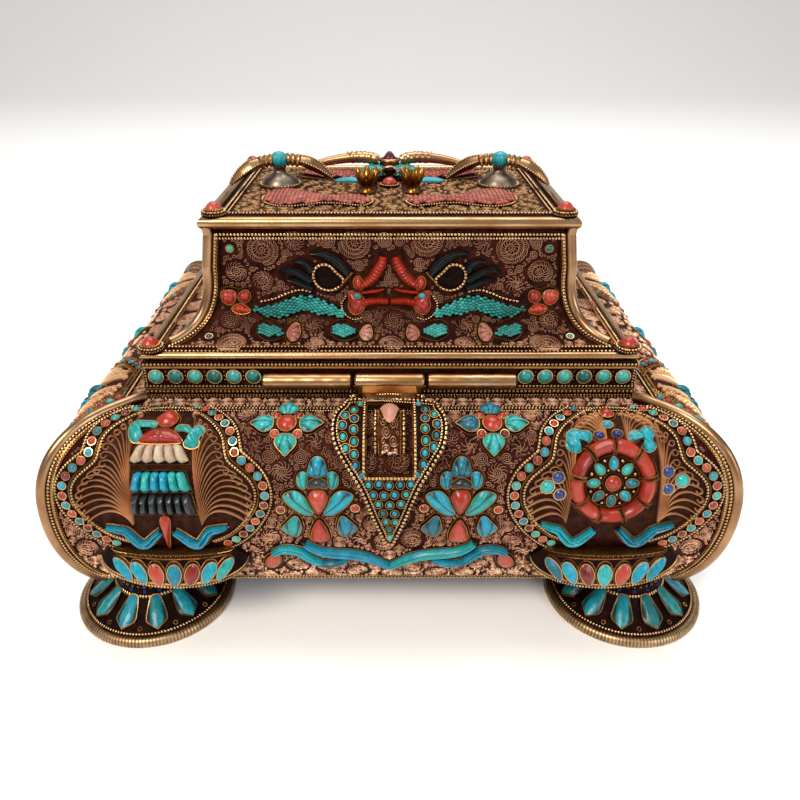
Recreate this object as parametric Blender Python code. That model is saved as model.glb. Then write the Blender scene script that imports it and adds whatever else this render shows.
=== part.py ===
"""Gau prayer box: a gilt filigree casket on four flared feet, set with carved stones.

A bellied body carries a coved lid with a flat top. A hasp hangs from a barrel hinge on the lid's
front and closes over a staple. Lengths are metres, +Z is up, the front faces -Y and the ground is z = 0.
"""

import math

import bmesh
import bpy
from mathutils import Matrix, Vector

# Gaps between neighbours
SOLDER_GAP = 0.0003
HINGE_GAP = 0.0003

# Body: a box with bellied walls, open at the top
BODY_WIDTH = 0.240
BODY_DEPTH = 0.200
BODY_BOTTOM_Z = 0.020
BELLY_Z = 0.057
BODY_TOP_Z = 0.088
BELLY_REACH = 0.023
UNDERCUT_HEIGHT = 0.043
BELLY_POWER = 0.8
BODY_WALL = 0.0015
RIM_LEDGE = 0.013
CORNER_CUT = 0.0015

# Lid: a band, a cove and a flat top
BAND_SETBACK = 0.0085
BAND_HEIGHT = 0.0143
BAND_LEDGE = 0.0033
COVE_REACH = 0.0187
COVE_HEIGHT = 0.025
COVE_LIFT = 0.0024
WAIST_BATTER = 0.0015
WAIST_HEIGHT = 0.0128
TOP_CHAMFER = 0.0028
TOP_RISE = 0.0048
LID_WALL = 0.0015

# Gilt tubes, rails and corner bosses
CORNER_TUBE_RADIUS = 0.0019
LOWER_RAIL_RADIUS = 0.0014
TOP_RAIL_RADIUS = 0.0019
LOWER_BOSS_RADIUS = 0.0050
TOP_BOSS_RADIUS = 0.0048
BOSS_HEIGHT = 0.0050

# Feet
FOOT_RADIUS = 0.0315
FOOT_INSET_FROM_CORNER = 0.0244
FOOT_RIM_HEIGHT = 0.0028
FOOT_NECK_RADIUS = 0.0145
FOOT_NECK_Z = 0.0120
FOOT_COLLAR_HEIGHT = 0.0040
FOOT_STEM_RADIUS = 0.0125
FOOT_PETALS = 12
PETAL_RELIEF = 0.0012
PETAL_TIP_INSET = 0.0028

# Hasp, its hinge and the staple
BARREL_RADIUS = 0.0029
BARREL_RISE = 0.0082  # above the body's top
PIN_RADIUS = 0.0012
MIDDLE_KNUCKLE = 0.0254
OUTER_KNUCKLE = 0.0330
HASP_THICKNESS = 0.0014
HASP_LIFT = 0.0016
HASP_HALF_WIDTH = 0.0200
HASP_DROP = 0.0560
SLOT_HALF_WIDTH = 0.0077
SLOT_TOP = 0.0020
SLOT_BOTTOM = 0.0266
STAPLE_HALF_WIDTH = 0.0050
STAPLE_TOP = 0.0060
STAPLE_BOTTOM = 0.0198
STAPLE_HEIGHT = 0.0068
STAPLE_THICKNESS = 0.0013

# Reliefs: shares of half a side's length, measured from its middle
FRONT_MEDALLION_SHARE = 0.646
FLANK_MEDALLION_SHARE = 0.575
SPRAY_SHARE = 0.204
CROSS_FLOWER_SHARE = 0.296
KNOT_TURN = math.radians(17)

GILT = ("gilt brass", (0.62, 0.42, 0.17), 0.32, 1.0)
FILIGREE = ("filigree over copper", (0.30, 0.15, 0.08), 0.50, 0.9)
TURQUOISE = ("turquoise", (0.06, 0.50, 0.55), 0.35, 0.0)
CORAL = ("coral", (0.62, 0.10, 0.05), 0.32, 0.0)
BONE = ("bone and stone tiers", (0.55, 0.50, 0.42), 0.45, 0.0)

CORE_HALF_WIDTH = BODY_WIDTH / 2 - BELLY_REACH
CORE_HALF_DEPTH = BODY_DEPTH / 2 - BELLY_REACH
BAND_REACH = BAND_LEDGE + COVE_REACH + WAIST_BATTER
WAIST_HALF_WIDTH = CORE_HALF_WIDTH - BAND_SETBACK - BAND_REACH
WAIST_HALF_DEPTH = CORE_HALF_DEPTH - BAND_SETBACK - BAND_REACH
LID_BOTTOM_Z = BODY_TOP_Z + SOLDER_GAP
BAND_TOP_Z = LID_BOTTOM_Z + BAND_HEIGHT
COVE_FOOT_Z = BAND_TOP_Z + COVE_LIFT
COVE_TOP_Z = COVE_FOOT_Z + COVE_HEIGHT
CHAMFER_Z = COVE_TOP_Z + WAIST_HEIGHT
LID_TOP_Z = CHAMFER_Z + TOP_RISE
BARREL_Z = BODY_TOP_Z + BARREL_RISE
BARREL_Y = -(CORE_HALF_DEPTH - BAND_SETBACK + SOLDER_GAP + BARREL_RADIUS)

# Each side of the box: the way along it, seen from outside, and the way out
SIDES = {
    "front": (Vector((1, 0, 0)), Vector((0, -1, 0))),
    "right": (Vector((0, 1, 0)), Vector((1, 0, 0))),
    "back": (Vector((-1, 0, 0)), Vector((0, 1, 0))),
    "left": (Vector((0, -1, 0)), Vector((-1, 0, 0))),
}


class Wall:
    """The section of a wall that runs round the box, from low to high, as (reach, z) points.

    Reach is measured out from a rectangle of half_width and half_depth. A place on the wall is given
    by its distance along the side, its distance up the section and its height off the surface.
    """

    def __init__(self, points, half_width, half_depth):
        self.points = [Vector(point) for point in points]
        self.half_width = half_width
        self.half_depth = half_depth
        self.lengths = [0.0]
        for low, high in zip(self.points, self.points[1:]):
            self.lengths.append(self.lengths[-1] + (high - low).length)
        facets = []
        for low, high in zip(self.points, self.points[1:]):
            run = (high - low).normalized()
            facets.append(Vector((run.y, -run.x)))
        self.offsets = [facets[0]]
        for one, other in zip(facets, facets[1:]):
            self.offsets.append((one + other) / (1 + one.dot(other)))
        self.offsets.append(facets[-1])

    def section(self, up, off):
        """The (reach, z) point at a distance up the section and a height off it."""
        index = 0
        while index < len(self.lengths) - 2 and up > self.lengths[index + 1]:
            index += 1
        share = (up - self.lengths[index]) / (self.lengths[index + 1] - self.lengths[index])
        point = self.points[index].lerp(self.points[index + 1], share)
        return point + self.offsets[index].lerp(self.offsets[index + 1], share) * off

    def half_length(self, side):
        """Half the length of a side, measured where the wall reaches furthest out."""
        half = self.half_width if side in ("front", "back") else self.half_depth
        return half + max(point.x for point in self.points)

    def place(self, side, along, up, off):
        """The point in space at a distance along a side, up the section and off the surface."""
        reach, height = self.section(up, off)
        sideways, outward = SIDES[side]
        half = self.half_depth if side in ("front", "back") else self.half_width
        return sideways * along + outward * (half + reach) + Vector((0, 0, height))

    def offset_points(self, off):
        """The section's points moved off the surface by the same distance everywhere."""
        return [point + way * off for point, way in zip(self.points, self.offsets)]


def body_section():
    """Lower ellipse, squarer shoulder and the flat ledge that the lid stands on."""
    points = []
    start = -math.asin((BELLY_Z - BODY_BOTTOM_Z) / UNDERCUT_HEIGHT)
    lower_steps = 3
    for step in range(lower_steps):
        turn = start * (1 - step / lower_steps)
        points.append((BELLY_REACH * math.cos(turn), BELLY_Z + UNDERCUT_HEIGHT * math.sin(turn)))
    rise = BODY_TOP_Z - BELLY_Z
    upper_steps = 5
    for step in range(upper_steps):
        turn = math.pi / 2 * step / upper_steps
        points.append(
            (BELLY_REACH * math.cos(turn) ** BELLY_POWER, BELLY_Z + rise * math.sin(turn) ** BELLY_POWER)
        )
    points.append((0.0, BODY_TOP_Z))
    points.append((-RIM_LEDGE, BODY_TOP_Z))
    return points


def cove_section():
    """The lid's hollow curve from its foot up to the waist, and the near upright waist above it."""
    points = []
    steps = 5
    for step in range(steps + 1):
        turn = math.pi / 2 * (1 - step / steps)
        reach = WAIST_BATTER + COVE_REACH * (1 - math.cos(turn) ** BELLY_POWER)
        points.append((reach, COVE_TOP_Z - COVE_HEIGHT * math.sin(turn) ** BELLY_POWER))
    points.append((0.0, CHAMFER_Z))
    return points


BODY = Wall(body_section(), CORE_HALF_WIDTH, CORE_HALF_DEPTH)
COVE = Wall(cove_section(), WAIST_HALF_WIDTH, WAIST_HALF_DEPTH)
RIM_LENGTH = BODY.lengths[-2]

# Where the reliefs are drawn: the wall, the length up it that they fill, and the half width, half depth
# and length in millimetres that the drawings were made for
RELIEF_FIELDS = {
    "body": (BODY, RIM_LENGTH, 120.0, 100.0, 83.8),
    "lid": (COVE, COVE.lengths[-1], 85.2, 65.2, 51.7),
}

# Heights off a wall in those drawings
PLATE = 0.7
PETAL_LIFT = 0.45  # petals that reach past their plate stay clear of the wall
SET = 0.28  # stones start inside their plate

# What a millimetre of the drawings stands for on the lid's top
TOP_UNIT = WAIST_HALF_WIDTH / 65.0
TOP_BASE = LID_TOP_Z + SOLDER_GAP


def clear_scene():
    for item in list(bpy.data.objects):
        bpy.data.objects.remove(item, do_unlink=True)


def material(finish):
    """The Principled material of a finish, made once."""
    name, colour, roughness, metallic = finish
    found = bpy.data.materials.get(name)
    if found:
        return found
    made = bpy.data.materials.new(name)
    made.use_nodes = True
    shader = made.node_tree.nodes["Principled BSDF"]
    shader.inputs["Base Color"].default_value = (*colour, 1.0)
    shader.inputs["Roughness"].default_value = roughness
    shader.inputs["Metallic"].default_value = metallic
    return made


def add_object(name, mesh, finish, smooth_angle=None):
    mesh.name = name
    mesh.materials.clear()
    mesh.materials.append(material(finish))
    if smooth_angle is not None:
        mesh.shade_smooth()
        mesh.set_sharp_from_angle(angle=smooth_angle)
    made = bpy.data.objects.new(name, mesh)
    bpy.context.scene.collection.objects.link(made)
    return made


def mesh_from(solid):
    """Turns a bmesh into a mesh with its faces pointing out."""
    bmesh.ops.recalc_face_normals(solid, faces=solid.faces)
    mesh = bpy.data.meshes.new("solid")
    solid.to_mesh(mesh)
    solid.free()
    return mesh


def fuse(solids):
    """One closed mesh from solids that overlap, joined by Boolean unions."""
    helpers = []
    for solid in solids:
        helper = bpy.data.objects.new("helper", mesh_from(solid))
        helper.hide_render = True
        helper.display_type = "WIRE"
        bpy.context.scene.collection.objects.link(helper)
        helpers.append(helper)
    base = helpers[0]
    for other in helpers[1:]:
        joint = base.modifiers.new("join", "BOOLEAN")
        joint.operation = "UNION"
        joint.solver = "EXACT"
        joint.object = other
    graph = bpy.context.evaluated_depsgraph_get()
    graph.update()
    mesh = bpy.data.meshes.new_from_object(base.evaluated_get(graph))
    for helper in helpers:
        bpy.data.objects.remove(helper, do_unlink=True)
    return mesh


def loft(loops, closed=False):
    """A solid through loops of points that match one to one, with its two ends capped unless closed."""
    solid = bmesh.new()
    rows = [[solid.verts.new(point) for point in loop] for loop in loops]
    pairs = list(zip(rows, rows[1:]))
    if closed:
        pairs.append((rows[-1], rows[0]))
    for low, high in pairs:
        for index in range(len(low)):
            after = (index + 1) % len(low)
            solid.faces.new((low[index], low[after], high[after], high[index]))
    if not closed:
        solid.faces.new(list(reversed(rows[0])))
        solid.faces.new(rows[-1])
    return solid


def rectangle(half_x, half_y, height, cut):
    """A level rectangle with its corners cut off, anticlockwise seen from above."""
    return [
        Vector((half_x - cut, -half_y, height)),
        Vector((half_x, -half_y + cut, height)),
        Vector((half_x, half_y - cut, height)),
        Vector((half_x - cut, half_y, height)),
        Vector((-half_x + cut, half_y, height)),
        Vector((-half_x, half_y - cut, height)),
        Vector((-half_x, -half_y + cut, height)),
        Vector((-half_x + cut, -half_y, height)),
    ]


def turned(profile, sides, centre=(0.0, 0.0)):
    """A solid of revolution from (radius, z) points, listed from the bottom up."""
    loops = []
    for radius, height in profile:
        loops.append(
            [
                Vector(
                    (
                        centre[0] + radius * math.cos(math.tau * index / sides),
                        centre[1] + radius * math.sin(math.tau * index / sides),
                        height,
                    )
                )
                for index in range(sides)
            ]
        )
    return loft(loops)


def polygon(across, up, half_across, half_up, sides, turn=0.0):
    """Points round an ellipse, for a flat drawing."""
    return [
        (
            across + half_across * math.cos(turn + math.tau * index / sides),
            up + half_up * math.sin(turn + math.tau * index / sides),
        )
        for index in range(sides)
    ]


def cut_stone(outline, low, high, crown=0.45):
    """A stone: an outline in millimetres raised from low to high, its top drawn in to a share of its size."""
    middle_x = sum(x for x, _ in outline) / len(outline)
    middle_y = sum(y for _, y in outline) / len(outline)
    top = [(middle_x + (x - middle_x) * crown, middle_y + (y - middle_y) * crown) for x, y in outline]
    return loft([[Vector((x, y, low)) for x, y in outline], [Vector((x, y, high)) for x, y in top]])


def ribbon(route, widths, low, high, crown=0.45):
    """A raised strip along a route in millimetres, with a roof-shaped top and square ends."""
    loops = []
    for index, point in enumerate(route):
        here = Vector(point)
        before = Vector(route[max(index - 1, 0)])
        after = Vector(route[min(index + 1, len(route) - 1)])
        run = (after - before).normalized()
        left = Vector((-run.y, run.x)) * widths[index] / 2
        loops.append(
            [
                Vector((*(here - left), low)),
                Vector((*(here - left * crown), high)),
                Vector((*(here + left * crown), high)),
                Vector((*(here + left), low)),
            ]
        )
    return loft(loops)


def ring(across, up, inner, outer, low, high, sides):
    """A raised ring with sloping flanks."""
    slope = 0.22 * (outer - inner)
    section = ((outer, low), (outer - slope, high), (inner + slope, high), (inner, low))
    loops = []
    for index in range(sides):
        turn = math.tau * index / sides
        loops.append(
            [
                Vector((across + radius * math.cos(turn), up + radius * math.sin(turn), height))
                for radius, height in section
            ]
        )
    return loft(loops, closed=True)


def fluted_tier(top, bottom, half_top, half_bottom, low, high, flutes=3):
    """A tier of a banner: a trapezium whose face is ribbed with upright flutes."""
    loops = []
    columns = 2 * flutes
    for column in range(columns + 1):
        share = 2 * column / columns - 1
        height = high if column % 2 else high - 0.5
        height = low + 0.6 * (high - low) if column in (0, columns) else height
        loops.append(
            [
                Vector((share * half_bottom, bottom, low)),
                Vector((share * half_bottom, bottom + 0.5, height)),
                Vector((share * half_top, top - 0.5, height)),
                Vector((share * half_top, top, low)),
            ]
        )
    return loft(loops)


def mirrored(points):
    return [(-x, y) for x, y in reversed(points)]


def divide(solid, levels):
    """Cuts a solid's faces along level lines, without parting it."""
    for level in levels:
        everything = solid.verts[:] + solid.edges[:] + solid.faces[:]
        bmesh.ops.bisect_plane(solid, geom=everything, dist=1e-6, plane_co=(0, level, 0), plane_no=(0, 1, 0))


def set_relief(name, relief, field, side, share, finish):
    """Makes a relief on a side of the box, centred at a share of half its length from its middle.

    The relief is given as its plates and its stones. x runs along the side, y up the section and z off
    the surface. A plate is divided where the wall's facets meet, so that its back lies along each.
    """
    wall, length, drawn_width, drawn_depth, drawn_length = RELIEF_FIELDS[field]
    drawn_half = drawn_width if side in ("front", "back") else drawn_depth
    along_scale = wall.half_length(side) / drawn_half
    up_scale = length / drawn_length
    centre = share * wall.half_length(side)
    plates, stones = relief
    for plate in plates:
        divide(plate, [level / up_scale for level in wall.lengths[1:-1]])
    for solid in plates + stones:
        for vert in solid.verts:
            along, up, off = vert.co
            vert.co = wall.place(side, centre + along * along_scale, up * up_scale, off * up_scale + SOLDER_GAP)
        bmesh.ops.triangulate(solid, faces=solid.faces)
    add_object(name, fuse(plates + stones), finish)


def tray(outer, inner, low, border, field):
    """A plate with a raised border: outer and inner outlines match point to point."""
    loops = [
        [Vector((x, y, low)) for x, y in outer],
        [Vector((x, y, border)) for x, y in outer],
        [Vector((x, y, border)) for x, y in inner],
        [Vector((x, y, field)) for x, y in inner],
    ]
    return loft(loops)


def ogee_tray():
    """The shouldered outline of a medallion, drawn from the top down its right side and up its left."""
    outer_half = [(17, 80.5), (25, 72.0), (27.5, 63), (34.5, 56), (36, 47), (31, 36), (23, 28.5)]
    inner_half = [(11, 77.8), (19, 70), (22, 61.5), (28.5, 54), (30.5, 47), (26, 37.5), (18, 31)]
    outer = [(0, 86.5)] + outer_half + mirrored(outer_half)
    inner = [(0, 82.5)] + inner_half + mirrored(inner_half)
    return tray(outer[::-1], inner[::-1], 0.0, 1.1, PLATE)


def flat_plate(outline, low, high):
    return loft([[Vector((x, y, height)) for x, y in outline] for height in (low, high)])


def turned_outline(points, way):
    """An outline drawn for the right-hand side, turned over for the left when way is -1."""
    return [(way * x, y) for x, y in points][::way]


def ribbon_pair(wave, widths, high):
    """The two ribbons that stream from the foot of a motif."""
    return [ribbon(wave, widths, SET, high), ribbon(mirrored(wave), widths[::-1], SET, high)]


def banner_relief():
    """The victory banner: stone tiers under a coral dome, over a spike and two ribbons."""
    stones = [cut_stone([(0, 74.5), (2.8, 78.0), (0, 83), (-2.8, 78.0)], SET, 3.0)]
    bracket = [(7.4, 68.6), (9.4, 68.2), (10.8, 72.5), (9.5, 75.8), (5.0, 75.5), (7.6, 72.3)]
    for way in (-1, 1):
        stones.append(cut_stone(turned_outline(bracket, way), SET, 2.6, 0.6))
    dome = [(7, 68.3), (6.4, 70.8), (2.5, 73.3)]
    stones.append(cut_stone(dome + mirrored(dome), SET, 3.6, 0.6))
    stones.append(fluted_tier(67.3, 60.6, 7.2, 10.0, SET, 4.2))
    stones.append(fluted_tier(59.9, 50.9, 8.4, 9.9, SET, 4.8))
    stones.append(fluted_tier(50.3, 41.6, 9.9, 11.2, SET, 5.2))
    stones.append(cut_stone([(0, 26.5), (2.1, 40.6), (-2.1, 40.6)], SET, 2.4))
    wave = [(3.0, 34.5), (9.5, 28.6), (15.0, 30.6), (21.5, 36.0)]
    stones += ribbon_pair(wave, [2.6, 3.8, 3.6, 2.2], 2.4)
    return [ogee_tray()], stones


def wheel_relief():
    """The wheel: a ring of coral lengths, a hub and eight turquoise spokes."""
    middle = 53.5
    stones = [ring(0, middle, 9.6, 15.0, SET, 4.6, 16)]
    stones.append(cut_stone(polygon(0, middle, 2.9, 2.9, 6), SET, 3.4))
    for index in range(8):
        turn = math.tau * (index + 0.5) / 8
        across, up = math.cos(turn), math.sin(turn)
        kite = [(8.6, 0.0), (4.6, 1.6), (4.6, -1.6)]
        outline = [(across * x - up * y, middle + up * x + across * y) for x, y in kite]
        stones.append(cut_stone(outline, SET, 2.4))
    bracket = [(8.0, 70.2), (10.6, 70.0), (11.8, 66.0), (14.2, 66.0), (13.0, 73.0), (7.5, 72.6)]
    for way in (-1, 1):
        stones.append(cut_stone(turned_outline(bracket, way), SET, 2.6, 0.6))
    wave = [(6.0, 34.0), (11.5, 30.4), (17.0, 34.6), (22.5, 39.0)]
    stones += ribbon_pair(wave, [2.6, 3.6, 3.4, 2.2], 2.4)
    return [ogee_tray()], stones


def flower_stones(base, low):
    """The stones of a lotus flower seen from the side, with its lowest stone at base."""
    stones = []
    trefoil = [(3.2, base + 25.0), (7.0, base + 26.0), (2.2, base + 32.4)]
    stones.append(cut_stone(trefoil + mirrored(trefoil), low + 0.3, 3.0, 0.5))
    leaf = [(0.8, base + 11.2), (5.0, base + 12.0), (11.5, base + 19.0), (8.5, base + 19.6)]
    petal = [(5.5, base + 0.5), (9.5, base + 1.0), (7.4, base + 9.6)]
    for way in (-1, 1):
        stones.append(cut_stone(turned_outline(leaf, way), low, 2.6, 0.6))
        stones.append(cut_stone(turned_outline(petal, way), low, 2.4))
    head = [(2.9, base + 17.0), (1.8, base + 21.5)]
    stones.append(cut_stone([(0, base + 11.0)] + head + mirrored(head), low, 3.6))
    bell = [(4.2, base), (3.4, base + 4.0)]
    stones.append(cut_stone(bell + [(0, base + 9.8)] + mirrored(bell), low, 3.2))
    return stones


def lotus_medallion_relief():
    """A lotus flower in a medallion."""
    return [ogee_tray()], flower_stones(38.0, SET)


def lotus_spray_relief(way):
    """A lotus flower with the long turquoise leaves of its stem, which run under the hasp's tip."""
    half = [(13.0, 29.0), (13.0, 38.0), (9.5, 44.0), (12.6, 50.5), (7.4, 58.0), (3.0, 63.8)]
    plate = flat_plate(half + mirrored(half), 0.0, PLATE)
    stones = flower_stones(30.5, SET)
    wave = [(-3.0, 29.6), (1.5, 24.0), (11.5, 21.2), (19.0, 18.6), (23.2, 13.2)]
    if way < 0:
        wave = mirrored(wave)[::-1]
    stones.append(ribbon(wave, [6.0, 6.4, 4.6, 3.8, 1.6], SET + 0.05, 2.4))
    branch = [(-16.5, 22.6), (-10.5, 23.4), (-1.0, 17.0), (6.0, 17.0), (11.0, 21.5)]
    if way < 0:
        branch = mirrored(branch)[::-1]
    stones.append(ribbon(branch, [2.6, 3.6, 3.8, 2.8, 3.0], SET + 0.1, 2.2))
    bud = [(-20.6, 15.4), (-18.4, 13.8), (-15.2, 18.2), (-15.6, 22.8), (-19.8, 20.4)]
    stones.append(cut_stone(turned_outline(bud, way), SET + 0.15, 2.0))
    return [plate], stones


def cross_flower_relief():
    """Four turquoise petals round a coral, on a small plate."""
    middle = 74.5
    stones = [cut_stone(polygon(0, middle, 3.4, 3.2, 8), SET, 3.0, 0.55)]
    for index in range(4):
        turn = math.pi / 2 * index
        across, up = math.cos(turn), math.sin(turn)
        petal = [(12.6, 0.0), (7.6, 3.7), (4.4, 0.0), (7.6, -3.7)]
        outline = [(across * x - up * y, middle + up * x + across * y) for x, y in petal]
        stones.append(cut_stone(outline, PETAL_LIFT, 2.6))
    return [flat_plate(polygon(0, middle, 7.0, 7.0, 8, math.pi / 8), 0.0, PLATE)], stones


def throne_relief():
    """The half lotus throne under a medallion: a lip, a hollow and a flared rim, widest at its middle."""
    loops = []
    steps = 6
    for step in range(steps + 1):
        turn = math.pi * (step / steps - 0.5)
        swell = math.cos(turn)
        lip_across, rim_across = 21.0 * math.sin(turn), 26.5 * math.sin(turn)
        lip_up = 27.0 - 1.5 * swell
        rim_up = 22.0 - 8.0 * swell
        rim_off = 1.2 + 8.0 * swell
        loops.append(
            [
                Vector((lip_across, lip_up + 0.6, 0.1)),
                Vector((lip_across, lip_up, 1.1 + 2.2 * swell)),
                Vector((lip_across, lip_up - 2.6, 0.9 + 1.4 * swell)),
                Vector((rim_across, rim_up + 0.8, rim_off)),
                Vector((rim_across, rim_up - 1.0, rim_off)),
                Vector((rim_across, rim_up - 1.8, 0.1)),
                Vector(((lip_across + rim_across) / 2, (lip_up + rim_up) / 2, 0.1)),
            ]
        )
    return [], [loft(loops)]


def dragon_relief(way):
    """A dragon facing the middle of the panel: scaled body, stone tail, legs, horns and open jaws."""

    def stroke(route, widths, low, high):
        return ribbon([(way * x, y) for x, y in route], widths, low, high)

    body = [(62.5, 26.4), (55.5, 23.6), (46.0, 21.4), (35.0, 25.0), (24.0, 23.2), (14.0, 21.0)]
    stones = [stroke(body, [2.2, 3.0, 4.0, 5.4, 5.0, 4.2], 0.0, 3.0)]
    for across, up, low in ((58.6, 26.6, 0.02), (56.4, 20.8, 0.06)):
        stones.append(cut_stone(polygon(way * across, up, 2.9, 2.5, 5), low, 2.6))
    for across, low in ((45.0, 0.08), (17.0, 0.10)):
        leg = [(across - 5.0, 12.6), (across + 2.6, 10.4), (across + 4.6, 16.0), (across, 21.4)]
        stones.append(cut_stone(turned_outline(leg, way), low, 2.4))
        claw = [(across - 8.6, 8.8), (across - 3.2, 13.6), (across - 8.2, 16.8)]
        stones.append(cut_stone(turned_outline(claw, way), low + 0.02, 1.8))
    head = [(13.0, 17.6), (17.6, 21.0), (17.2, 29.5), (11.5, 30.5), (9.2, 23.0)]
    stones.append(cut_stone(turned_outline(head, way), 0.14, 3.6))
    stones.append(stroke([(12.0, 27.0), (8.6, 33.0), (3.2, 41.5)], [4.6, 3.8, 2.4], 0.16, 3.0))
    stones.append(stroke([(11.5, 22.5), (6.0, 25.0), (1.2, 24.2)], [4.0, 2.6, 1.6], 0.18, 2.2))
    horn = [(13.5, 28.0), (16.8, 35.2), (21.5, 40.4), (28.8, 43.2)]
    stones.append(stroke(horn, [3.4, 3.8, 4.6, 2.0], 0.20, 2.6))
    stones.append(stroke([(25.8, 34.6), (31.0, 38.0), (38.0, 36.4)], [4.2, 4.6, 1.8], 0.22, 2.0))
    stones.append(ring(way * 22.6, 33.6, 3.2, 5.6, 0.24, 2.4, 8))
    return [], stones


def scroll_relief(half):
    """The lid's ornament on its sides and back: a coral marquise over an onyx scroll."""
    wave = [(-half, 21.0), (-half * 0.6, 25.5), (0.0, 22.5), (half * 0.6, 25.5), (half, 21.0)]
    stones = [ribbon(wave, [2.0, 4.6, 5.0, 4.6, 2.0], 0.0, 2.6)]
    stones.append(cut_stone([(0, 19.0), (4.4, 27.5), (0, 37.0), (-4.4, 27.5)], 0.02, 3.4))
    wing = [(2.0, 29.0), (half * 0.32, 33.5), (half * 0.8, 33.0)]
    stones.append(ribbon(wing, [3.6, 4.6, 1.8], 0.04, 2.4))
    stones.append(ribbon(mirrored(wing), [1.8, 4.6, 3.6], 0.06, 2.4))
    return [], stones


def make_body():
    """The open box: bellied walls and a floor of true thickness, its corners cut for the tubes."""
    outer = BODY.points
    inner = BODY.offset_points(-BODY_WALL)[1:-2]
    floor_z = BODY_BOTTOM_Z + BODY_WALL
    floor_reach = BODY.section(BODY_WALL, -BODY_WALL).x
    section = list(outer)
    section.append(Vector((-RIM_LEDGE, BODY_TOP_Z - BODY_WALL)))
    section.append(Vector((-BODY_WALL, BODY_TOP_Z - BODY_WALL)))
    section += list(reversed(inner))
    section.append(Vector((floor_reach, floor_z)))
    loops = [
        rectangle(BODY.half_width + reach, BODY.half_depth + reach, height, CORNER_CUT)
        for reach, height in section
    ]
    add_object("body", mesh_from(loft(loops)), FILIGREE)


def make_lid():
    """The hollow lid: band, ledge for the rail, cove, waist and a flat top."""
    cove = COVE.points
    inner_cove = COVE.offset_points(-LID_WALL)[1:-1]
    band_inside = BAND_REACH - LID_WALL
    foot = cove[0].x
    section = [(BAND_REACH, LID_BOTTOM_Z), (BAND_REACH, BAND_TOP_Z), (foot, BAND_TOP_Z)]
    section += cove
    section.append((-TOP_CHAMFER, LID_TOP_Z))
    under = [
        (-TOP_CHAMFER - LID_WALL / 2, LID_TOP_Z - LID_WALL),
        (-LID_WALL, CHAMFER_Z - LID_WALL / 2),
    ]
    under += list(reversed(inner_cove))
    under += [
        (foot - LID_WALL, COVE_FOOT_Z - LID_WALL),
        (foot - LID_WALL, BAND_TOP_Z - LID_WALL),
        (band_inside, BAND_TOP_Z - LID_WALL),
        (band_inside, LID_BOTTOM_Z),
    ]

    def loops_of(points):
        return [
            rectangle(COVE.half_width + reach, COVE.half_depth + reach, height, CORNER_CUT)
            for reach, height in points
        ]

    solid = bmesh.new()
    rows = [[solid.verts.new(point) for point in loop] for loop in loops_of(section)]
    inside = [[solid.verts.new(point) for point in loop] for loop in loops_of(under)]
    for chain in (rows, inside, [inside[-1], rows[0]]):
        for low, high in zip(chain, chain[1:]):
            for index in range(len(low)):
                after = (index + 1) % len(low)
                solid.faces.new((low[index], low[after], high[after], high[index]))
    solid.faces.new(rows[-1])
    solid.faces.new(list(reversed(inside[0])))
    add_object("lid", mesh_from(solid), FILIGREE)


def make_foot(name, centre):
    """A flared foot: rim, cone of raised petals parted by grooves, collar and stem."""
    top = BODY_BOTTOM_Z - SOLDER_GAP
    collar_middle = FOOT_NECK_Z + FOOT_COLLAR_HEIGHT / 2
    collar_top = FOOT_NECK_Z + FOOT_COLLAR_HEIGHT
    petal_end = FOOT_NECK_RADIUS + PETAL_RELIEF
    tip = FOOT_RADIUS - PETAL_TIP_INSET
    # Each row: radius and height at a petal's middle, then radius and height in the groove beside it
    rows = (
        (FOOT_RADIUS, 0.0, FOOT_RADIUS, 0.0),
        (FOOT_RADIUS, FOOT_RIM_HEIGHT, FOOT_RADIUS, FOOT_RIM_HEIGHT),
        (tip, FOOT_RIM_HEIGHT + PETAL_RELIEF, tip - PETAL_RELIEF, FOOT_RIM_HEIGHT),
        (petal_end, FOOT_NECK_Z, FOOT_NECK_RADIUS, FOOT_NECK_Z - PETAL_RELIEF / 2),
        (FOOT_NECK_RADIUS, collar_middle, FOOT_NECK_RADIUS, collar_middle),
        (FOOT_STEM_RADIUS, collar_top, FOOT_STEM_RADIUS, collar_top),
        (FOOT_STEM_RADIUS, top, FOOT_STEM_RADIUS, top),
    )
    loops = []
    sides = 2 * FOOT_PETALS
    for row in rows:
        loop = []
        for index in range(sides):
            radius, height = row[:2] if index % 2 else row[2:]
            turn = math.tau * index / sides
            across = centre[0] + radius * math.cos(turn)
            deep = centre[1] + radius * math.sin(turn)
            loop.append(Vector((across, deep, height)))
        loops.append(loop)
    add_object(name, mesh_from(loft(loops)), GILT)


def make_tube(name, route, radius):
    """A gilt tube along a route, as a bevelled curve."""
    curve = bpy.data.curves.new(name, "CURVE")
    curve.dimensions = "3D"
    curve.bevel_depth = radius
    curve.bevel_resolution = 1
    curve.use_fill_caps = True
    spline = curve.splines.new("POLY")
    spline.points.add(len(route) - 1)
    for point, place in zip(spline.points, route):
        point.co = (*place, 1.0)
    curve.materials.append(material(GILT))
    made = bpy.data.objects.new(name, curve)
    bpy.context.scene.collection.objects.link(made)


def mitre_route(wall, first, last, corner, radius, gap):
    """The middle line of a tube that rides on a wall's cut corner, between two lengths up the section."""
    lengths = [first] + [length for length in wall.lengths if first < length < last] + [last]
    route = []
    for length in lengths:
        surface = wall.section(length, 0.0)
        way = (wall.section(length, 1.0) - surface).normalized()
        ridge = math.sqrt(2 * way.x**2 + way.y**2)
        off = (radius + gap - CORNER_CUT * way.x / ridge) / ridge
        reach, height = surface + way * off
        route.append(
            Vector((corner[0] * (wall.half_width + reach), corner[1] * (wall.half_depth + reach), height))
        )
    return route


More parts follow.
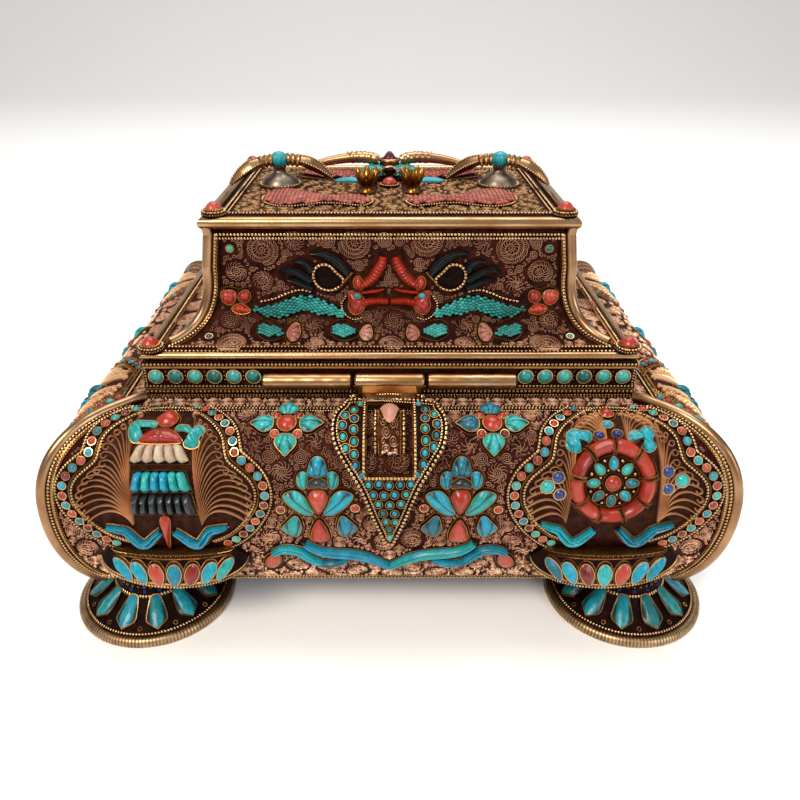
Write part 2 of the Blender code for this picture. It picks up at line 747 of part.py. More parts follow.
def make_rail(name, reach, height, radius):
    """A round rail along all four sides, mitred at the corners."""
    loops = []
    sides = 8
    for index in range(sides):
        turn = math.tau * index / sides
        half_x = COVE.half_width + reach + radius * math.cos(turn)
        half_y = COVE.half_depth + reach + radius * math.cos(turn)
        level = height + radius * math.sin(turn)
        loops.append(rectangle(half_x, half_y, level, 0.0)[::2])
    add_object(name, mesh_from(loft(loops, closed=True)), GILT)


def make_boss(name, centre, radius, height):
    """A beaded collet with a domed coral."""
    profile = [
        (radius * 0.94, height),
        (radius, height + BOSS_HEIGHT * 0.45),
        (radius * 0.45, height + BOSS_HEIGHT),
    ]
    add_object(name, mesh_from(turned(profile, 8, centre)), CORAL)


def hinge_loop(across, radius):
    """A circle round the hinge's line, at a place along it."""
    sides = 12
    loop = []
    for index in range(sides):
        turn = math.tau * (index + 0.5) / sides
        loop.append(Vector((across, BARREL_Y + radius * math.cos(turn), BARREL_Z + radius * math.sin(turn))))
    return loop


def knuckle(first, last):
    """A length of the hinge's barrel, with its bore."""
    bore = PIN_RADIUS + HINGE_GAP
    sizes = ((first, BARREL_RADIUS), (last, BARREL_RADIUS), (last, bore), (first, bore))
    return loft([hinge_loop(across, radius) for across, radius in sizes], closed=True)


def hasp_wall():
    """The line that the hasp follows: the body wall, then a leaf that rises off the ledge to the barrel."""
    points = [tuple(point) for point in BODY.points[:-1]]
    leaf_reach = -BARREL_Y - CORE_HALF_DEPTH + BARREL_RADIUS - HASP_LIFT - HASP_THICKNESS - 0.0002
    points.append((leaf_reach + 0.0012, BODY_TOP_Z + 0.0016))
    points.append((leaf_reach, BARREL_Z - BARREL_RADIUS / 3))
    return Wall(points, CORE_HALF_WIDTH, CORE_HALF_DEPTH)


def make_hasp():
    """The teardrop hasp with its slot, curved over the belly, and the middle knuckle it hangs from."""
    wall = hasp_wall()
    tip = RIM_LENGTH - HASP_DROP
    half = HASP_HALF_WIDTH
    end = wall.lengths[-1]
    neck = MIDDLE_KNUCKLE / 2 - HINGE_GAP - 0.0012
    drop = HASP_DROP
    right = [
        (0.0, tip),
        (0.10 * half, tip + 0.010 * drop),
        (0.40 * half, tip + 0.30 * drop),
        (0.78 * half, tip + 0.56 * drop),
        (0.97 * half, tip + 0.70 * drop),
        (half, tip + 0.82 * drop),
        (0.90 * half, tip + 0.95 * drop),
        (0.72 * half, RIM_LENGTH + 0.0012),
        (neck, RIM_LENGTH + 0.0026),
        (neck, end),
    ]
    outline = right + [(-across, up) for across, up in reversed(right[1:])]
    slot_low = RIM_LENGTH - SLOT_BOTTOM
    slot_high = RIM_LENGTH - SLOT_TOP
    slot = [
        (-SLOT_HALF_WIDTH, slot_low),
        (SLOT_HALF_WIDTH, slot_low),
        (SLOT_HALF_WIDTH, slot_high),
        (-SLOT_HALF_WIDTH, slot_high),
    ]
    face = HASP_LIFT + HASP_THICKNESS
    plate = flat_plate(outline, HASP_LIFT, face)
    cutter = flat_plate(slot, 0.0, 2 * face)
    target = bpy.data.objects.new("hasp blank", mesh_from(plate))
    tool = bpy.data.objects.new("slot tool", mesh_from(cutter))
    for helper in (target, tool):
        helper.hide_render = True
        helper.display_type = "WIRE"
        bpy.context.scene.collection.objects.link(helper)
    cut = target.modifiers.new("slot", "BOOLEAN")
    cut.operation = "DIFFERENCE"
    cut.solver = "EXACT"
    cut.object = tool
    graph = bpy.context.evaluated_depsgraph_get()
    graph.update()
    mesh = bpy.data.meshes.new_from_object(target.evaluated_get(graph))
    for helper in (target, tool):
        bpy.data.objects.remove(helper, do_unlink=True)
    solid = bmesh.new()
    solid.from_mesh(mesh)
    divide(solid, wall.lengths[1:-1])
    for vert in solid.verts:
        vert.co = wall.place("front", *vert.co)
    bmesh.ops.triangulate(solid, faces=solid.faces)
    half_knuckle = MIDDLE_KNUCKLE / 2 - HINGE_GAP
    mesh = fuse([knuckle(-half_knuckle, half_knuckle), solid])
    mesh.transform(Matrix.Translation((0, -BARREL_Y, -BARREL_Z)))
    hasp = add_object("hasp", mesh, TURQUOISE)
    hasp.location = (0, BARREL_Y, BARREL_Z)


def make_staple():
    """The arched strap that stands through the hasp's slot."""
    low = RIM_LENGTH - STAPLE_BOTTOM
    high = RIM_LENGTH - STAPLE_TOP
    middle = (low + high) / 2
    half = (high - low) / 2
    steps = 8
    outside, inside = [], []
    for step in range(steps + 1):
        turn = math.pi * step / steps
        outside.append((middle - half * math.cos(turn), SOLDER_GAP + STAPLE_HEIGHT * math.sin(turn)))
        inner_half = half - STAPLE_THICKNESS
        inner_height = STAPLE_HEIGHT - STAPLE_THICKNESS
        inside.append((middle - inner_half * math.cos(turn), SOLDER_GAP + inner_height * math.sin(turn)))
    loops = []
    for (up, off), (inner_up, inner_off) in zip(outside, inside):
        loops.append(
            [
                BODY.place("front", -STAPLE_HALF_WIDTH, up, off),
                BODY.place("front", STAPLE_HALF_WIDTH, up, off),
                BODY.place("front", STAPLE_HALF_WIDTH, inner_up, inner_off),
                BODY.place("front", -STAPLE_HALF_WIDTH, inner_up, inner_off),
            ]
        )
    add_object("staple", mesh_from(loft(loops)), GILT)


def make_hinge():
    """The lid's two knuckles and the pin."""
    inner = MIDDLE_KNUCKLE / 2
    outer = inner + OUTER_KNUCKLE
    add_object("hinge_knuckle_left", mesh_from(knuckle(-outer, -inner - HINGE_GAP)), GILT)
    add_object("hinge_knuckle_right", mesh_from(knuckle(inner + HINGE_GAP, outer)), GILT)
    pin = loft([hinge_loop(across, PIN_RADIUS) for across in (-outer, outer)])
    add_object("hinge_pin", mesh_from(pin), GILT)


def top_point(across, deep, high):
    """A point on the lid's top, drawn in millimetres: across and deep from its middle, high off it."""
    return Vector((across * TOP_UNIT, deep * TOP_UNIT, TOP_BASE + high * TOP_UNIT))


def top_turned(profile, sides, across, deep):
    """A solid of revolution standing on the lid's top, from (radius, height) points in millimetres."""
    sized = [(radius * TOP_UNIT, TOP_BASE + high * TOP_UNIT) for radius, high in profile]
    return turned(sized, sides, (across * TOP_UNIT, deep * TOP_UNIT))


def make_knot(name, way):
    """A thunderbolt knot on the lid: silver pedestal, turquoise melon bead and two spear prongs."""
    across = way * 45.0
    deep = 4.0
    bead = 11.2
    pedestal = [(7.6, 0.0), (7.2, 1.4), (2.2, 4.2), (1.4, bead)]
    melon = [(1.6, bead - 3.4), (3.4, bead - 1.4), (3.4, bead + 1.4), (1.6, bead + 3.4)]
    solids = [top_turned(pedestal, 8, across, deep), top_turned(melon, 8, across, deep)]
    for end, length in ((way, 19.5), (-way, 22.5)):
        turn = -way * KNOT_TURN
        run = Vector((end * math.cos(turn), end * math.sin(turn)))
        side = Vector((-run.y, run.x))
        drop = bead - 1.6
        loops = []
        for share, half in ((0.08, 1.6), (0.22, 2.6), (0.34, 1.9), (0.62, 3.1), (1.0, 0.6)):
            here = Vector((across, deep)) + run * length * share
            high = bead - drop * share**1.4
            loops.append(
                [
                    top_point(*(here - side * half), high),
                    top_point(*here, high + half * 0.8),
                    top_point(*(here + side * half), high),
                    top_point(*here, high - half * 0.8),
                ]
            )
        if end < 0:
            loops.reverse()
        solids.append(loft(loops))
    add_object(name, fuse(solids), GILT)


def make_top_mask():
    """The horned guardian lying on the lid: scaled mound, ringed coral, two gold horns and two claws."""
    # Right half of each level of the mound, from its muzzle to its crown
    mound = (
        ((7.0, 10.0, 0.0), (14.0, 20.0, 0.0), (9.0, 30.0, 0.0)),
        ((6.5, 11.5, 2.0), (13.0, 20.0, 4.0), (8.5, 28.0, 5.0)),
        ((3.5, 16.0, 4.6), (7.0, 21.0, 6.4), (4.5, 25.0, 6.8)),
    )
    levels = []
    for half in mound:
        level = list(half) + [(-across, deep, high) for across, deep, high in reversed(half)]
        levels.append([top_point(*point) for point in level])
    solids = [loft(levels)]
    solids.append(top_turned([(3.4, 5.0), (4.2, 7.8), (1.0, 11.2)], 6, 0.0, 21.5))
    solids.append(top_turned([(4.2, 0.0), (4.0, 2.8), (2.6, 3.4)], 6, 0.0, 9.0))
    horn = [(5.0, 23.0, 5.6, 2.2), (14.0, 25.5, 7.4, 2.4), (24.0, 24.5, 6.6, 2.0), (34.0, 22.0, 2.2, 0.7)]
    for way in (-1, 1):
        loops = []
        for across, deep, high, half in horn:
            here = (way * across, deep, high)
            ways = ((0, -half, 0), (0, 0, half), (0, half, 0), (0, 0, -half))
            loops.append([top_point(*(Vector(here) + Vector(step))) for step in ways])
        solids.append(loft(loops))
        solids.append(top_turned([(2.6, 0.0), (2.4, 3.0), (3.8, 6.2)], 5, way * 8.2, 3.5))
        loops = []
        for deep in (2.0, 16.0):
            section = ((-1.0, 0.0), (1.0, 0.0), (0.6, 1.6), (-0.6, 1.6))
            loops.append([top_point(way * 8.0 + across, deep, high) for across, high in section])
        solids.append(loft(loops))
    lip = ((-9, 7.5), (9, 7.5), (9, 11), (-9, 11))
    solids.append(loft([[top_point(across, deep, high) for across, deep in lip] for high in (0.0, 1.2)]))
    add_object("top_mask", fuse(solids), TURQUOISE)


def make_top_fish(name, way):
    """A scaled coral form, like a fish or a leaf, lying in front of the knots."""
    upper = [(7.0, -19.5), (20.0, -16.0), (32.0, -12.5), (43.0, -12.0)]
    lower = [(49.0, -18.0), (46.0, -26.5), (38.0, -28.0), (28.0, -23.0), (18.0, -21.0)]
    outline = [Vector((way * x, y)) for x, y in upper + lower]
    middle = Vector((way * 34.0, -20.0))
    loops = []
    for share, high in ((1.0, 0.0), (1.0, 0.9), (0.6, 1.9)):
        loops.append([top_point(*(middle + (point - middle) * share), high) for point in outline])
    add_object(name, mesh_from(loft(loops)), CORAL)


def make_reliefs():
    """Medallions and their thrones on all four sides, flowers on the front and the lid's reliefs."""
    layout = (
        ("front", -FRONT_MEDALLION_SHARE, "banner", "left"),
        ("front", FRONT_MEDALLION_SHARE, "wheel", "right"),
        ("back", -FRONT_MEDALLION_SHARE, "lotus", "left"),
        ("back", FRONT_MEDALLION_SHARE, "lotus", "right"),
        ("left", -FLANK_MEDALLION_SHARE, "lotus", "rear"),
        ("left", FLANK_MEDALLION_SHARE, "lotus", "fore"),
        ("right", -FLANK_MEDALLION_SHARE, "lotus", "fore"),
        ("right", FLANK_MEDALLION_SHARE, "lotus", "rear"),
    )
    motifs = {
        "banner": (banner_relief, BONE),
        "wheel": (wheel_relief, CORAL),
        "lotus": (lotus_medallion_relief, TURQUOISE),
    }
    for side, share, motif, place in layout:
        draw, finish = motifs[motif]
        set_relief(f"{motif}_{side}_{place}", draw(), "body", side, share, finish)
        set_relief(f"throne_{side}_{place}", throne_relief(), "body", side, share, GILT)
    for way, place in ((-1, "left"), (1, "right")):
        spray = lotus_spray_relief(-way)
        set_relief(f"lotus_spray_{place}", spray, "body", "front", way * SPRAY_SHARE, TURQUOISE)
        flower = cross_flower_relief()
        set_relief(f"cross_flower_{place}", flower, "body", "front", way * CROSS_FLOWER_SHARE, TURQUOISE)
        set_relief(f"dragon_{place}", dragon_relief(way), "lid", "front", 0.0, TURQUOISE)
    for side, half in (("left", 30.0), ("right", 30.0), ("back", 46.0)):
        set_relief(f"lid_scroll_{side}", scroll_relief(half), "lid", side, 0.0, CORAL)


def make_corners():
    """Feet, corner tubes and bosses, one of each at every corner."""
    foot_x = BODY_WIDTH / 2 - FOOT_INSET_FROM_CORNER
    foot_y = BODY_DEPTH / 2 - FOOT_INSET_FROM_CORNER
    lower_boss = BAND_REACH - 0.003
    lower_boss_z = BAND_TOP_Z + SOLDER_GAP + 2 * LOWER_RAIL_RADIUS + SOLDER_GAP
    top_boss = -0.0022
    top_boss_z = top_rail_z() + TOP_RAIL_RADIUS + SOLDER_GAP
    tube_start = 0.0009
    tube_end = RIM_LENGTH + 0.0065
    lid_start = LOWER_BOSS_RADIUS * 1.1
    lid_end = COVE.lengths[-1] - 0.0002
    for sign_x, across in ((-1, "left"), (1, "right")):
        for sign_y, deep in ((-1, "front"), (1, "back")):
            corner = (sign_x, sign_y)
            place = f"{deep}_{across}"
            make_foot(f"foot_{place}", (sign_x * foot_x, sign_y * foot_y))
            body_route = mitre_route(BODY, tube_start, tube_end, corner, CORNER_TUBE_RADIUS, 1.6 * SOLDER_GAP)
            make_tube(f"body_tube_{place}", body_route, CORNER_TUBE_RADIUS)
            lid_route = mitre_route(COVE, lid_start, lid_end, corner, CORNER_TUBE_RADIUS, 2 * SOLDER_GAP)
            make_tube(f"lid_tube_{place}", lid_route, CORNER_TUBE_RADIUS)
            low = (sign_x * (COVE.half_width + lower_boss), sign_y * (COVE.half_depth + lower_boss))
            make_boss(f"lower_boss_{place}", low, LOWER_BOSS_RADIUS, lower_boss_z)
            high = (sign_x * (COVE.half_width + top_boss), sign_y * (COVE.half_depth + top_boss))
            make_boss(f"top_boss_{place}", high, TOP_BOSS_RADIUS, top_boss_z)


def top_rail_z():
    return CHAMFER_Z + TOP_RAIL_RADIUS * 1.8


def main():
    clear_scene()
    make_body()
    make_lid()
    make_corners()
    lower_rail_z = BAND_TOP_Z + SOLDER_GAP + LOWER_RAIL_RADIUS
    make_rail("lower_rail", BAND_REACH - 0.0012, lower_rail_z, LOWER_RAIL_RADIUS)
    make_rail("top_rail", 0.0009, top_rail_z(), TOP_RAIL_RADIUS)
    make_hinge()
    make_hasp()
    make_staple()
    make_reliefs()
    make_knot("knot_left", -1)
    make_knot("knot_right", 1)
    make_top_mask()
    make_top_fish("top_fish_left", -1)
    make_top_fish("top_fish_right", 1)


main()
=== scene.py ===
"""Looks of the gau prayer box: gilt granulation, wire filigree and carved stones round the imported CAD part.

Everything is drawn in millimetres on the surfaces of the box, then placed as whole arrays of points.
"""

import logging
import math
from collections.abc import Callable, Sequence
from dataclasses import dataclass
from enum import Enum
from typing import Protocol

import bpy
import numpy as np
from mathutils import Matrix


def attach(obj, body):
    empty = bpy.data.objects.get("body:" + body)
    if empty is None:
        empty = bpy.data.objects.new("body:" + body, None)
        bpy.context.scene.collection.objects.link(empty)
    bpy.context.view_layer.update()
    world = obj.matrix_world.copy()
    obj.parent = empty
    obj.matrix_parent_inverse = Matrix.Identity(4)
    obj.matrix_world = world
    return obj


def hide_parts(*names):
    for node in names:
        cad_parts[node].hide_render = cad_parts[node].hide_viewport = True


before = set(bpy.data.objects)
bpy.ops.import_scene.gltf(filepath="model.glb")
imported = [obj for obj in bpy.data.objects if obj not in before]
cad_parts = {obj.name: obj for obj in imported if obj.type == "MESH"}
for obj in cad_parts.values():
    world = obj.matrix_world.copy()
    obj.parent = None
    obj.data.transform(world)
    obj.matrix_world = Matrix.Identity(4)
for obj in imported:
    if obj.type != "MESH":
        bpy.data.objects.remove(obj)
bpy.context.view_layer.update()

Array = np.ndarray
Points = Sequence[tuple[float, float]]

LOG = logging.getLogger("gau_box")
MM = 0.001
TAU = 2 * math.pi
# Both hands of a drawing: -1 is the left
WAYS = (-1.0, 1.0)
# The box's corners, in the order in which they are built: signs of x and y, and the CAD nodes' ending
CORNERS = ((-1, -1, "front_left"), (-1, 1, "back_left"), (1, -1, "front_right"), (1, 1, "back_right"))
# How far apart granules are set, in radii: just touching, or with a little air
TOUCHING = 2.0
LOOSE = 2.05


# ------------------------------------------------------------------ surfaces that drawings are laid on


class Side(Enum):
    """A side of the box: the way along it, seen from outside, and the way out."""

    FRONT = ((1.0, 0.0), (0.0, -1.0))
    RIGHT = ((0.0, 1.0), (1.0, 0.0))
    BACK = ((-1.0, 0.0), (0.0, 1.0))
    LEFT = ((0.0, -1.0), (-1.0, 0.0))

    @property
    def wide(self) -> bool:
        """Whether this is one of the two long sides."""
        return self in (Side.FRONT, Side.BACK)


class Surface(Protocol):
    """Anything that a flat drawing can be laid on."""

    def place(self, across: Array, up: Array, off: Array) -> Array:
        """Points in space for places in the drawing and heights off it."""
        ...


@dataclass(frozen=True)
class Wall:
    """A section of (reach, height) points carried round the box, in millimetres.

    Reach is measured out from a rectangle of half_width and half_depth. The drawings give the wall the
    length drawn, up its section.
    """

    half_width: float
    half_depth: float
    reach: Array
    height: Array
    drawn: float

    @property
    def lengths(self) -> Array:
        """The distance up the section to each of its points, in the drawings' millimetres."""
        steps = np.hypot(np.diff(self.reach), np.diff(self.height))
        total = np.concatenate([[0.0], np.cumsum(steps)])
        return total * self.drawn / total[-1]

    @property
    def ways(self) -> tuple[Array, Array]:
        """The outward direction at each point: the section's direction turned clockwise."""
        lengths = self.lengths
        run, rise = np.gradient(self.reach, lengths), np.gradient(self.height, lengths)
        size = np.hypot(run, rise)
        return rise / size, -run / size


@dataclass(frozen=True)
class Panel:
    """One side of a wall. Across runs along the side from its middle and up runs up the section."""

    wall: Wall
    side: Side
    lift: float = 0.0

    def place(self, across: Array, up: Array, off: Array) -> Array:
        """Point = along * across + outward * (half + reach), with the section's point moved off its face."""
        across, up, off = np.broadcast_arrays(across, up, np.asarray(off, float) + self.lift)
        lengths = self.wall.lengths
        out, high = self.wall.ways
        reach = np.interp(up, lengths, self.wall.reach) + off * np.interp(up, lengths, out)
        level = np.interp(up, lengths, self.wall.height) + off * np.interp(up, lengths, high)
        (along_x, along_y), (out_x, out_y) = self.side.value
        half = self.wall.half_depth if self.side.wide else self.wall.half_width
        reach = reach + half
        return np.stack([along_x * across + out_x * reach, along_y * across + out_y * reach, level], -1)

    def edge(self, up: Array | float) -> Array | float:
        """How far the side runs from its middle to its mitred corner, at heights up the section."""
        half = self.wall.half_width if self.side.wide else self.wall.half_depth
        return half + np.interp(up, self.wall.lengths, self.wall.reach)

    def beside_corner(self, way: float, up: Array, off: float) -> Array:
        """A line up the side that keeps a distance beyond its mitred corner, the left one when way is -1."""
        return np.stack([way * (self.edge(up) + off), up], -1)


@dataclass(frozen=True)
class Level:
    """A level plane. Across is +X and up is +Y."""

    z: float

    def place(self, across: Array, up: Array, off: Array) -> Array:
        """Point = (across, up, z + off)."""
        across, up, off = np.broadcast_arrays(across, up, off)
        return np.stack([across, up, self.z + off], -1)


@dataclass(frozen=True)
class Hill:
    """A turned form seen from above: the drawing's distance from its middle gives the height."""

    centre: tuple[float, float]
    radius: Array
    height: Array

    def place(self, across: Array, up: Array, off: Array) -> Array:
        """Point = centre + (across, up), at the height of the profile at that radius, plus off."""
        across, up, off = np.broadcast_arrays(across, up, off)
        level = np.interp(np.hypot(across, up), self.radius, self.height)
        return np.stack([self.centre[0] + across, self.centre[1] + up, level + off], -1)


@dataclass(frozen=True)
class Skirt:
    """The flared half dish of a throne, on a panel: across runs round it and up runs up its flare."""

    panel: Panel
    middle: float
    rim: float = 26.5
    lip: float = 21.0
    flare: float = 14.5

    def place(self, across: Array, up: Array, off: Array) -> Array:
        """Turn = across / rim; the section goes from the rim in to the hollow and out to the lip."""
        across, up, off = np.broadcast_arrays(across, up, off)
        turn = np.clip(across / self.rim, -math.pi / 2, math.pi / 2)
        swell = np.cos(turn)
        share = up / self.flare
        knots = np.array([0.0, 0.12, 0.62, 0.8, 1.0])
        reach = self.lip + (self.rim - self.lip) * np.interp(share, knots, [1.0, 0.98, 0.18, 0.0, 0.04])
        rim_up, lip_up = 22.0 - 8.0 * swell, 27.0 - 1.5 * swell
        level = rim_up + (lip_up - rim_up) * np.interp(share, knots, [0.0, 0.12, 0.72, 0.86, 1.04])
        low_off, high_off = 1.2 + 7.6 * swell, 1.2 + 1.4 * swell
        stand = high_off + (low_off - high_off) * np.interp(share, knots, [1.0, 0.94, 0.16, 0.0, 0.14])
        return self.panel.place(self.middle + (reach + off * 0.5) * np.sin(turn), level, stand + off)


# ------------------------------------------------------------------ gathering meshes


def linked(name: str, data: bpy.types.ID) -> bpy.types.Object:
    """A new object in the scene that shows this mesh, lamp or camera."""
    made = bpy.data.objects.new(name, data)
    bpy.context.scene.collection.objects.link(made)
    return made


def lattice(rows: int, columns: int) -> Array:
    """Quads between neighbouring rows of points, closed round the columns."""
    row, column = np.meshgrid(np.arange(rows - 1), np.arange(columns), indexing="ij")
    first = row * columns + column
    after = row * columns + (column + 1) % columns
    return np.stack([first, after, after + columns, first + columns], -1).reshape(-1, 4)


class Heap:
    """Many small closed shapes gathered into one mesh, with a tone and a lift at each point.

    Tone differs from one stone to the next. Lift is 0 in the hollows and 1 where a shape stands proud; metal finishes
    paint shade where it is low and a highlight where it is high, and stones paint shade at their foot.
    """

    def __init__(self) -> None:
        """Starts empty."""
        self.points: list[Array] = []
        self.quads: list[Array] = []
        self.triangles: list[Array] = []
        self.tones: list[Array] = []
        self.lifts: list[Array] = []
        self.count = 0

    def skins(
        self,
        rows: Array,
        tone: Array | float = 0.5,
        lift: Array | float = 1.0,
        ends: Array | None = None,
        looped: bool = False,
    ) -> None:
        """Adds closed skins through loops of points.

        Args:
            rows: points in millimetres, as (shapes, rows, columns, 3); each row is a closed loop.
            tone: one number, or one for each shape.
            lift: anything that broadcasts to (shapes, rows, columns).
            ends: the two poles of each shape as (shapes, 2, 3), or the middles of its end rows.
            looped: the last row joins the first, and there are no poles.
        """
        shapes, length, columns = rows.shape[:3]
        body = rows.reshape(shapes, length * columns, 3)
        lifts = np.broadcast_to(lift, (shapes, length, columns)).reshape(shapes, -1)
        quads = lattice(length, columns)
        around = np.arange(columns)
        beside = (around + 1) % columns
        triangles = np.empty((0, 3), int)
        if looped:
            last = (length - 1) * columns
            quads = np.concatenate([quads, np.stack([last + around, last + beside, beside, around], -1)])
        else:
            if ends is None:
                ends = np.stack([rows[:, 0].mean(1), rows[:, -1].mean(1)], 1)
            body = np.concatenate([body, ends], 1)
            first, last = length * columns, length * columns + 1
            top = (length - 1) * columns
            low_fan = np.stack([np.full(columns, first), beside, around], -1)
            high_fan = np.stack([np.full(columns, last), top + around, top + beside], -1)
            triangles = np.concatenate([low_fan, high_fan])
            lifts = np.concatenate([lifts, lifts[:, :1], lifts[:, -1:]], 1)
        corners = body.shape[1]
        if self._volume(body[:4], quads, triangles) < 0:
            quads, triangles = quads[:, ::-1], triangles[:, ::-1]
        starts = self.count + np.arange(shapes)[:, None, None] * corners
        self.points.append(body.reshape(-1, 3))
        self.quads.append((starts + quads).reshape(-1, 4))
        self.triangles.append((starts + triangles).reshape(-1, 3))
        self.tones.append(np.repeat(np.broadcast_to(tone, shapes), corners))
        self.lifts.append(lifts.ravel())
        self.count += shapes * corners

    @staticmethod
    def _volume(body: Array, quads: Array, triangles: Array) -> float:
        """Six times the volume inside the faces: the sum of a . (b x c) over their triangles."""
        faces = np.concatenate([quads[:, :3], quads[:, [0, 2, 3]], triangles])
        corner = (body - body.mean(1, keepdims=True))[:, faces]
        return float((corner[:, :, 0] * np.cross(corner[:, :, 1], corner[:, :, 2])).sum())

    @property
    def triangle_count(self) -> int:
        """How many triangles the mesh will have."""
        return 2 * sum(len(quads) for quads in self.quads) + sum(len(three) for three in self.triangles)

    def piece(
        self,
        name: str,
        finish: "Finish",
        slot: str,
        body: str = "casket",
        replaces: Sequence[str] = (),
        sharp: float = 40.0,
    ) -> bpy.types.Object:
        """Makes the mesh, dresses it and ties it to the frame.

        Args:
            name: the piece's name.
            finish: what it is made of.
            slot: the record's material slot; not used.
            body: the CAD body that it rides on.
            replaces: the CAD nodes that it stands for.
            sharp: edges that turn by more than this many degrees stay sharp.

        Returns:
            The new object.
        """
        points = np.concatenate(self.points) * MM
        quads, triangles = np.concatenate(self.quads), np.concatenate(self.triangles)
        corners = np.concatenate([quads.ravel(), triangles.ravel()]).astype(np.int32)
        starts = np.concatenate([np.arange(len(quads)) * 4, len(quads) * 4 + np.arange(len(triangles)) * 3])
        mesh = bpy.data.meshes.new(name)
        mesh.vertices.add(len(points))
        mesh.vertices.foreach_set("co", points.astype(np.float32).ravel())
        mesh.loops.add(len(corners))
        mesh.loops.foreach_set("vertex_index", corners)
        mesh.polygons.add(len(starts))
        mesh.polygons.foreach_set("loop_start", starts.astype(np.int32))
        mesh.update(calc_edges=True)
        for label, values in (("tone", self.tones), ("lift", self.lifts)):
            layer = mesh.attributes.new(label, "FLOAT", "POINT")
            layer.data.foreach_set("value", np.concatenate(values).astype(np.float32))
        mesh.shade_smooth()
        mesh.set_sharp_from_angle(angle=math.radians(sharp))
        mesh.materials.append(finish.material())
        made = linked(name, mesh)
        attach(made, body)
        if replaces:
            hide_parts(*replaces)
        LOG.info("%s: %d triangles", name, self.triangle_count)
        return made


# ------------------------------------------------------------------ curves and sections


# How many points each span of a curve has before it is resampled
SPAN_POINTS = 12


def smooth(points: Points | Array, count: int, closed: bool = False) -> Array:
    """A curve through points, each span a cubic with the slopes of its neighbours, resampled evenly.

    Args:
        points: the places that it passes through.
        count: how many points to return.
        closed: it returns to its start, which isn't repeated.

    Returns:
        The curve as (count, 2) or (count, 3).
    """
    knots = np.asarray(points, float)
    if closed:
        padded = np.concatenate([knots[-1:], knots, knots[:2]])
    else:
        padded = np.concatenate([2 * knots[:1] - knots[1:2], knots, 2 * knots[-1:] - knots[-2:-1]])
    before, start, end, after = padded[:-3], padded[1:-2], padded[2:-1], padded[3:]
    share = np.linspace(0, 1, SPAN_POINTS, endpoint=False)[None, :, None]
    one, two, three, four = (side[:, None] for side in (before, start, end, after))
    curve = 0.5 * (
        2 * two
        + (three - one) * share
        + (2 * one - 5 * two + 4 * three - four) * share**2
        + (3 * two - one - 3 * three + four) * share**3
    )
    curve = curve.reshape(-1, knots.shape[1])
    curve = np.concatenate([curve, padded[-2:-1]])
    return resample(curve, count + 1)[:-1] if closed else resample(curve, count)


def resample(path: Array, count: int) -> Array:
    """Points at even distances along a path of straight spans."""
    length = np.concatenate([[0.0], np.cumsum(np.linalg.norm(np.diff(path, axis=0), axis=1))])
    even = np.linspace(0, length[-1], count)
    return np.stack([np.interp(even, length, path[:, axis]) for axis in range(path.shape[1])], -1)


def by_pitch(path: Array, pitch: float, closed: bool = False) -> Array:
    """Points along a path, spaced by about the pitch."""
    if closed:
        path = np.concatenate([path, path[:1]])
    total = np.linalg.norm(np.diff(path, axis=0), axis=1).sum()
    count = max(int(round(total / pitch)), 2)
    return resample(path, count + 1)[: -1 if closed else None]


def grown(outline: Array, by: float) -> Array:
    """A closed outline moved outward: each point goes along the normal of its neighbours' line."""
    run = np.roll(outline, -1, -2) - np.roll(outline, 1, -2)
    away = np.stack([run[..., 1], -run[..., 0]], -1)
    away /= np.linalg.norm(away, axis=-1, keepdims=True)
    after = np.roll(outline, -1, -2)
    area = (outline[..., 0] * after[..., 1] - outline[..., 1] * after[..., 0]).sum(-1)
    return outline + away * by * np.sign(area)[..., None, None]


def full_turn(count: int) -> Array:
    """Angles at even distances round a circle, the first one 0."""
    return np.linspace(0, TAU, count, endpoint=False)


def on_circle(turn: Array | float) -> Array:
    """Places on the unit circle at these angles: (cos t, sin t)."""
    return np.stack([np.cos(turn), np.sin(turn)], -1)


def circle(spots: Array | Points, radius: Array | float, sides: int, squash: float = 1.0) -> Array:
    """Circles round spots, or ellipses drawn in along up by squash: spot + radius (cos t, squash sin t)."""
    spots = np.atleast_2d(np.asarray(spots, float))
    ring = on_circle(full_turn(sides)) * [1.0, squash]
    return spots[:, None] + ring * np.reshape(radius, (-1, 1, 1))


def turned_about(points: Array, turn: Array | float) -> Array:
    """Points in a plane turned about the origin."""
    cos, sin = np.cos(turn), np.sin(turn)
    return np.stack([points[..., 0] * cos - points[..., 1] * sin, points[..., 0] * sin + points[..., 1] * cos], -1)


def evenly(outline: Array | Points, count: int) -> Array:
    """A closed outline drawn again with points at even distances, from where it started."""
    outline = np.asarray(outline, float)
    return resample(np.concatenate([outline, outline[:1]]), count + 1)[:-1]


def rectangle(half_width: float, half_depth: float) -> Array:
    """The corners of a rectangle about the origin."""
    return np.array([(-1.0, -1.0), (1.0, -1.0), (1.0, 1.0), (-1.0, 1.0)]) * [half_width, half_depth]


def level_line(across: Array, up: float) -> Array:
    """Places at one height."""
    return np.stack([across, np.full(len(across), up)], -1)


def tapered(widths: Sequence[float], count: int) -> Array:
    """Half widths along a path, from widths at even distances along it."""
    return np.interp(np.linspace(0, 1, count), np.linspace(0, 1, len(widths)), widths) / 2


def flipped(points: Points | Array, way: float) -> Array:
    """A drawing for the right-hand side, turned over for the left when way is -1."""
    return np.asarray(points, float) * [way, 1.0]


def half_round(count: int) -> Array:
    """The section of a half-round wire: (cos t, sin t) over half a turn."""
    return on_circle(np.linspace(0, math.pi, count))


def reeded(lobes: int) -> tuple[tuple[float, float], ...]:
    """A half-round section cut by lengthwise grooves: (cos t, sqrt(sin t) (0.62 + 0.38 |sin(lobes u)|))."""
    turn = np.linspace(0, math.pi, 21)
    across = np.cos(turn)
    wave = np.abs(np.sin(math.pi * lobes * (across + 1) / 2))
    rise = np.sqrt(np.clip(np.sin(turn), 0, 1)) * (0.62 + 0.38 * wave)
    return tuple(zip(across.tolist(), rise.tolist()))


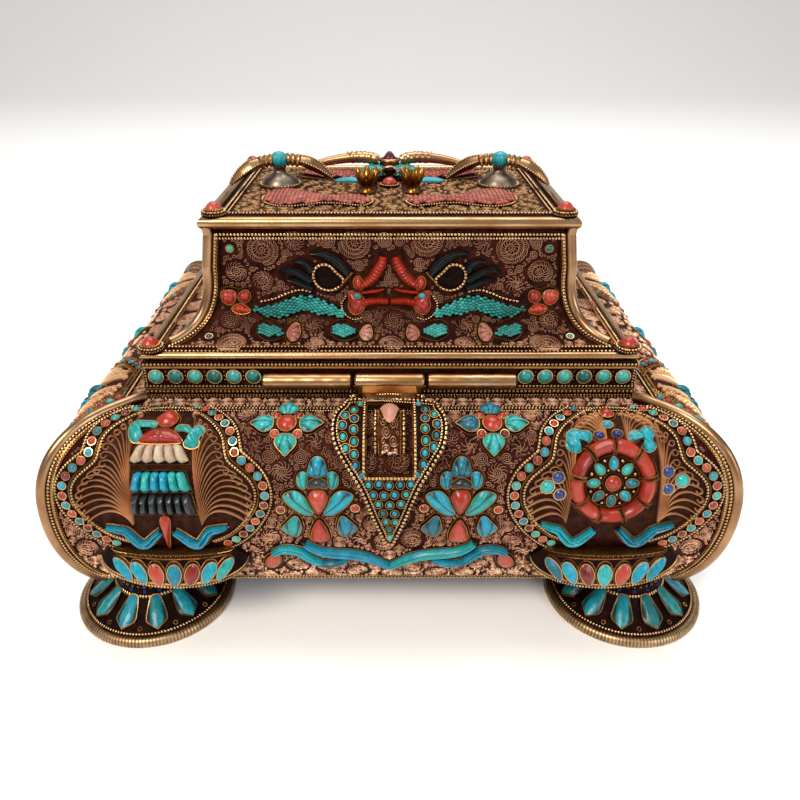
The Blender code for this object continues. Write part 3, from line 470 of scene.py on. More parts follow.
def several(shapes: Array) -> Array:
    """One path or outline, or many, as an array of many."""
    shapes = np.asarray(shapes, float)
    return shapes[None] if shapes.ndim == 2 else shapes


def inside(outline: Array, spots: Array) -> Array:
    """Whether spots are inside a closed outline: a line to the right crosses it an odd number of times."""
    start, end = outline, np.roll(outline, -1, 0)
    across, up = spots[..., 0][..., None], spots[..., 1][..., None]
    straddles = (start[:, 1] > up) != (end[:, 1] > up)
    rise = np.where(end[:, 1] == start[:, 1], 1e-9, end[:, 1] - start[:, 1])
    crossing = start[:, 0] + (up - start[:, 1]) * (end[:, 0] - start[:, 0]) / rise
    return (straddles & (across < crossing)).sum(-1) % 2 == 1


def headings(path: Array) -> Array:
    """The direction of a path at each of its points, one long."""
    run = np.gradient(path, axis=0)
    return run / np.linalg.norm(run, axis=1, keepdims=True)


def beside(path: Array, off: Array | float) -> Array:
    """A path moved to its left by off."""
    run = headings(path)
    left = np.stack([-run[:, 1], run[:, 0]], -1)
    return path + left * np.reshape(off, (-1, 1))


def mirrored(half: Points) -> Array:
    """A closed outline from its right half, which starts and ends on the middle line."""
    right = np.asarray(half, float)
    return np.concatenate([right, right[::-1][1:-1] * [-1, 1]])


class Section(Enum):
    """Shapes carried along a path, as (share of the half width, share of the height)."""

    WIRE = ((1.0, 0.0), (0.0, 1.0), (-1.0, 0.0))
    FLAT_WIRE = ((1.0, 0.0), (0.8, 1.0), (-0.8, 1.0), (-1.0, 0.0))
    ROUND = tuple(map(tuple, half_round(7)))
    REEDED = reeded(4)
    RIDGE = ((1.0, 0.0), (0.86, 0.5), (0.45, 0.86), (0.0, 1.0), (-0.45, 0.86), (-0.86, 0.5), (-1.0, 0.0))
    GROOVED = (
        (1.0, 0.0), (0.94, 0.6), (0.7, 0.94), (0.4, 0.96), (0.14, 0.8), (0.0, 0.5),
        (-0.14, 0.8), (-0.4, 0.96), (-0.7, 0.94), (-0.94, 0.6), (-1.0, 0.0),
    )

    @property
    def shape(self) -> Array:
        """The section as an array."""
        return np.array(self.value)


# A granule's rings as (spread, rise, lift), the lift giving painted shade low and a painted highlight high; one ring
# can't be told from two in the tiny ones
GRANULE = ((0.94, 0.25, 0.0), (0.72, 1.15, 0.9))
TINY_GRANULE = ((1.0, 0.55, 0.5),)
# The heights of its two poles
POLES = (-0.45, 1.6)
# The radius under which granules are tiny, on the front and on the sides that are seldom seen
FINE = 0.45
COARSE = 0.7
# How much of a stone's height is its upright wall, and the power that makes a dome flat as a plate
WALL_SHARE = 0.38
FLAT = 60.0


@dataclass
class Worker:
    """Lays shapes on one surface, into one heap; granules with a radius under tiny are the plainest."""

    heap: Heap
    surface: Surface
    tiny: float = FINE

    def strip(
        self,
        path: Array,
        half: Array | float,
        height: Array | float,
        section: Section = Section.RIDGE,
        low: float = 0.0,
        tone: Array | float = 0.5,
        looped: bool = False,
        relief: Callable[[Array, Array], Array] | None = None,
    ) -> None:
        """Carries a section along paths: point = path + left * half * across, at low + height * rise.

        Args:
            path: one path as (rows, 2), or several as (shapes, rows, 2).
            half: half the width along the path.
            height: the height along the path.
            section: the shape carried along.
            low: where it starts off the surface.
            tone: the tone of each shape.
            looped: the path closes on itself.
            relief: extra height from the share along the path and the share across it.
        """
        path = several(path)
        run = np.roll(path, -1, 1) - np.roll(path, 1, 1) if looped else np.gradient(path, axis=1)
        run = run / np.maximum(np.linalg.norm(run, axis=-1, keepdims=True), 1e-9)
        left = np.stack([-run[..., 1], run[..., 0]], -1)
        across, rise = section.shape.T
        half = np.broadcast_to(half, path.shape[:2])[..., None]
        height = np.broadcast_to(height, path.shape[:2])[..., None] * rise
        if relief:
            along = np.linspace(0, 1, path.shape[1])[:, None]
            height = height + relief(along, across) * (rise > 0.05)
        spot = path[:, :, None] + left[:, :, None] * (half * across)[..., None]
        points = self.surface.place(spot[..., 0], spot[..., 1], low + height)
        # The section's rise is the lift: painted shade at each strip's foot and a painted highlight along its top.
        self.heap.skins(points, tone, np.broadcast_to(rise, points.shape[:3]), looped=looped)

    def balls(self, spots: Array | Points, radius: Array | float, low: float = 0.0, tone: Array | float = 0.5) -> None:
        """Granules of six sides, sunk by a third: rings between two poles, spot + radius (x, y, z)."""
        spots = np.atleast_2d(np.asarray(spots, float))
        rings = TINY_GRANULE if float(np.max(radius)) < self.tiny else GRANULE
        spread, rise, lift = np.array(rings).T
        size = np.reshape(radius, (-1, 1, 1, 1)) * np.ones((len(spots), 1, 1, 1))
        flat = spots[:, None, None] + size * on_circle(full_turn(6)) * spread[:, None, None]
        high = low + size[..., 0] * rise[:, None]
        rows = self.surface.place(flat[..., 0], flat[..., 1], np.broadcast_to(high, flat.shape[:-1]))
        pole = low + size[:, 0, 0] * np.array(POLES)
        ends = self.surface.place(spots[:, None, 0], spots[:, None, 1], pole)
        self.heap.skins(rows, tone, lift[:, None], ends)

    def granules(
        self, path: Array, radius: float, low: float = 0.0, closed: bool = False, pitch: float = LOOSE
    ) -> None:
        """A beaded wire: granules along a path, spaced by pitch times their radius."""
        self.balls(by_pitch(path, radius * pitch, closed), radius, low)

    def ring(
        self, spot: Array | tuple[float, float], radius: float, sides: int, bead: float, low: float,
        pitch: float = LOOSE,
    ) -> None:
        """A beaded wire round a circle of so many sides."""
        self.granules(circle(spot, radius, sides)[0], bead, low, True, pitch)

    def edges(self, path: Array, off: Array | float, bead: float, low: float) -> None:
        """Beaded wires along both sides of a path, moved off it to each side."""
        for way in WAYS:
            self.granules(beside(path, way * off), bead, low)

    def stones(
        self,
        outlines: Array,
        height: Array | float,
        low: Array | float = 0.0,
        tone: Array | float = 0.5,
        carve: Callable[[Array, Array], Array] | None = None,
        rings: int = 4,
        dome: float = 2.2,
    ) -> None:
        """Domed stones: rings of the outline drawn in to its middle, at height * (wall + (1 - r^dome)).

        Args:
            outlines: closed outlines as (points, 2) or (stones, points, 2).
            height: the height of each stone.
            low: where it starts off the surface.
            tone: the tone of each stone.
            carve: depth taken off from the offsets from the middle, across and up, in millimetres.
            rings: how many rings the dome has.
            dome: how flat its top is; 2 is round.
        """
        outlines = several(outlines)
        middle = outlines.mean(1, keepdims=True)
        share = np.concatenate([[1.0, 1.0], 1 - 0.92 * (np.arange(1, rings + 1) / (rings + 0.4)) ** 1.25])
        rise = np.concatenate([[0.0, WALL_SHARE], WALL_SHARE + (1 - WALL_SHARE) * (1 - share[2:] ** dome)])
        flat = middle[:, None] + (outlines - middle)[:, None] * share[:, None, None]
        size = np.reshape(height, (-1, 1, 1))
        high = np.broadcast_to(rise[None, :, None] * size, flat.shape[:-1]).copy()
        lift = np.broadcast_to(rise[None, :, None], high.shape).copy()
        if carve:
            offset = flat - middle[:, None]
            depth = carve(offset[..., 0], offset[..., 1])
            high[:, 2:] -= depth[:, 2:]
            high[:, 1:] = np.maximum(high[:, 1:], 0.12 * size)
            # Carved cuts lower the lift, so painted shade fills them.
            lift[:, 2:] = np.clip(lift - 1.9 * depth, 0, 1)[:, 2:]
        low = np.reshape(low, (-1, 1, 1))
        points = self.surface.place(flat[..., 0], flat[..., 1], low + high)
        top = high[:, -1].mean(-1)
        poles = low[:, 0] + np.stack([np.zeros_like(top), top], -1)
        ends = self.surface.place(middle[..., 0], middle[..., 1], poles)
        self.heap.skins(points, tone, lift, ends)

    def collets(self, outlines: Array, width: float = 0.35, height: float = 0.9, low: float = 0.0) -> None:
        """Thin upright rims round stones: a roof section carried round the grown outline."""
        self.strip(grown(several(outlines), width * 0.7), width, height, Section.FLAT_WIRE, low, looped=True)

    def plate(self, outline: Array, height: float) -> None:
        """A flat plate over an outline, with rings enough to follow the surface."""
        self.stones(outline, height, rings=5, dome=FLAT)


# ------------------------------------------------------------------ finishes


def linear(colour: str) -> tuple[float, float, float, float]:
    """An sRGB hex colour as linear red, green, blue and alpha."""
    parts = np.array([int(colour[index : index + 2], 16) for index in (1, 3, 5)]) / 255
    flat = np.where(parts <= 0.04045, parts / 12.92, ((parts + 0.055) / 1.055) ** 2.4)
    return (*flat.tolist(), 1.0)


def plug(tree: bpy.types.NodeTree, node: bpy.types.Node, inputs: dict) -> None:
    """Gives a node's inputs their values, or links them to other nodes' outputs."""
    for key, value in inputs.items():
        if isinstance(value, bpy.types.NodeSocket):
            tree.links.new(value, node.inputs[key])
        else:
            node.inputs[key].default_value = value


def add_node(
    tree: bpy.types.NodeTree,
    kind: str,
    inputs: dict | None = None,
    stops: Sequence[tuple[float, str]] = (),
    **settings: object,
) -> bpy.types.Node:
    """Adds a shader node.

    Args:
        tree: the material's node tree.
        kind: the node's type, without its ShaderNode prefix.
        inputs: a value or another node's output for each input.
        stops: for a colour ramp, its places and hex colours.
        settings: the node's own settings.

    Returns:
        The new node.
    """
    made = tree.nodes.new("ShaderNode" + kind)
    for key, value in settings.items():
        setattr(made, key, value)
    plug(tree, made, inputs or {})
    for index, (place, colour) in enumerate(stops):
        ramp = made.color_ramp.elements
        stop = ramp[index] if index < len(ramp) else ramp.new(place)
        stop.position = place
        stop.color = linear(colour)
    return made


class Finish:
    """What a piece is made of. Each makes its material once."""

    name: str
    slot: str

    def material(self) -> bpy.types.Material:
        """The finish's material."""
        found = bpy.data.materials.get(self.name)
        if found:
            return found
        made = bpy.data.materials.new(self.name)
        made.use_nodes = True
        self.dress(made.node_tree, made.node_tree.nodes["Principled BSDF"])
        return made

    def dress(self, tree: bpy.types.NodeTree, shader: bpy.types.Node) -> None:
        """Adds the nodes of this finish."""
        raise NotImplementedError


# Painted shade at the foot of a stone, where it meets its rim
FOOT_SHADE = "#1c0f0a"


def per_metre(millimetres: float) -> float:
    """The scale of a texture whose features are this many millimetres across."""
    return 1.0 / (millimetres * MM)


@dataclass(frozen=True)
class Metal(Finish):
    """Worked metal, dark in the hollows and bright on the high places: painted shade and painted highlight, along with
    its tarnish and polish.

    Args:
        name: the metal and how it was worked.
        hollow, face, high: colours from the hollows up to the high edges; the lift runs them from painted shade to
            painted highlight.
        roughness: its polish.
        patch: how wide the patches of tarnish are, in millimetres.
        grain: how wide the hammering or drawing marks are, in millimetres.
        depth: how deep those marks are, in millimetres.
        shine: how metallic it is; old wire under dirt and wax is a little less than 1.
        slot: the record's material slot.
    """

    name: str
    hollow: str
    face: str
    high: str
    roughness: float = 0.3
    patch: float = 5.0
    grain: float = 0.8
    depth: float = 0.03
    shine: float = 1.0
    slot: str = "gilt"

    def dress(self, tree: bpy.types.NodeTree, shader: bpy.types.Node) -> None:
        """Lift plus noise drives the colour, from painted shade low to painted highlight high, and the roughness; fine
        noise makes the marks.
        """
        place = add_node(tree, "TexCoord").outputs["Object"]
        lift = add_node(tree, "Attribute", attribute_name="lift").outputs["Fac"]
        patch = add_node(tree, "TexNoise", {"Vector": place, "Scale": per_metre(self.patch), "Detail": 4.0})
        worn = add_node(tree, "Math", {0: patch.outputs["Fac"], 1: 0.9, 2: -0.45}, operation="MULTIPLY_ADD")
        level = add_node(tree, "Math", {0: lift, 1: worn.outputs[0]}, operation="ADD", use_clamp=True)
        stops = ((0.08, self.hollow), (0.55, self.face), (0.95, self.high))
        colour = add_node(tree, "ValToRGB", {"Fac": level.outputs[0]}, stops)
        dull = {"Value": level.outputs[0], "To Min": self.roughness + 0.25, "To Max": self.roughness - 0.04}
        rough = add_node(tree, "MapRange", dull)
        grain = add_node(tree, "TexNoise", {"Vector": place, "Scale": per_metre(self.grain), "Detail": 3.0})
        bump = add_node(tree, "Bump", {"Height": grain.outputs["Fac"], "Distance": self.depth * MM, "Strength": 0.6})
        looks = {"Metallic": self.shine, "Base Color": colour.outputs["Color"]}
        plug(tree, shader, looks | {"Roughness": rough.outputs["Result"], "Normal": bump.outputs["Normal"]})


@dataclass(frozen=True)
class Stone(Finish):
    """A cut and polished stone, each one a little different, with veins and painted shade at its foot.

    Args:
        name: the stone and how it is cut.
        shades: colours that the stones vary between.
        vein: colour of the veins.
        veins: how much of the stone they take, from 0 to 1.
        cell: how far apart the veins are, in millimetres.
        roughness: its polish.
        coat: how wet its polish looks.
        slot: the record's material slot.
    """

    name: str
    shades: tuple[str, ...]
    vein: str
    veins: float = 0.25
    cell: float = 3.0
    roughness: float = 0.32
    coat: float = 0.25
    slot: str = "turquoise"

    def dress(self, tree: bpy.types.NodeTree, shader: bpy.types.Node) -> None:
        """Tone and cloudy noise pick the colour, cracked cells draw the veins, and painted shade darkens the foot where
        lift is low.
        """
        place = add_node(tree, "TexCoord").outputs["Object"]
        tone = add_node(tree, "Attribute", attribute_name="tone").outputs["Fac"]
        lift = add_node(tree, "Attribute", attribute_name="lift").outputs["Fac"]
        cloud = add_node(tree, "TexNoise", {"Vector": place, "Scale": per_metre(self.cell * 0.9), "Detail": 4.0})
        soft = add_node(tree, "Math", {0: cloud.outputs["Fac"], 1: 0.7, 2: -0.35}, operation="MULTIPLY_ADD")
        shade = add_node(tree, "Math", {0: tone, 1: soft.outputs[0]}, operation="ADD", use_clamp=True)
        places = np.linspace(0.1, 0.9, len(self.shades)).tolist()
        base = add_node(tree, "ValToRGB", {"Fac": shade.outputs[0]}, tuple(zip(places, self.shades)))
        warp = add_node(tree, "TexNoise", {"Vector": place, "Scale": per_metre(self.cell * 0.5), "Detail": 2.0})
        bent = add_node(tree, "VectorMath", {0: warp.outputs["Color"], "Scale": self.cell * MM}, operation="SCALE")
        moved = add_node(tree, "VectorMath", {0: place, 1: bent.outputs[0]}, operation="ADD")
        crack = {"Vector": moved.outputs[0], "Scale": per_metre(self.cell)}
        cells = add_node(tree, "TexVoronoi", crack, feature="DISTANCE_TO_EDGE")
        thin = {"Value": cells.outputs["Distance"], "From Max": 0.02 + 0.1 * self.veins, "To Min": 1.0, "To Max": 0.0}
        line = add_node(tree, "MapRange", thin)
        strong = add_node(tree, "Math", {0: line.outputs["Result"], 1: cloud.outputs["Fac"]}, operation="MULTIPLY")
        amount = add_node(
            tree, "Math", {0: strong.outputs[0], 1: 3.0 * self.veins}, operation="MULTIPLY", use_clamp=True
        )
        shades = {0: amount.outputs[0], 6: base.outputs["Color"], 7: linear(self.vein)}
        veined = add_node(tree, "Mix", shades, data_type="RGBA")
        # Painted shade: the stone darkens towards its foot, where lift is under 0.4.
        foot_shade = add_node(tree, "MapRange", {"Value": lift, "From Max": 0.4, "To Min": 0.85, "To Max": 0.0})
        shades = {0: foot_shade.outputs["Result"], 6: veined.outputs[2], 7: linear(FOOT_SHADE)}
        foot = add_node(tree, "Mix", shades, data_type="RGBA")
        sunk = add_node(tree, "Math", {0: line.outputs["Result"], 1: -1.0}, operation="MULTIPLY")
        bump = add_node(tree, "Bump", {"Height": sunk.outputs[0], "Distance": 0.04 * MM, "Strength": 0.5})
        polish = {"Roughness": self.roughness, "Specular IOR Level": 0.32}
        coat = {"Coat Weight": self.coat, "Coat Roughness": 0.18}
        plug(tree, shader, polish | coat | {"Base Color": foot.outputs[2], "Normal": bump.outputs["Normal"]})


@dataclass(frozen=True)
class Ground(Finish):
    """Sheet copper under the wirework, browned by age: mottled and nearly matt.

    Args:
        name: the metal and its state.
        dark, warm: the two colours that it is mottled with.
        patch: how wide the mottling is, in millimetres.
        pit: how wide its pits are, in millimetres.
        slot: the record's material slot.
    """

    name: str
    dark: str
    warm: str
    patch: float = 2.5
    pit: float = 0.6
    slot: str = "filigree"

    def dress(self, tree: bpy.types.NodeTree, shader: bpy.types.Node) -> None:
        """Two noises mix the colours and pit the surface."""
        place = add_node(tree, "TexCoord").outputs["Object"]
        patch = add_node(tree, "TexNoise", {"Vector": place, "Scale": per_metre(self.patch), "Detail": 5.0})
        stops = ((0.35, self.dark), (0.72, self.warm))
        colour = add_node(tree, "ValToRGB", {"Fac": patch.outputs["Fac"]}, stops)
        pits = add_node(tree, "TexNoise", {"Vector": place, "Scale": per_metre(self.pit), "Detail": 3.0})
        bump = add_node(tree, "Bump", {"Height": pits.outputs["Fac"], "Distance": 0.1 * MM, "Strength": 0.8})
        looks = {"Metallic": 0.9, "Roughness": 0.62, "Base Color": colour.outputs["Color"]}
        plug(tree, shader, looks | {"Normal": bump.outputs["Normal"]})


# Corner tube: older, browner gilding with worn bright streaks, darker than the rails
CORNER_TUBE = Metal("aged_gilt_corner_tube", "#38200f", "#71492d", "#a4815f", 0.3, 11.0, 2.2, 0.05)
# Smooth gilt tube: rubbed bright by hands, so pale gold with soft reflections and brown dents
GILT_TUBE = Metal("gilt_brass_tube", "#44250c", "#8b5f34", "#b08d68", 0.27, 11.0, 2.2, 0.05)
# Granulated gilt wire: brighter on top of each bead as painted highlight, brown between them as painted shade
GILT_BEAD = Metal("granulated_gilt_wire", "#150803", "#895e33", "#c8a578", 0.3, 6.0, 0.7, 0.02)
# Dull gilt strip: a warm brass that keeps its tarnish
GILT_STRIP = Metal("tarnished_gilt_strip", "#190a05", "#5c3718", "#9a6f3d", 0.4, 4.0, 0.7, 0.05)
# Reeded rims of the feet: brass gone grey with handling
GREY_GILT = Metal("greyed_gilt_rim", "#140b07", "#765b3f", "#b89b76", 0.4, 5.0, 0.7, 0.03)
# Fine twisted wire: a pinkish bronze, as its gilding has worn off
FILIGREE_WIRE = Metal("bronze_filigree_wire", "#5a3024", "#b98468", "#e8c4a4", 0.45, 8.0, 0.6, 0.02, 0.6, "filigree")
# The same wire on the top, where more of its brown gilding is left
TOP_WIRE = Metal("olive_gilt_filigree_wire", "#402614", "#855c37", "#b59069", 0.42, 8.0, 0.6, 0.02, 0.7, "filigree")
# Longer wires in the medallions, less worn: dusty rose gold
FAN_WIRE = Metal("rose_gilt_wire", "#5c3420", "#cc9569", "#efcda2", 0.38, 9.0, 0.6, 0.02, 0.75, "filigree")
# Cast silver: grey and soft
SILVER = Metal("cast_silver", "#201813", "#716356", "#ae9d8a", 0.33, 3.0, 0.7, 0.03)
# Lacquered brass claws: amber where the lacquer is thick
AMBER_BRASS = Metal("lacquered_brass_claw", "#331703", "#7e4d0c", "#a87533", 0.25, 3.0, 1.2, 0.02)
# Copper leaf behind the hasp: rubbed to a clean orange
COPPER = Metal("rubbed_copper_leaf", "#461904", "#8f481c", "#b57540", 0.3, 6.0, 1.0, 0.04)
# Copper sheet under the curls: a dark red brown, mottled and nearly matt
GROUND = Ground("browned_copper_sheet", "#1c0704", "#471a0f")
# The same sheet behind the long wires, where it was cleaned: warm brown
WARM_GROUND = Ground("warm_copper_sheet", "#250e07", "#42200f")
# Near-black copper sheet: in recesses and behind stones it is painted shade; on the feet's cones it is their own dark
# copper
DEEP = Ground("blackened_copper_recess", "#0c0404", "#24100b")
# Turquoise: sky blue to green blue, waxy, with dark matrix in its cracks
TURQUOISE = Stone(
    "waxed_turquoise", ("#055765", "#067790", "#0b8fa8", "#14867f", "#29a09d"), "#061517", 0.3, 3.2, 0.34, 0.25
)
# Turquoise chips: greener, small and set close together
CHIPS = Stone(
    "greened_turquoise_chips", ("#074541", "#0c5e58", "#14716a", "#1c827c", "#3a958c"), "#051311", 0.2, 1.8, 0.36, 0.25
)
# Petals of the feet: teal turquoise with soot in its cracks
TEAL = Stone("sooted_turquoise_petal", ("#075c62", "#0b7a83", "#128da4", "#0d7468"), "#010a0d", 0.3, 3.2, 0.38, 0.2)
# Coral: orange red, polished, nearly without veins
CORAL = Stone(
    "polished_coral", ("#520903", "#7f190b", "#9b2812", "#a4412b"), "#2a0403", 0.14, 2.6, 0.28, 0.35, "coral"
)
# Faded coral: brownish pink where it has dried out
PINK_CORAL = Stone(
    "faded_pink_coral", ("#6f3329", "#874639", "#9b6050", "#ab7a68"), "#3a140d", 0.2, 1.6, 0.42, 0.1, "coral"
)
# Coral scales on the top: a paler brown red, dull
SCALE_CORAL = Stone(
    "carved_coral_scale", ("#641e0f", "#7b2915", "#8d371f", "#99492f"), "#2b0402", 0.14, 2.0, 0.36, 0.2, "coral"
)
# Garnet: dark wine red, glassy
GARNET = Stone("cut_garnet", ("#2c060c", "#5a1420"), "#12030a", 0.05, 3.0, 0.12, 0.6, "coral")
# Lapis: deep blue with pale flecks
LAPIS = Stone("polished_lapis", ("#0e1640", "#162761", "#203a72"), "#4e597d", 0.1, 1.6, 0.28, 0.3)
# Onyx: near black with a soft shine
ONYX = Stone("polished_onyx", ("#0c0e10", "#171b1d", "#262d2f"), "#3c4442", 0.08, 4.0, 0.3, 0.3, "bone")
# Bone: cream, stained brown in its grain
BONE = Stone("carved_bone", ("#a58970", "#b49c84", "#bfac97"), "#583221", 0.25, 1.6, 0.42, 0.1, "bone")


class Bench:
    """One heap for each finish on one part of the box, all laid on the same surface."""

    def __init__(self, name: str, surface: Surface, body: str = "casket", tiny: float = FINE) -> None:
        """Sets up an empty bench, whose random draws are seeded by its name.

        Args:
            name: the start of its pieces' names.
            surface: what its drawings are laid on.
            body: the CAD body that its pieces ride on.
            tiny: the radius under which granules are the plainest.
        """
        self.name = name
        self.surface = surface
        self.body = body
        self.tiny = tiny
        self.heaps: dict[Finish, Heap] = {}
        self.replaced: dict[Finish, list[str]] = {}
        self.placed: list[Array] = []
        self.rng = np.random.default_rng(sum(map(ord, name)))

    def of(self, finish: Finish, surface: Surface | None = None) -> Worker:
        """The worker for a finish, on this bench's surface or on another."""
        return Worker(self.heaps.setdefault(finish, Heap()), surface or self.surface, self.tiny)

    def tones(self, count: int, low: float = 0.05, high: float = 0.95) -> Array:
        """Random tones for stones."""
        return self.rng.uniform(low, high, count)

    def stands_for(self, finish: Finish, *nodes: str) -> None:
        """The pieces of this finish stand for these CAD nodes."""
        self.replaced.setdefault(finish, []).extend(nodes)

    def finish(self) -> None:
        """Makes a piece of each heap."""
        for finish, heap in self.heaps.items():
            if not heap.points:
                continue
            name = f"{self.name}_{finish.name}"
            nodes = self.replaced.get(finish, [])
            heap.piece(name, finish, finish.slot, self.body, nodes)

    def skin(
        self, finish: Finish, rows: Array, lift: Array | float, looped: bool = False, tone: float = 0.5
    ) -> None:
        """One closed skin through loops of points in space, (rows, columns, 3)."""
        self.of(finish).heap.skins(rows[None], tone, lift, looped=looped)

    def cabochons(self, spots: Array | Points, radius: float, finish: Stone, low: float = 0.0) -> None:
        """Round stones in thin rims."""
        rings = circle(spots, radius, 12)
        self.of(finish).stones(rings, radius * 0.85, low + 0.25, self.tones(len(rings)), rings=3)
        rim = 0.1 + radius * 0.05
        self.of(GILT_BEAD).collets(circle(spots, radius * 1.08, 14), rim, radius * 0.42, low)

    def paved(
        self, outline: Array, height: float, finish: Stone, pitch: float, turn: float = 0.0, low: float = 0.3,
        beads: float = 0.34, tone: tuple[float, float] = (0.1, 0.9),
    ) -> None:
        """Chips set close together over a low mound, in rows that overlap like scales.

        Each chip stands at height * sqrt(1 - (1 - gap / widest gap)^2), where gap is its distance to the edge.

        Args:
            outline: the mound's outline.
            height: its height in the middle.
            finish: the chips' stone.
            pitch: how far apart they are.
            turn: the direction that they point in.
            low: where the mound starts off the surface.
            beads: the radius of the granules round it, or 0 for none.
            tone: the lowest and highest tone of the chips.
        """
        # The near-black mound under the chips is painted shade between them.
        self.of(DEEP).stones(outline, height * 0.8, low - 0.2, rings=6, dome=2.0)
        reach = int(np.ptp(outline, axis=0).max() / pitch) + 2
        row, column = np.meshgrid(np.arange(-reach, reach + 1), np.arange(-reach, reach + 1), indexing="ij")
        grid = np.stack([row * 0.8, column + 0.5 * (row % 2)], -1).reshape(-1, 2) * pitch
        spots = turned_about(grid, turn) + outline.mean(0)
        dense = by_pitch(outline, 0.4, True)
        gap = np.linalg.norm(spots[:, None] - dense[None], axis=-1).min(1)
        fits = inside(outline, spots) & (gap > pitch * 0.42)
        spots, gap = spots[fits], gap[fits]
        rise = height * np.sqrt(1 - (1 - gap / gap.max()) ** 2)
        chip = np.array([(0.82, 0.0), (0.38, 0.5), (-0.42, 0.5), (-0.6, 0.0), (-0.42, -0.5), (0.38, -0.5)])
        shapes = spots[:, None] + turned_about(chip * pitch, turn)
        self.of(finish).stones(shapes, pitch * 0.55, low + rise * 0.8, self.tones(len(spots), *tone), rings=2)
        if beads:
            self.of(GILT_BEAD).granules(grown(outline, beads * 0.6), beads, low, closed=True)

    def set_stone(
        self,
        outline: Array,
        height: float,
        finish: Stone,
        low: float = 0.0,
        tone: float | None = None,
        carve: Callable[[Array, Array], Array] | None = None,
        beads: float = 0.0,
    ) -> None:
        """A stone of any outline in its rim, with granules round it when beads gives their radius."""
        self.placed.append(outline)
        tone = float(self.tones(1)[0]) if tone is None else tone
        fine = evenly(outline, 48) if carve else outline
        self.of(finish).stones(fine, height, low, tone, carve, rings=9 if carve else 6)
        self.of(GILT_STRIP).collets(outline, 0.15, min(height * 0.4, 0.9), low)
        if beads:
            self.of(GILT_BEAD).granules(grown(outline, 0.55 + beads), beads, low, closed=True)


# ------------------------------------------------------------------ filigree


class CurlField:
    """Fills the free ground of a panel with wire curls, the largest that fit first.

    Distance is kept on a grid: each cell holds how far it is from the nearest thing in the way.
    """

    CELL = 0.3
    TRIES = 90000

    def __init__(self, low: tuple[float, float], high: tuple[float, float], reach: float, seed: int) -> None:
        """Sets up a field with nothing in the way.

        Args:
            low, high: two corners of the ground.
            reach: the farthest distance that is kept.
            seed: for the order in which free cells are tried.
        """
        self.low = np.array(low)
        self.size = np.ceil((np.array(high) - low) / self.CELL).astype(int) + 1
        self.across = low[0] + np.arange(self.size[0]) * self.CELL
        self.up = low[1] + np.arange(self.size[1]) * self.CELL
        self.free = np.full(self.size, reach)
        self.rng = np.random.default_rng(seed)

    def keep_off(self, path: Array, margin: Array | float) -> None:
        """Bars the ground within a margin of a path."""
        spots = by_pitch(np.asarray(path, float), 1.0)
        margins = np.broadcast_to(margin, len(path))
        along = np.linspace(0, len(path) - 1, len(spots))
        for spot, far in zip(spots, np.interp(along, np.arange(len(path)), margins)):
            self._near(spot, far)

    def keep_round(self, spot: tuple[float, float], margin: float, step: tuple[float, float] = (0.01, 0.0)) -> None:
        """Bars the ground round a place, taken as a path too short to see."""
        self.keep_off(np.array([spot, np.add(spot, step)]), margin)

    def keep_out(self, outline: Array, margin: float = 0.3) -> None:
        """Bars the ground inside an outline and within a margin of it."""
        outline = np.asarray(outline, float)
        first = np.maximum(((outline.min(0) - self.low) / self.CELL).astype(int), 0)
        last = np.minimum(((outline.max(0) - self.low) / self.CELL).astype(int) + 2, self.size)
        if (first < last).all():
            columns, rows = slice(first[0], last[0]), slice(first[1], last[1])
            spots = np.stack(np.meshgrid(self.across[columns], self.up[rows], indexing="ij"), -1)
            barred = inside(outline, spots.reshape(-1, 2)).reshape(spots.shape[:2])
            self.free[columns, rows][barred] = -1.0
        self.keep_off(np.concatenate([outline, outline[:1]]), margin)

    def _near(self, spot: Array, far: float) -> None:
        """Lowers the free distance round one disc."""
        reach = float(self.free.max()) + far
        first = np.maximum(((spot - reach - self.low) / self.CELL).astype(int), 0)
        last = np.minimum(((spot + reach - self.low) / self.CELL).astype(int) + 2, self.size)
        if (first >= last).any():
            return
        window = self.free[first[0] : last[0], first[1] : last[1]]
        across = self.across[first[0] : last[0], None] - spot[0]
        up = self.up[None, first[1] : last[1]] - spot[1]
        np.minimum(window, np.hypot(across, up) - far, out=window)

    def fill(self, radii: Sequence[float]) -> Array:
        """Packs circles, each radius in turn from the largest, at shuffled free cells.

        Returns:
            Rows of across, up and radius.
        """
        found = []
        for radius in radii:
            cells = np.argwhere(self.free >= radius)
            cells = cells[self.rng.permutation(len(cells))[: self.TRIES]]
            for column, row in cells:
                if self.free[column, row] < radius:
                    continue
                spot = np.array([self.across[column], self.up[row]])
                found.append((*spot, radius))
                self._near(spot, radius * 0.93)
        return np.array(found).reshape(-1, 3)


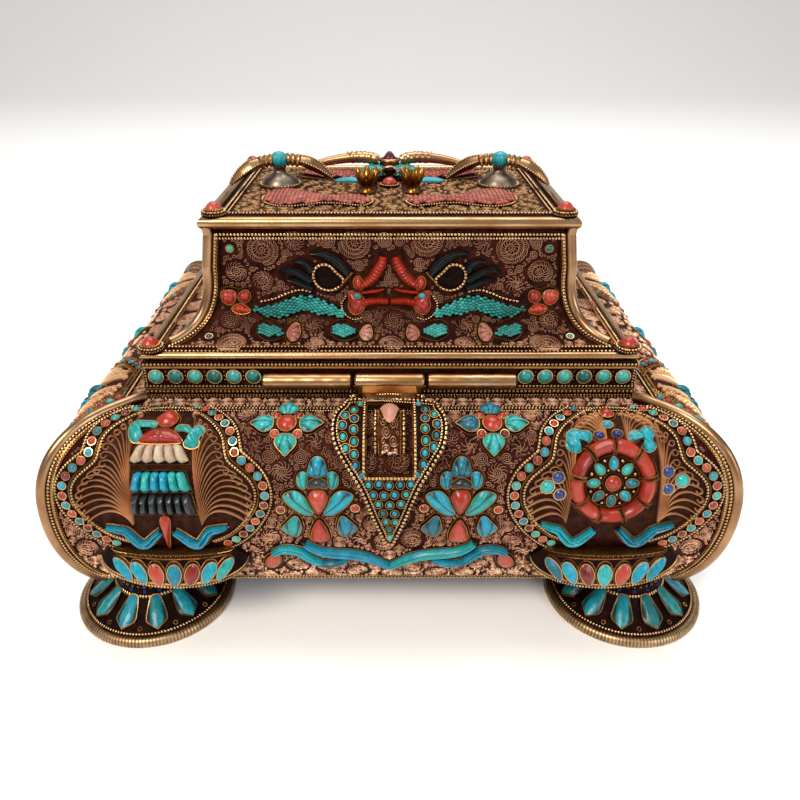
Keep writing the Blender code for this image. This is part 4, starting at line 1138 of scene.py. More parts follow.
@dataclass(frozen=True)
class Curls:
    """Fern scrolls of fine wire, one in each circle of a filled field.

    Short bent fronds spring from the outer side of the stem. A circle too small for fronds holds a plain curl.
    """

    wire: float = 0.2
    height: float = 0.65
    gap: float = 2.0
    coil: float = 0.68
    pitch: float = 0.74
    frond: Points = ((0.0, 0.0), (0.46, 0.86), (1.2, 1.42), (2.0, 1.4))

    def lay(self, worker: Worker, circles: Array, rng: np.random.Generator) -> None:
        """Lays the scrolls in classes of one radius each, half of them turning each way."""
        for radius in np.unique(circles[:, 2]):
            some = circles[circles[:, 2] == radius]
            hand = rng.choice([-1.0, 1.0], len(some))
            start = rng.uniform(0, TAU, len(some))
            for way in WAYS:
                chosen = hand == way
                if chosen.any():
                    self.scrolls(worker, some[chosen, :2], float(radius), start[chosen], way)

    def scrolls(self, worker: Worker, spots: Array, radius: float, start: Array, way: float) -> None:
        """The stems and fronds of all the scrolls of one radius and one hand.

        A stem winds in by gap on each turn while it carries fronds, then by coil on each turn to its middle.
        """
        reach = float(np.max(np.hypot(*np.array(self.frond).T)))
        plain = radius < reach + self.coil
        outer = radius if plain else radius - reach * 0.93
        wide = 0 if plain else max(round((outer - 1.2) / self.gap), 1)
        middle = max(outer - wide * self.gap, min(outer * 0.7, 1.3)) if wide else outer
        turns = np.array([0.0, wide, wide + max((middle - 0.15) / self.coil, 0.9)]) * TAU
        angle = np.linspace(0, turns[2], int(7 + 1.8 * turns[2]))
        far = np.interp(angle, turns, [outer, middle, 0.14])
        stem = np.stack([np.cos(angle) * far, way * np.sin(angle) * far], -1)
        stems = spots[:, None] + turned_about(stem[None], start[:, None])
        worker.strip(stems, self.wire, self.height, Section.WIRE)
        if plain:
            return
        fringed = stem[angle < turns[1] + 0.6 * TAU]
        roots = by_pitch(fringed, self.pitch)[:-1]
        run = headings(roots)
        away = roots / np.linalg.norm(roots, axis=1, keepdims=True)
        frond = np.array(self.frond)
        paths = roots[:, None] + frond[:, :1] * run[:, None] + frond[:, 1:] * away[:, None]
        laid = spots[:, None, None] + turned_about(paths[None], start[:, None, None])
        worker.strip(laid.reshape(-1, len(frond), 2), self.wire * 0.85, self.height * 0.85, Section.WIRE)


def lay_curls(bench: Bench, field: CurlField, radii: Sequence[float], finish: Metal = FILIGREE_WIRE) -> None:
    """Fills the ground that the ornament leaves free with curls of these radii."""
    circles = field.fill(radii)
    LOG.info("%s: %d curls", bench.name, len(circles))
    Curls().lay(bench.of(finish), circles, bench.rng)


# ------------------------------------------------------------------ motifs of the body's sides


@dataclass(frozen=True)
class Ogee:
    """The shouldered frame of a medallion: two beaded wires with small stones between them.

    Inner is the inner wire's right half, reach is where the long wires inside it end, and over is where those
    of the crest end. Nothing goes above the ceiling.
    """

    middle: float
    inner: Points = (
        (0.0, 83.4), (5.5, 82.4), (9.8, 80.0), (13.5, 77.0), (17.3, 73.5), (20.2, 69.5), (21.2, 65.5), (22.4, 61.5),
        (26.4, 58.0), (29.6, 55.0), (31.4, 51.0), (30.9, 46.0), (28.6, 41.5), (25.4, 37.0), (20.5, 32.5), (15.0, 29.6),
    )
    reach: Points = (
        (27.6, 38.6), (29.4, 43.0), (29.6, 50.0), (26.0, 56.2), (20.8, 60.6), (19.4, 67.0), (15.0, 73.2), (9.5, 77.6),
    )
    over: Points = ((3.8, 80.4), (7.0, 79.0), (10.4, 76.2), (13.6, 73.0), (16.2, 69.4))
    band: float = 5.5
    bead: float = 0.56
    stone: float = 1.22
    hook: float = 0.95
    ceiling: float = 87.2

    def line(self, out: float, count: int = 120) -> Array:
        """The frame's line, moved out from the inner wire, from the foot on the left to that on the right."""
        half = np.array(self.inner)
        moved = beside(smooth(np.concatenate([half[::-1] * [-1, 1], half[1:]]), count), out)
        return np.stack([moved[:, 0] + self.middle, np.minimum(moved[:, 1], self.ceiling)], -1)

    def build(self, bench: Bench) -> None:
        """The two wires, the strip of ground between them and its row of stones."""
        wires = bench.of(GILT_BEAD)
        strip = bench.of(GILT_STRIP)
        for out, radius in ((0.0, self.bead), (1.05, 0.36), (self.band, self.bead)):
            wires.granules(self.line(out, 200), radius, 0.35, pitch=TOUCHING)
            strip.strip(self.line(out), radius * 0.9, 0.4, Section.FLAT_WIRE)
        # The near-black strip between the two wires is painted shade.
        bench.of(DEEP).strip(self.line(self.band / 2), self.band / 2, 0.3, Section.FLAT_WIRE)
        spots = by_pitch(self.line(self.band * 0.59, 200), 3.75)[1:-1]
        bench.cabochons(spots[::2], self.stone, TURQUOISE, 0.35)
        bench.cabochons(spots[1::2], self.stone, CORAL, 0.35)
        wires.balls((spots[1:] + spots[:-1]) / 2, 0.42, 0.4)

    def field(self, bench: Bench, foot: tuple[float, float] = (12.0, 37.0), ribs: int = 17) -> None:
        """The ground inside the frame and a fan of long wires on each side, spread from the motif's foot."""
        bench.of(WARM_GROUND).stones(self.line(-0.4, 60), 0.22, rings=9, dome=FLAT)
        share = np.linspace(0, 1, ribs)
        starts = np.stack([foot[0] - 1.2 * share, foot[1] + (0.4 + 20.0 * share**1.6)], -1)
        self.fan(bench, starts, smooth(self.reach, ribs), 0.62)

    def crest(self, bench: Bench, ribs: int = 9) -> None:
        """The two small fans over a motif, spread from its top."""
        share = np.linspace(0, 1, ribs)
        starts = np.stack([3.4 + 1.6 * share, 68.5 - 2.6 * share], -1)
        self.fan(bench, starts, smooth(self.over, ribs), 0.45)

    def fan(self, bench: Bench, starts: Array, ends: Array, bow: float) -> None:
        """One fan on each side, each wire arched up with a hook at its end.

        Wire = start, raised middle and end as a quadratic curve, then a turn back through most of a circle.
        """
        chord = ends - starts
        rise = chord[:, 1] + bow * chord[:, 0] * np.linspace(1, 0.2, len(ends))
        raised = starts + np.stack([0.3 * chord[:, 0], rise], -1)
        run = np.linspace(0, 1, 22)[None, :, None]
        arch = starts[:, None] * (1 - run) ** 2 + 2 * raised[:, None] * run * (1 - run) + ends[:, None] * run**2
        way = ends - raised
        way /= np.linalg.norm(way, axis=1, keepdims=True)
        right = np.stack([way[:, 1], -way[:, 0]], -1)
        turn = np.linspace(0.35, 4.4, 9)[None, :, None]
        curl = ends[:, None] + self.hook * (right[:, None] * (1 - np.cos(turn)) + way[:, None] * np.sin(turn))
        paths = np.concatenate([arch, curl], 1)
        for mirror in WAYS:
            laid = paths * [mirror, 1.0] + [self.middle, 0.0]
            bench.of(FAN_WIRE).strip(laid, 0.36, 1.3, Section.WIRE, 0.15)

    @property
    def outline(self) -> Array:
        """The outer line, closed, for keeping the filigree off it."""
        return self.line(self.band + 0.7, 80)


def grooves(pitch: float, depth: float, lean: float = 0.0) -> Callable[[Array, Array], Array]:
    """Upright grooves: depth * |sin| to a power that leaves narrow cuts, leaning by lean."""

    def carve(across: Array, up: Array) -> Array:
        """The depth of the cuts at each place."""
        return depth * (1 - np.abs(np.sin(math.pi * (across + lean * up) / pitch))) ** 2

    return carve


def shell(rays: int, depth: float, root: tuple[float, float] = (0.0, -3.0)) -> Callable[[Array, Array], Array]:
    """Rays cut like a shell's from a root below the middle."""

    def carve(across: Array, up: Array) -> Array:
        """The depth of the rays: a power of |cos| round the root."""
        angle = np.arctan2(across - root[0], up - root[1])
        return depth * (1 - np.abs(np.cos(angle * rays))) ** 2

    return carve


@dataclass(frozen=True)
class Banner:
    """The victory banner: fluted tiers of bone, turquoise and onyx under a coral dome."""

    middle: float
    tiers: tuple = (
        (BONE, 66.6, 60.7, 7.2, 10.0, 5, 3.6),
        (TURQUOISE, 57.9, 51.0, 8.4, 10.2, 6, 4.0),
        (ONYX, 50.1, 42.2, 9.8, 11.2, 7, 4.3),
    )
    wave: Points = (
        (2.4, 34.4), (4.9, 31.9), (7.8, 28.7), (10.3, 28.2), (12.5, 31.0), (14.7, 34.4), (17.6, 35.4), (21.2, 36.6),
    )
    brackets: tuple[Points, ...] = (
        (
            (-11.2, 73.3), (-9.3, 75.4), (-5.8, 75.4), (-3.2, 75.2), (-2.0, 73.9), (-3.0, 72.4), (-6.3, 73.0),
            (-7.9, 72.2), (-7.7, 70.4), (-5.6, 69.0), (-7.0, 67.3), (-9.8, 67.6), (-11.2, 70.2),
        ),
        (
            (4.6, 71.6), (5.8, 73.6), (8.8, 73.3), (10.3, 72.0), (11.8, 73.4), (14.2, 72.8), (14.8, 70.6),
            (13.0, 69.0), (13.2, 66.4), (11.0, 65.3), (8.4, 66.0), (8.2, 67.6), (10.0, 68.7), (9.9, 70.3), (8.0, 71.0),
        ),
    )

    def tier(
        self, bench: Bench, finish: Stone, top: float, low: float, narrow: float, wide: float, flutes: int,
        height: float,
    ) -> None:
        """Round-ended flutes side by side on a dark plate with a beaded wire round it.

        Args:
            bench: where it is laid.
            finish: the flutes' stone.
            top, low: where it starts and ends, up the wall.
            narrow, wide: half its width at the top and at its foot.
            flutes: how many flutes it has.
            height: how far they stand off the wall.
        """
        share = (np.arange(flutes) + 0.5) / flutes * 2 - 1
        step = wide / flutes
        outlines = []
        for place in share:
            foot, head = place * wide, place * narrow
            broad, slim = step * 1.02, step * 0.98 * narrow / wide
            corner = (
                (foot + broad, low + 0.9), (head + slim, top), (head - slim, top), (foot - broad, low + 0.9),
                (foot, low - 0.1), (foot + broad, low + 0.9),
            )
            outlines.append(resample(np.array(corner), 15)[:-1] + [self.middle, 0])
        worker = bench.of(finish)
        worker.stones(np.array(outlines), height, 0.6, bench.tones(flutes), grooves(1.6, 0.25), rings=5, dome=2.4)
        foot, head = (wide + 0.5, low - 0.5), (narrow + 0.5, top + 0.4)
        outline = evenly((foot, head, (-head[0], head[1]), (-foot[0], foot[1])), 40) + [self.middle, 0]
        # The near-black plate behind the flutes is painted shade between them.
        bench.of(DEEP).plate(outline, 1.0)
        bench.of(GILT_BEAD).granules(outline, 0.3, 0.9, closed=True)

    def build(self, bench: Bench) -> None:
        """Tiers, brackets, dome, drop, spike and ribbons."""
        centre = np.array([self.middle, 0.0])
        for row in self.tiers:
            self.tier(bench, *row)
        dome = ((0, 66.9), (4.6, 67.0), (7.4, 67.4), (6.9, 68.6), (5.2, 70.4), (2.9, 71.5), (0, 71.9))
        bench.set_stone(smooth(mirrored(dome), 34, True) + centre, 3.4, CORAL, 0.5, 0.45, grooves(2.4, 0.3), 0.32)
        drop = ((0, 72.9), (1.8, 73.3), (3.2, 74.9), (3.3, 76.8), (1.7, 79.2), (0, 81.0))
        bench.set_stone(smooth(mirrored(drop), 26, True) + centre + [1.2, 0], 2.8, CORAL, 0.3, 0.6, None, 0.3)
        for points in self.brackets:
            bench.set_stone(smooth(points, 60, True) + centre, 2.4, TURQUOISE, 0.3, 0.7, grooves(2.2, 0.4, 0.6), 0.28)
        spike = smooth(((-0.6, 26.4), (0.6, 33.0), (1.6, 39.6), (0.2, 41.4), (-1.8, 39.8), (-1.4, 33.0)), 20, True)
        bench.set_stone(spike + centre, 2.6, CORAL, 0.5, 0.6)
        lay_ribbons(bench, self.middle, self.wave)


def lay_ribbons(bench: Bench, middle: float, wave: Points) -> None:
    """Two turquoise ribbons that stream out from a motif's foot, with a beaded wire along each edge."""
    share = np.linspace(0, 1, 40)
    half = 0.35 + 1.3 * np.sin(math.pi * np.clip(share * 0.9 + 0.1, 0, 1)) ** 0.6
    for way in WAYS:
        path = smooth(flipped(wave, way), 40) + [middle, 0]
        bench.of(TURQUOISE).strip(path, half, 2.3, Section.GROOVED, 0.35, bench.tones(1, 0.2, 0.7))
        for side in WAYS:
            edge = beside(path, side * (half + 0.35))
            bench.of(GILT_BEAD).granules(edge, 0.3, 0.4)
            bench.of(GILT_STRIP).strip(edge, 0.35, 0.5, Section.FLAT_WIRE)


@dataclass(frozen=True)
class Wheel:
    """The wheel: a coral ring bound by beaded wraps, a hub and eight turquoise spokes.

    Gems gives the small stones on both sides of it, as across, up, radius and finish.
    """

    middle: float
    level: float = 54.0
    outer: float = 14.8
    inner: float = 9.8
    lengths: int = 9
    wave: Points = (
        (4.4, 35.2), (6.6, 32.6), (9.4, 29.6), (12.2, 29.4), (14.6, 32.0), (16.8, 35.0), (19.6, 36.2), (23.0, 37.8),
    )
    gems: tuple[tuple[float, float, float, Stone], ...] = (
        (-18.6, 55.9, 1.8, LAPIS), (-17.8, 49.8, 1.8, LAPIS), (18.6, 57.8, 1.8, LAPIS), (19.1, 51.7, 1.8, LAPIS),
        (-22.2, 52.7, 2.1, TURQUOISE), (23.6, 54.8, 2.1, TURQUOISE),
    )
    brackets: tuple[Points, ...] = (
        (
            (-15.2, 70.8), (-12.7, 72.0), (-10.3, 71.4), (-7.6, 71.2), (-6.9, 69.1), (-8.3, 67.3), (-9.8, 68.3),
            (-11.3, 67.8), (-11.6, 66.4), (-10.8, 64.9), (-12.7, 63.9), (-15.0, 64.7), (-16.2, 66.2), (-15.8, 68.6),
        ),
        (
            (6.0, 70.6), (7.8, 71.6), (9.8, 71.4), (11.7, 73.1), (13.8, 72.6), (14.4, 70.1), (13.6, 68.2), (14.8, 66.2),
            (13.0, 64.3), (10.9, 64.5), (9.9, 66.2), (11.0, 67.6), (9.9, 68.7), (8.3, 68.3), (6.3, 67.8), (5.4, 69.0),
        ),
    )

    def rim(self, bench: Bench) -> None:
        """The coral lengths of the ring and the three fine beaded wires wrapped over each joint."""
        centre = np.array([self.middle, self.level])
        ring, half = (self.outer + self.inner) / 2, (self.outer - self.inner) / 2
        span = TAU / self.lengths
        across = np.linspace(-half - 0.25, half + 0.25, 12)
        high = 0.3 + 4.2 * np.sqrt(np.clip(1 - (across / (half + 0.5)) ** 2, 0, 1))
        for index in range(self.lengths):
            turn = math.pi / 2 + (index + 0.5) * span
            angles = turn + np.linspace(-0.44, 0.44, 13) * span
            path = centre + ring * on_circle(angles)
            ends = half * np.array([0.84, 0.95] + [1] * 9 + [0.95, 0.84])
            bench.of(CORAL).strip(path, ends, 4.1, Section.RIDGE, 0.4, bench.tones(1, 0.3, 0.7))
            for lean in (-0.045, 0.045):
                angle = turn + span / 2 + lean
                spots = centre + on_circle(angle) * (ring + across[:, None])
                for spot, level in zip(spots, high):
                    bench.of(GILT_BEAD).balls(spot, 0.34, level)

    def build(self, bench: Bench) -> None:
        """Ring, hub, spokes, brackets and the stones beside and above it."""
        centre = np.array([self.middle, self.level])
        wires = bench.of(GILT_BEAD)
        self.rim(bench)
        for radius, bead in ((self.outer + 0.6, 0.36), (self.inner - 0.5, 0.34)):
            wires.ring(centre, radius, 60, bead, 0.5)
        # The near-black plate inside the ring is painted shade behind the spokes.
        bench.of(DEEP).plate(circle(centre, self.inner, 30)[0], 0.5)
        bench.set_stone(circle(centre, 2.5, 20)[0], 2.3, CORAL, 0.6, 0.55, None, 0.3)
        drop = smooth(mirrored(((0, 8.9), (1.05, 7.9), (1.5, 6.5), (1.2, 5.2), (0, 4.4))), 18, True)
        for angle in np.arange(8) * TAU / 8:
            bench.set_stone(turned_about(drop, angle) + centre, 1.9, TURQUOISE, 0.5, beads=0.2)
        wires.balls(turned_about(circle((0, 0), 4.6, 8)[0], TAU / 16) + centre, 0.5, 0.5)
        wires.balls(turned_about(circle((0, 0), 8.0, 8)[0], TAU / 16) + centre, 0.62, 0.5)
        oval = circle((0, 0), 1.9, 18, 0.74)[0]
        for across, up, finish in ((-4.4, 69.9, LAPIS), (1.9, 70.4, LAPIS), (-0.9, 73.9, TURQUOISE)):
            bench.set_stone(oval + [self.middle + across, up], 1.8, finish, 0.4, 0.4, None, 0.26)
        drop = smooth(mirrored(((0, 77.0), (1.7, 77.6), (2.3, 79.2), (1.2, 81.0), (0, 82.2))), 20, True)
        bench.set_stone(drop + [self.middle, 0], 2.2, CORAL, 0.4, 0.5, None, 0.28)
        for points in self.brackets:
            outline = smooth(points, 60, True) + [self.middle, 0]
            bench.set_stone(outline, 2.4, TURQUOISE, 0.3, 0.6, grooves(2.2, 0.4, 0.6), 0.28)
        for across, up, radius, finish in self.gems:
            spot = (self.middle + across, up)
            bench.cabochons([spot], radius, finish, 0.4)
            wires.ring(spot, radius + 0.65, 24, 0.26, 0.3)
        lay_ribbons(bench, self.middle, self.wave)


@dataclass(frozen=True)
class Lotus:
    """A lotus seen from the side: coral heart and bell, turquoise leaves, petals and trefoil."""

    middle: float
    base: float = 28.5
    centre: tuple = (
        (CORAL, ((0, 1.1), (2.2, 1.3), (3.2, 3.2), (2.5, 6.8), (1.3, 9.4), (0, 11.2)), 3.2, grooves(3.0, 0.3, 0.5)),
        (CORAL, ((0, 13.6), (0.9, 14.8), (2.2, 17.1), (3.1, 20.2), (2.1, 22.6), (0, 23.0)), 3.4, None),
        (ONYX, ((0, 24.0), (2.9, 23.6), (3.5, 25.3), (1.5, 26.9), (0, 27.3)), 2.4, None),
        (
            TURQUOISE, ((0, 27.8), (1.6, 27.8), (3.5, 28.5), (3.1, 30.2), (2.5, 32.4), (1.4, 33.8), (0, 34.3)), 3.0,
            shell(5, 0.6, (0.0, -4.5)),
        ),
    )
    leaf: Points = (
        (12.0, 21.0), (9.8, 22.4), (7.1, 22.5), (4.7, 20.3), (3.3, 17.1), (1.8, 13.9), (3.2, 13.1), (5.8, 13.7),
        (8.8, 16.0), (10.9, 18.3),
    )
    petal: Points = (
        (7.6, 12.5), (6.7, 10.0), (6.3, 7.3), (7.7, 4.0), (9.6, 3.7), (11.7, 5.3), (13.2, 7.4), (10.9, 10.3),
        (8.9, 12.5),
    )
    lobe: Points = ((3.6, 28.6), (5.1, 29.4), (6.9, 28.0), (6.9, 25.0), (5.2, 23.4), (3.9, 24.2), (3.5, 26.5))

    def build(self, bench: Bench) -> None:
        """Its stones from the bell up, each in a rim with granules round it, all drawn from the flower's foot."""
        foot = [self.middle, self.base]
        for finish, half, height, carve in self.centre:
            bench.set_stone(smooth(mirrored(half), 28, True) + foot, height, finish, 0.4, None, carve, 0.3)
        sides = ((self.leaf, 2.8, (-7.0, -6.4)), (self.petal, 2.5, (0.0, -7.0)), (self.lobe, 2.3, (-0.5, -4.5)))
        for way in WAYS:
            for points, height, root in sides:
                outline = smooth(flipped(points, way), 30, True) + foot
                carve = shell(6, 0.55, (root[0] * way, root[1]))
                bench.set_stone(outline, height, TURQUOISE, 0.35, None, carve, 0.28)


@dataclass(frozen=True)
class Throne:
    """The half lotus throne under a medallion: beaded lip, ribbed hollow and petals on a flared rim."""

    middle: float
    petal: Points = ((0.0, 1.5), (1.3, 2.3), (2.6, 4.2), (2.9, 5.8), (1.9, 7.6), (0.0, 8.2))
    places: tuple[float, ...] = (-19.6, -13.4, -6.8, 0.0, 6.8, 13.4, 19.6)

    def round_rim(self, across: Array, rim: float) -> Array:
        """The distance round the rim for a place across the dish: rim * arcsin(across / rim)."""
        return rim * np.arcsin(np.clip(across / rim, -0.995, 0.995))

    def build(self, bench: Bench, panel: Panel) -> None:
        """The dish itself, its edges, the sawtooth on its lip and the petals of its flare."""
        skirt = Skirt(panel, self.middle)
        turn = np.linspace(-math.pi / 2, math.pi / 2, 49)
        across = turn * skirt.rim
        share = np.array([0.0, 0.05, 0.2, 0.4, 0.6, 0.75, 0.86, 0.95, 1.0]) * skirt.flare
        face = skirt.place(across[:, None], share[None], 0.0)
        swell = np.cos(turn)
        lip = panel.place(self.middle + 19.0 * np.sin(turn), 26.8 - 1.2 * swell, 0.1)
        foot = panel.place(self.middle + skirt.rim * np.sin(turn), 20.4 - 8.0 * swell, 0.1)
        rows = np.concatenate([face, np.stack([lip, foot], 1)], 1)
        # Painted shade: the dish's face is darkest in its hollow and brightest at its lip and rim, and its back rows
        # are dark.
        lift = np.concatenate([np.array([0.9, 0.7, 0.4, 0.3, 0.3, 0.4, 0.7, 0.9, 1.0]), [0.2, 0.2]])
        bench.skin(GILT_STRIP, rows, lift)
        worker = bench.of(GILT_BEAD, skirt)
        for up, radius in ((0.35, 0.56), (13.4, 0.5), (9.9, 0.34)):
            worker.granules(level_line(across, up), radius, 0.15)
        worker.strip(level_line(across, 1.4), 0.4, 0.5, Section.ROUND, 0.0)
        # The near-black band in the dish's hollow is painted shade.
        bench.of(DEEP, skirt).strip(level_line(across, 5.4), 4.0, 0.12, Section.FLAT_WIRE)
        tooth = np.array([(0.66, 0.0), (0.0, 1.5), (-0.66, 0.0)])
        places = self.round_rim(np.arange(-11.5, 12) * 2.2, skirt.rim)
        worker.stones(places[:, None, None] * [1, 0] + tooth + [0, 11.3], 0.9, 0.0, rings=2)
        ribs_at = self.round_rim(np.arange(-34.5, 35) * 0.76, skirt.rim)
        level = np.linspace(10.1, 11.4, 4)
        lines = np.stack([np.repeat(ribs_at[:, None], 4, 1), np.broadcast_to(level, (len(ribs_at), 4))], -1)
        bench.of(GILT_STRIP, skirt).strip(lines, 0.24, 0.4, Section.WIRE)
        stones = (TURQUOISE, TURQUOISE, CORAL, TURQUOISE, CORAL, TURQUOISE, TURQUOISE)
        flat = smooth(mirrored(self.petal), 30, True)
        for place, finish in zip(self.places, stones):
            leaning = flat[:, 0] * 0.94 + place + 0.44 * place * (flat[:, 1] - 5.0) / 7.5
            outline = np.stack([self.round_rim(leaning, skirt.rim), flat[:, 1]], -1)
            bench.of(finish, skirt).stones(outline, 2.0, 0.3, bench.tones(1), grooves(3.0, 0.25), rings=5)
            bench.of(GILT_BEAD, skirt).collets(outline, 0.14, 0.9, 0.1)
            bench.of(GILT_BEAD, skirt).granules(grown(outline, 0.75), 0.3, 0.2, closed=True)

    def hull(self) -> Array:
        """The outline that the throne covers on the wall."""
        turn = np.linspace(-math.pi / 2, math.pi / 2, 15)
        rim = np.stack([self.middle + 27.5 * np.sin(turn), 20.0 - 9.5 * np.cos(turn)], -1)
        lip = np.stack([self.middle + 22.0 * np.sin(turn[::-1]), 28.5 + 0 * turn], -1)
        return np.concatenate([rim, lip])


@dataclass(frozen=True)
class CrossFlower:
    """Four shell-cut turquoise drops round a coral, with small corals between them."""

    middle: float
    level: float = 74.5

    def build(self, bench: Bench) -> None:
        """The heart, the four petals and the corals on the diagonals."""
        centre = np.array([self.middle, self.level])
        bench.set_stone(circle(centre, 3.2, 20)[0], 2.6, CORAL, 0.5, 0.65, None, 0.34)
        petal = smooth(mirrored(((0, 12.6), (1.4, 11.0), (3.3, 8.8), (3.6, 6.8), (2.2, 5.0), (0, 4.6))), 24, True)
        for quarter in range(4):
            outline = turned_about(petal, quarter * TAU / 4)
            root = turned_about(np.array([0.0, -4.4]), quarter * TAU / 4)
            carve = shell(5, 0.6, (float(root[0]), float(root[1])))
            bench.set_stone(outline * [1, 0.92] + centre, 2.6, TURQUOISE, 0.4, None, carve, 0.3)
        spots = circle(centre, 5.6, 4)[0]
        spots = turned_about(spots - centre, TAU / 8) + centre
        bench.cabochons(spots, 1.3, CORAL, 0.3)
        bench.of(GILT_BEAD).balls(turned_about(circle((0, 0), 3.9, 12)[0], 0.2) + centre, 0.36, 0.5)


@dataclass(frozen=True)
class Stems:
    """The long turquoise leaves under a lotus on the front, with their coral bud.

    Strokes gives each leaf's widest half width and its path, drawn for the flower on the left.
    """

    middle: float
    way: float
    strokes: tuple[tuple[float, Points], ...] = (
        (
            1.75,
            (
                (-5.6, 28.6), (-3.4, 26.4), (0.2, 24.2), (4.9, 23.2), (10.3, 22.6), (15.4, 21.2), (20.2, 18.4),
                (24.6, 15.2),
            ),
        ),
        (1.45, ((-17.6, 23.3), (-14.7, 25.0), (-11.8, 25.4), (-8.4, 24.4), (-5.9, 22.1), (-3.0, 19.1), (-0.2, 17.4))),
        (1.0, ((-1.0, 17.4), (2.9, 17.2), (6.2, 18.2), (9.0, 20.2))),
    )

    def paths(self) -> list[tuple[Array, Array]]:
        """Each stroke laid on the wall, with its half widths."""
        share = np.linspace(0, 1, 40)
        swell = np.sin(math.pi * np.clip(0.06 + 0.9 * share, 0, 1)) ** 0.55
        laid = []
        for half, points in self.strokes:
            path = smooth(flipped(points, self.way), 40) + [self.middle, 0]
            laid.append((path, 0.35 + half * swell))
        return laid

    def build(self, bench: Bench) -> None:
        """The leaves with their central groove, a beaded wire along each edge and the bud."""
        for path, half in self.paths():
            bench.of(TURQUOISE).strip(path, half, 2.3, Section.GROOVED, 0.3, bench.tones(1, 0.1, 0.75))
            bench.of(GILT_BEAD).edges(path, half + 0.3, 0.3, 0.35)
        bud = ((-20.8, 15.2), (-18.2, 13.8), (-15.6, 17.4), (-15.0, 21.4), (-17.6, 22.2), (-20.2, 19.4))
        outline = smooth(flipped(bud, self.way), 20, True) + [self.middle, 0]
        bench.set_stone(outline, 2.2, CORAL, 0.3, 0.8, grooves(1.4, 0.3), 0.3)


# ------------------------------------------------------------------ the body


@dataclass(frozen=True)
class BoxSizes:
    """The box's sizes that the looks share with the CAD part, in millimetres."""

    core_width: float = 97.0
    core_depth: float = 77.0
    waist_width: float = 65.0
    waist_depth: float = 45.0
    bottom_z: float = 20.0
    belly_z: float = 57.0
    top_z: float = 88.0
    belly: float = 23.0
    undercut: float = 43.0
    squareness: float = 0.8
    body_length: float = 83.8
    lid_length: float = 51.7
    band_reach: float = 23.5
    band_low: float = 88.3
    band_top: float = 102.6
    cove_foot: float = 105.0
    cove_top: float = 130.0
    cove_reach: float = 18.7
    batter: float = 1.5
    waist_top: float = 142.8
    lid_top: float = 147.6
    hinge_y: float = -71.7
    hinge_z: float = 96.2
    hinge_radius: float = 2.9

    def body_wall(self) -> Wall:
        """Lower ellipse then a squarer shoulder: (b cos t, z + h sin t), with a power on the upper part."""
        start = -math.asin((self.belly_z - self.bottom_z) / self.undercut)
        low = np.linspace(start, 0, 24, endpoint=False)
        high = np.linspace(0, math.pi / 2, 48)
        rise = self.top_z - self.belly_z
        upper = np.maximum(np.cos(high), 0) ** self.squareness
        reach = np.concatenate([self.belly * np.cos(low), self.belly * upper])
        level = np.concatenate(
            [self.belly_z + self.undercut * np.sin(low), self.belly_z + rise * np.sin(high) ** self.squareness]
        )
        return Wall(self.core_width, self.core_depth, reach, level, self.body_length)

    def cove_wall(self) -> Wall:
        """A hollow quarter curve from the foot up to the waist, then the near upright waist."""
        turn = np.linspace(math.pi / 2, 0, 40)
        reach = self.batter + self.cove_reach * (1 - np.maximum(np.cos(turn), 0) ** self.squareness)
        level = self.cove_top - (self.cove_top - self.cove_foot) * np.sin(turn) ** self.squareness
        reach = np.concatenate([reach, np.linspace(self.batter, 0, 8)[1:]])
        level = np.concatenate([level, np.linspace(self.cove_top, self.waist_top, 8)[1:]])
        return Wall(self.waist_width, self.waist_depth, reach, level, self.lid_length)

    def band_wall(self) -> Wall:
        """The upright band of the lid."""
        reach = np.array([self.band_reach, self.band_reach])
        level = np.array([self.band_low, self.band_top])
        return Wall(self.waist_width, self.waist_depth, reach, level, self.band_top - self.band_low)


SIZES = BoxSizes()
BODY_WALL = SIZES.body_wall()
COVE_WALL = SIZES.cove_wall()
BAND_WALL = SIZES.band_wall()


CORNER_CUT = 1.5


def box_loops(half_width: float, half_depth: float, reach: Array, level: Array) -> Array:
    """Level rectangles with cut corners, one for each (reach, level), as (rows, 8, 3)."""
    x, y = half_width + reach, half_depth + reach
    short, low = x - CORNER_CUT, y - CORNER_CUT
    corners = [(short, -y), (x, -low), (x, low), (short, y), (-short, y), (-x, low), (-x, -low), (-short, -y)]
    return np.stack([np.stack([across, deep, level], -1) for across, deep in corners], 1)


@dataclass(frozen=True)
class BodyShell:
    """The copper box under the ornament, closed as one skin: outside, rim ledge, inside and floor."""

    wall: float = 1.5
    ledge: float = 13.0

    def build(self) -> None:
        """Carries the section round the box."""
        reach, level = BODY_WALL.reach, BODY_WALL.height
        out, high = BODY_WALL.ways
        inner_reach, inner_level = (reach - self.wall * out)[::-1], (level - self.wall * high)[::-1]
        keep = (inner_level > SIZES.bottom_z + self.wall) & (inner_level < SIZES.top_z - self.wall)
        under = SIZES.top_z - self.wall
        reach = np.concatenate([reach, [-self.ledge, -self.ledge, -self.wall], inner_reach[keep]])
        level = np.concatenate([level, [SIZES.top_z, under, under], inner_level[keep]])
        heap = Heap()
        heap.skins(box_loops(SIZES.core_width, SIZES.core_depth, reach, level)[None], lift=0.2)
        heap.piece("body_shell", GROUND, "filigree", replaces=("body",), sharp=50.0)


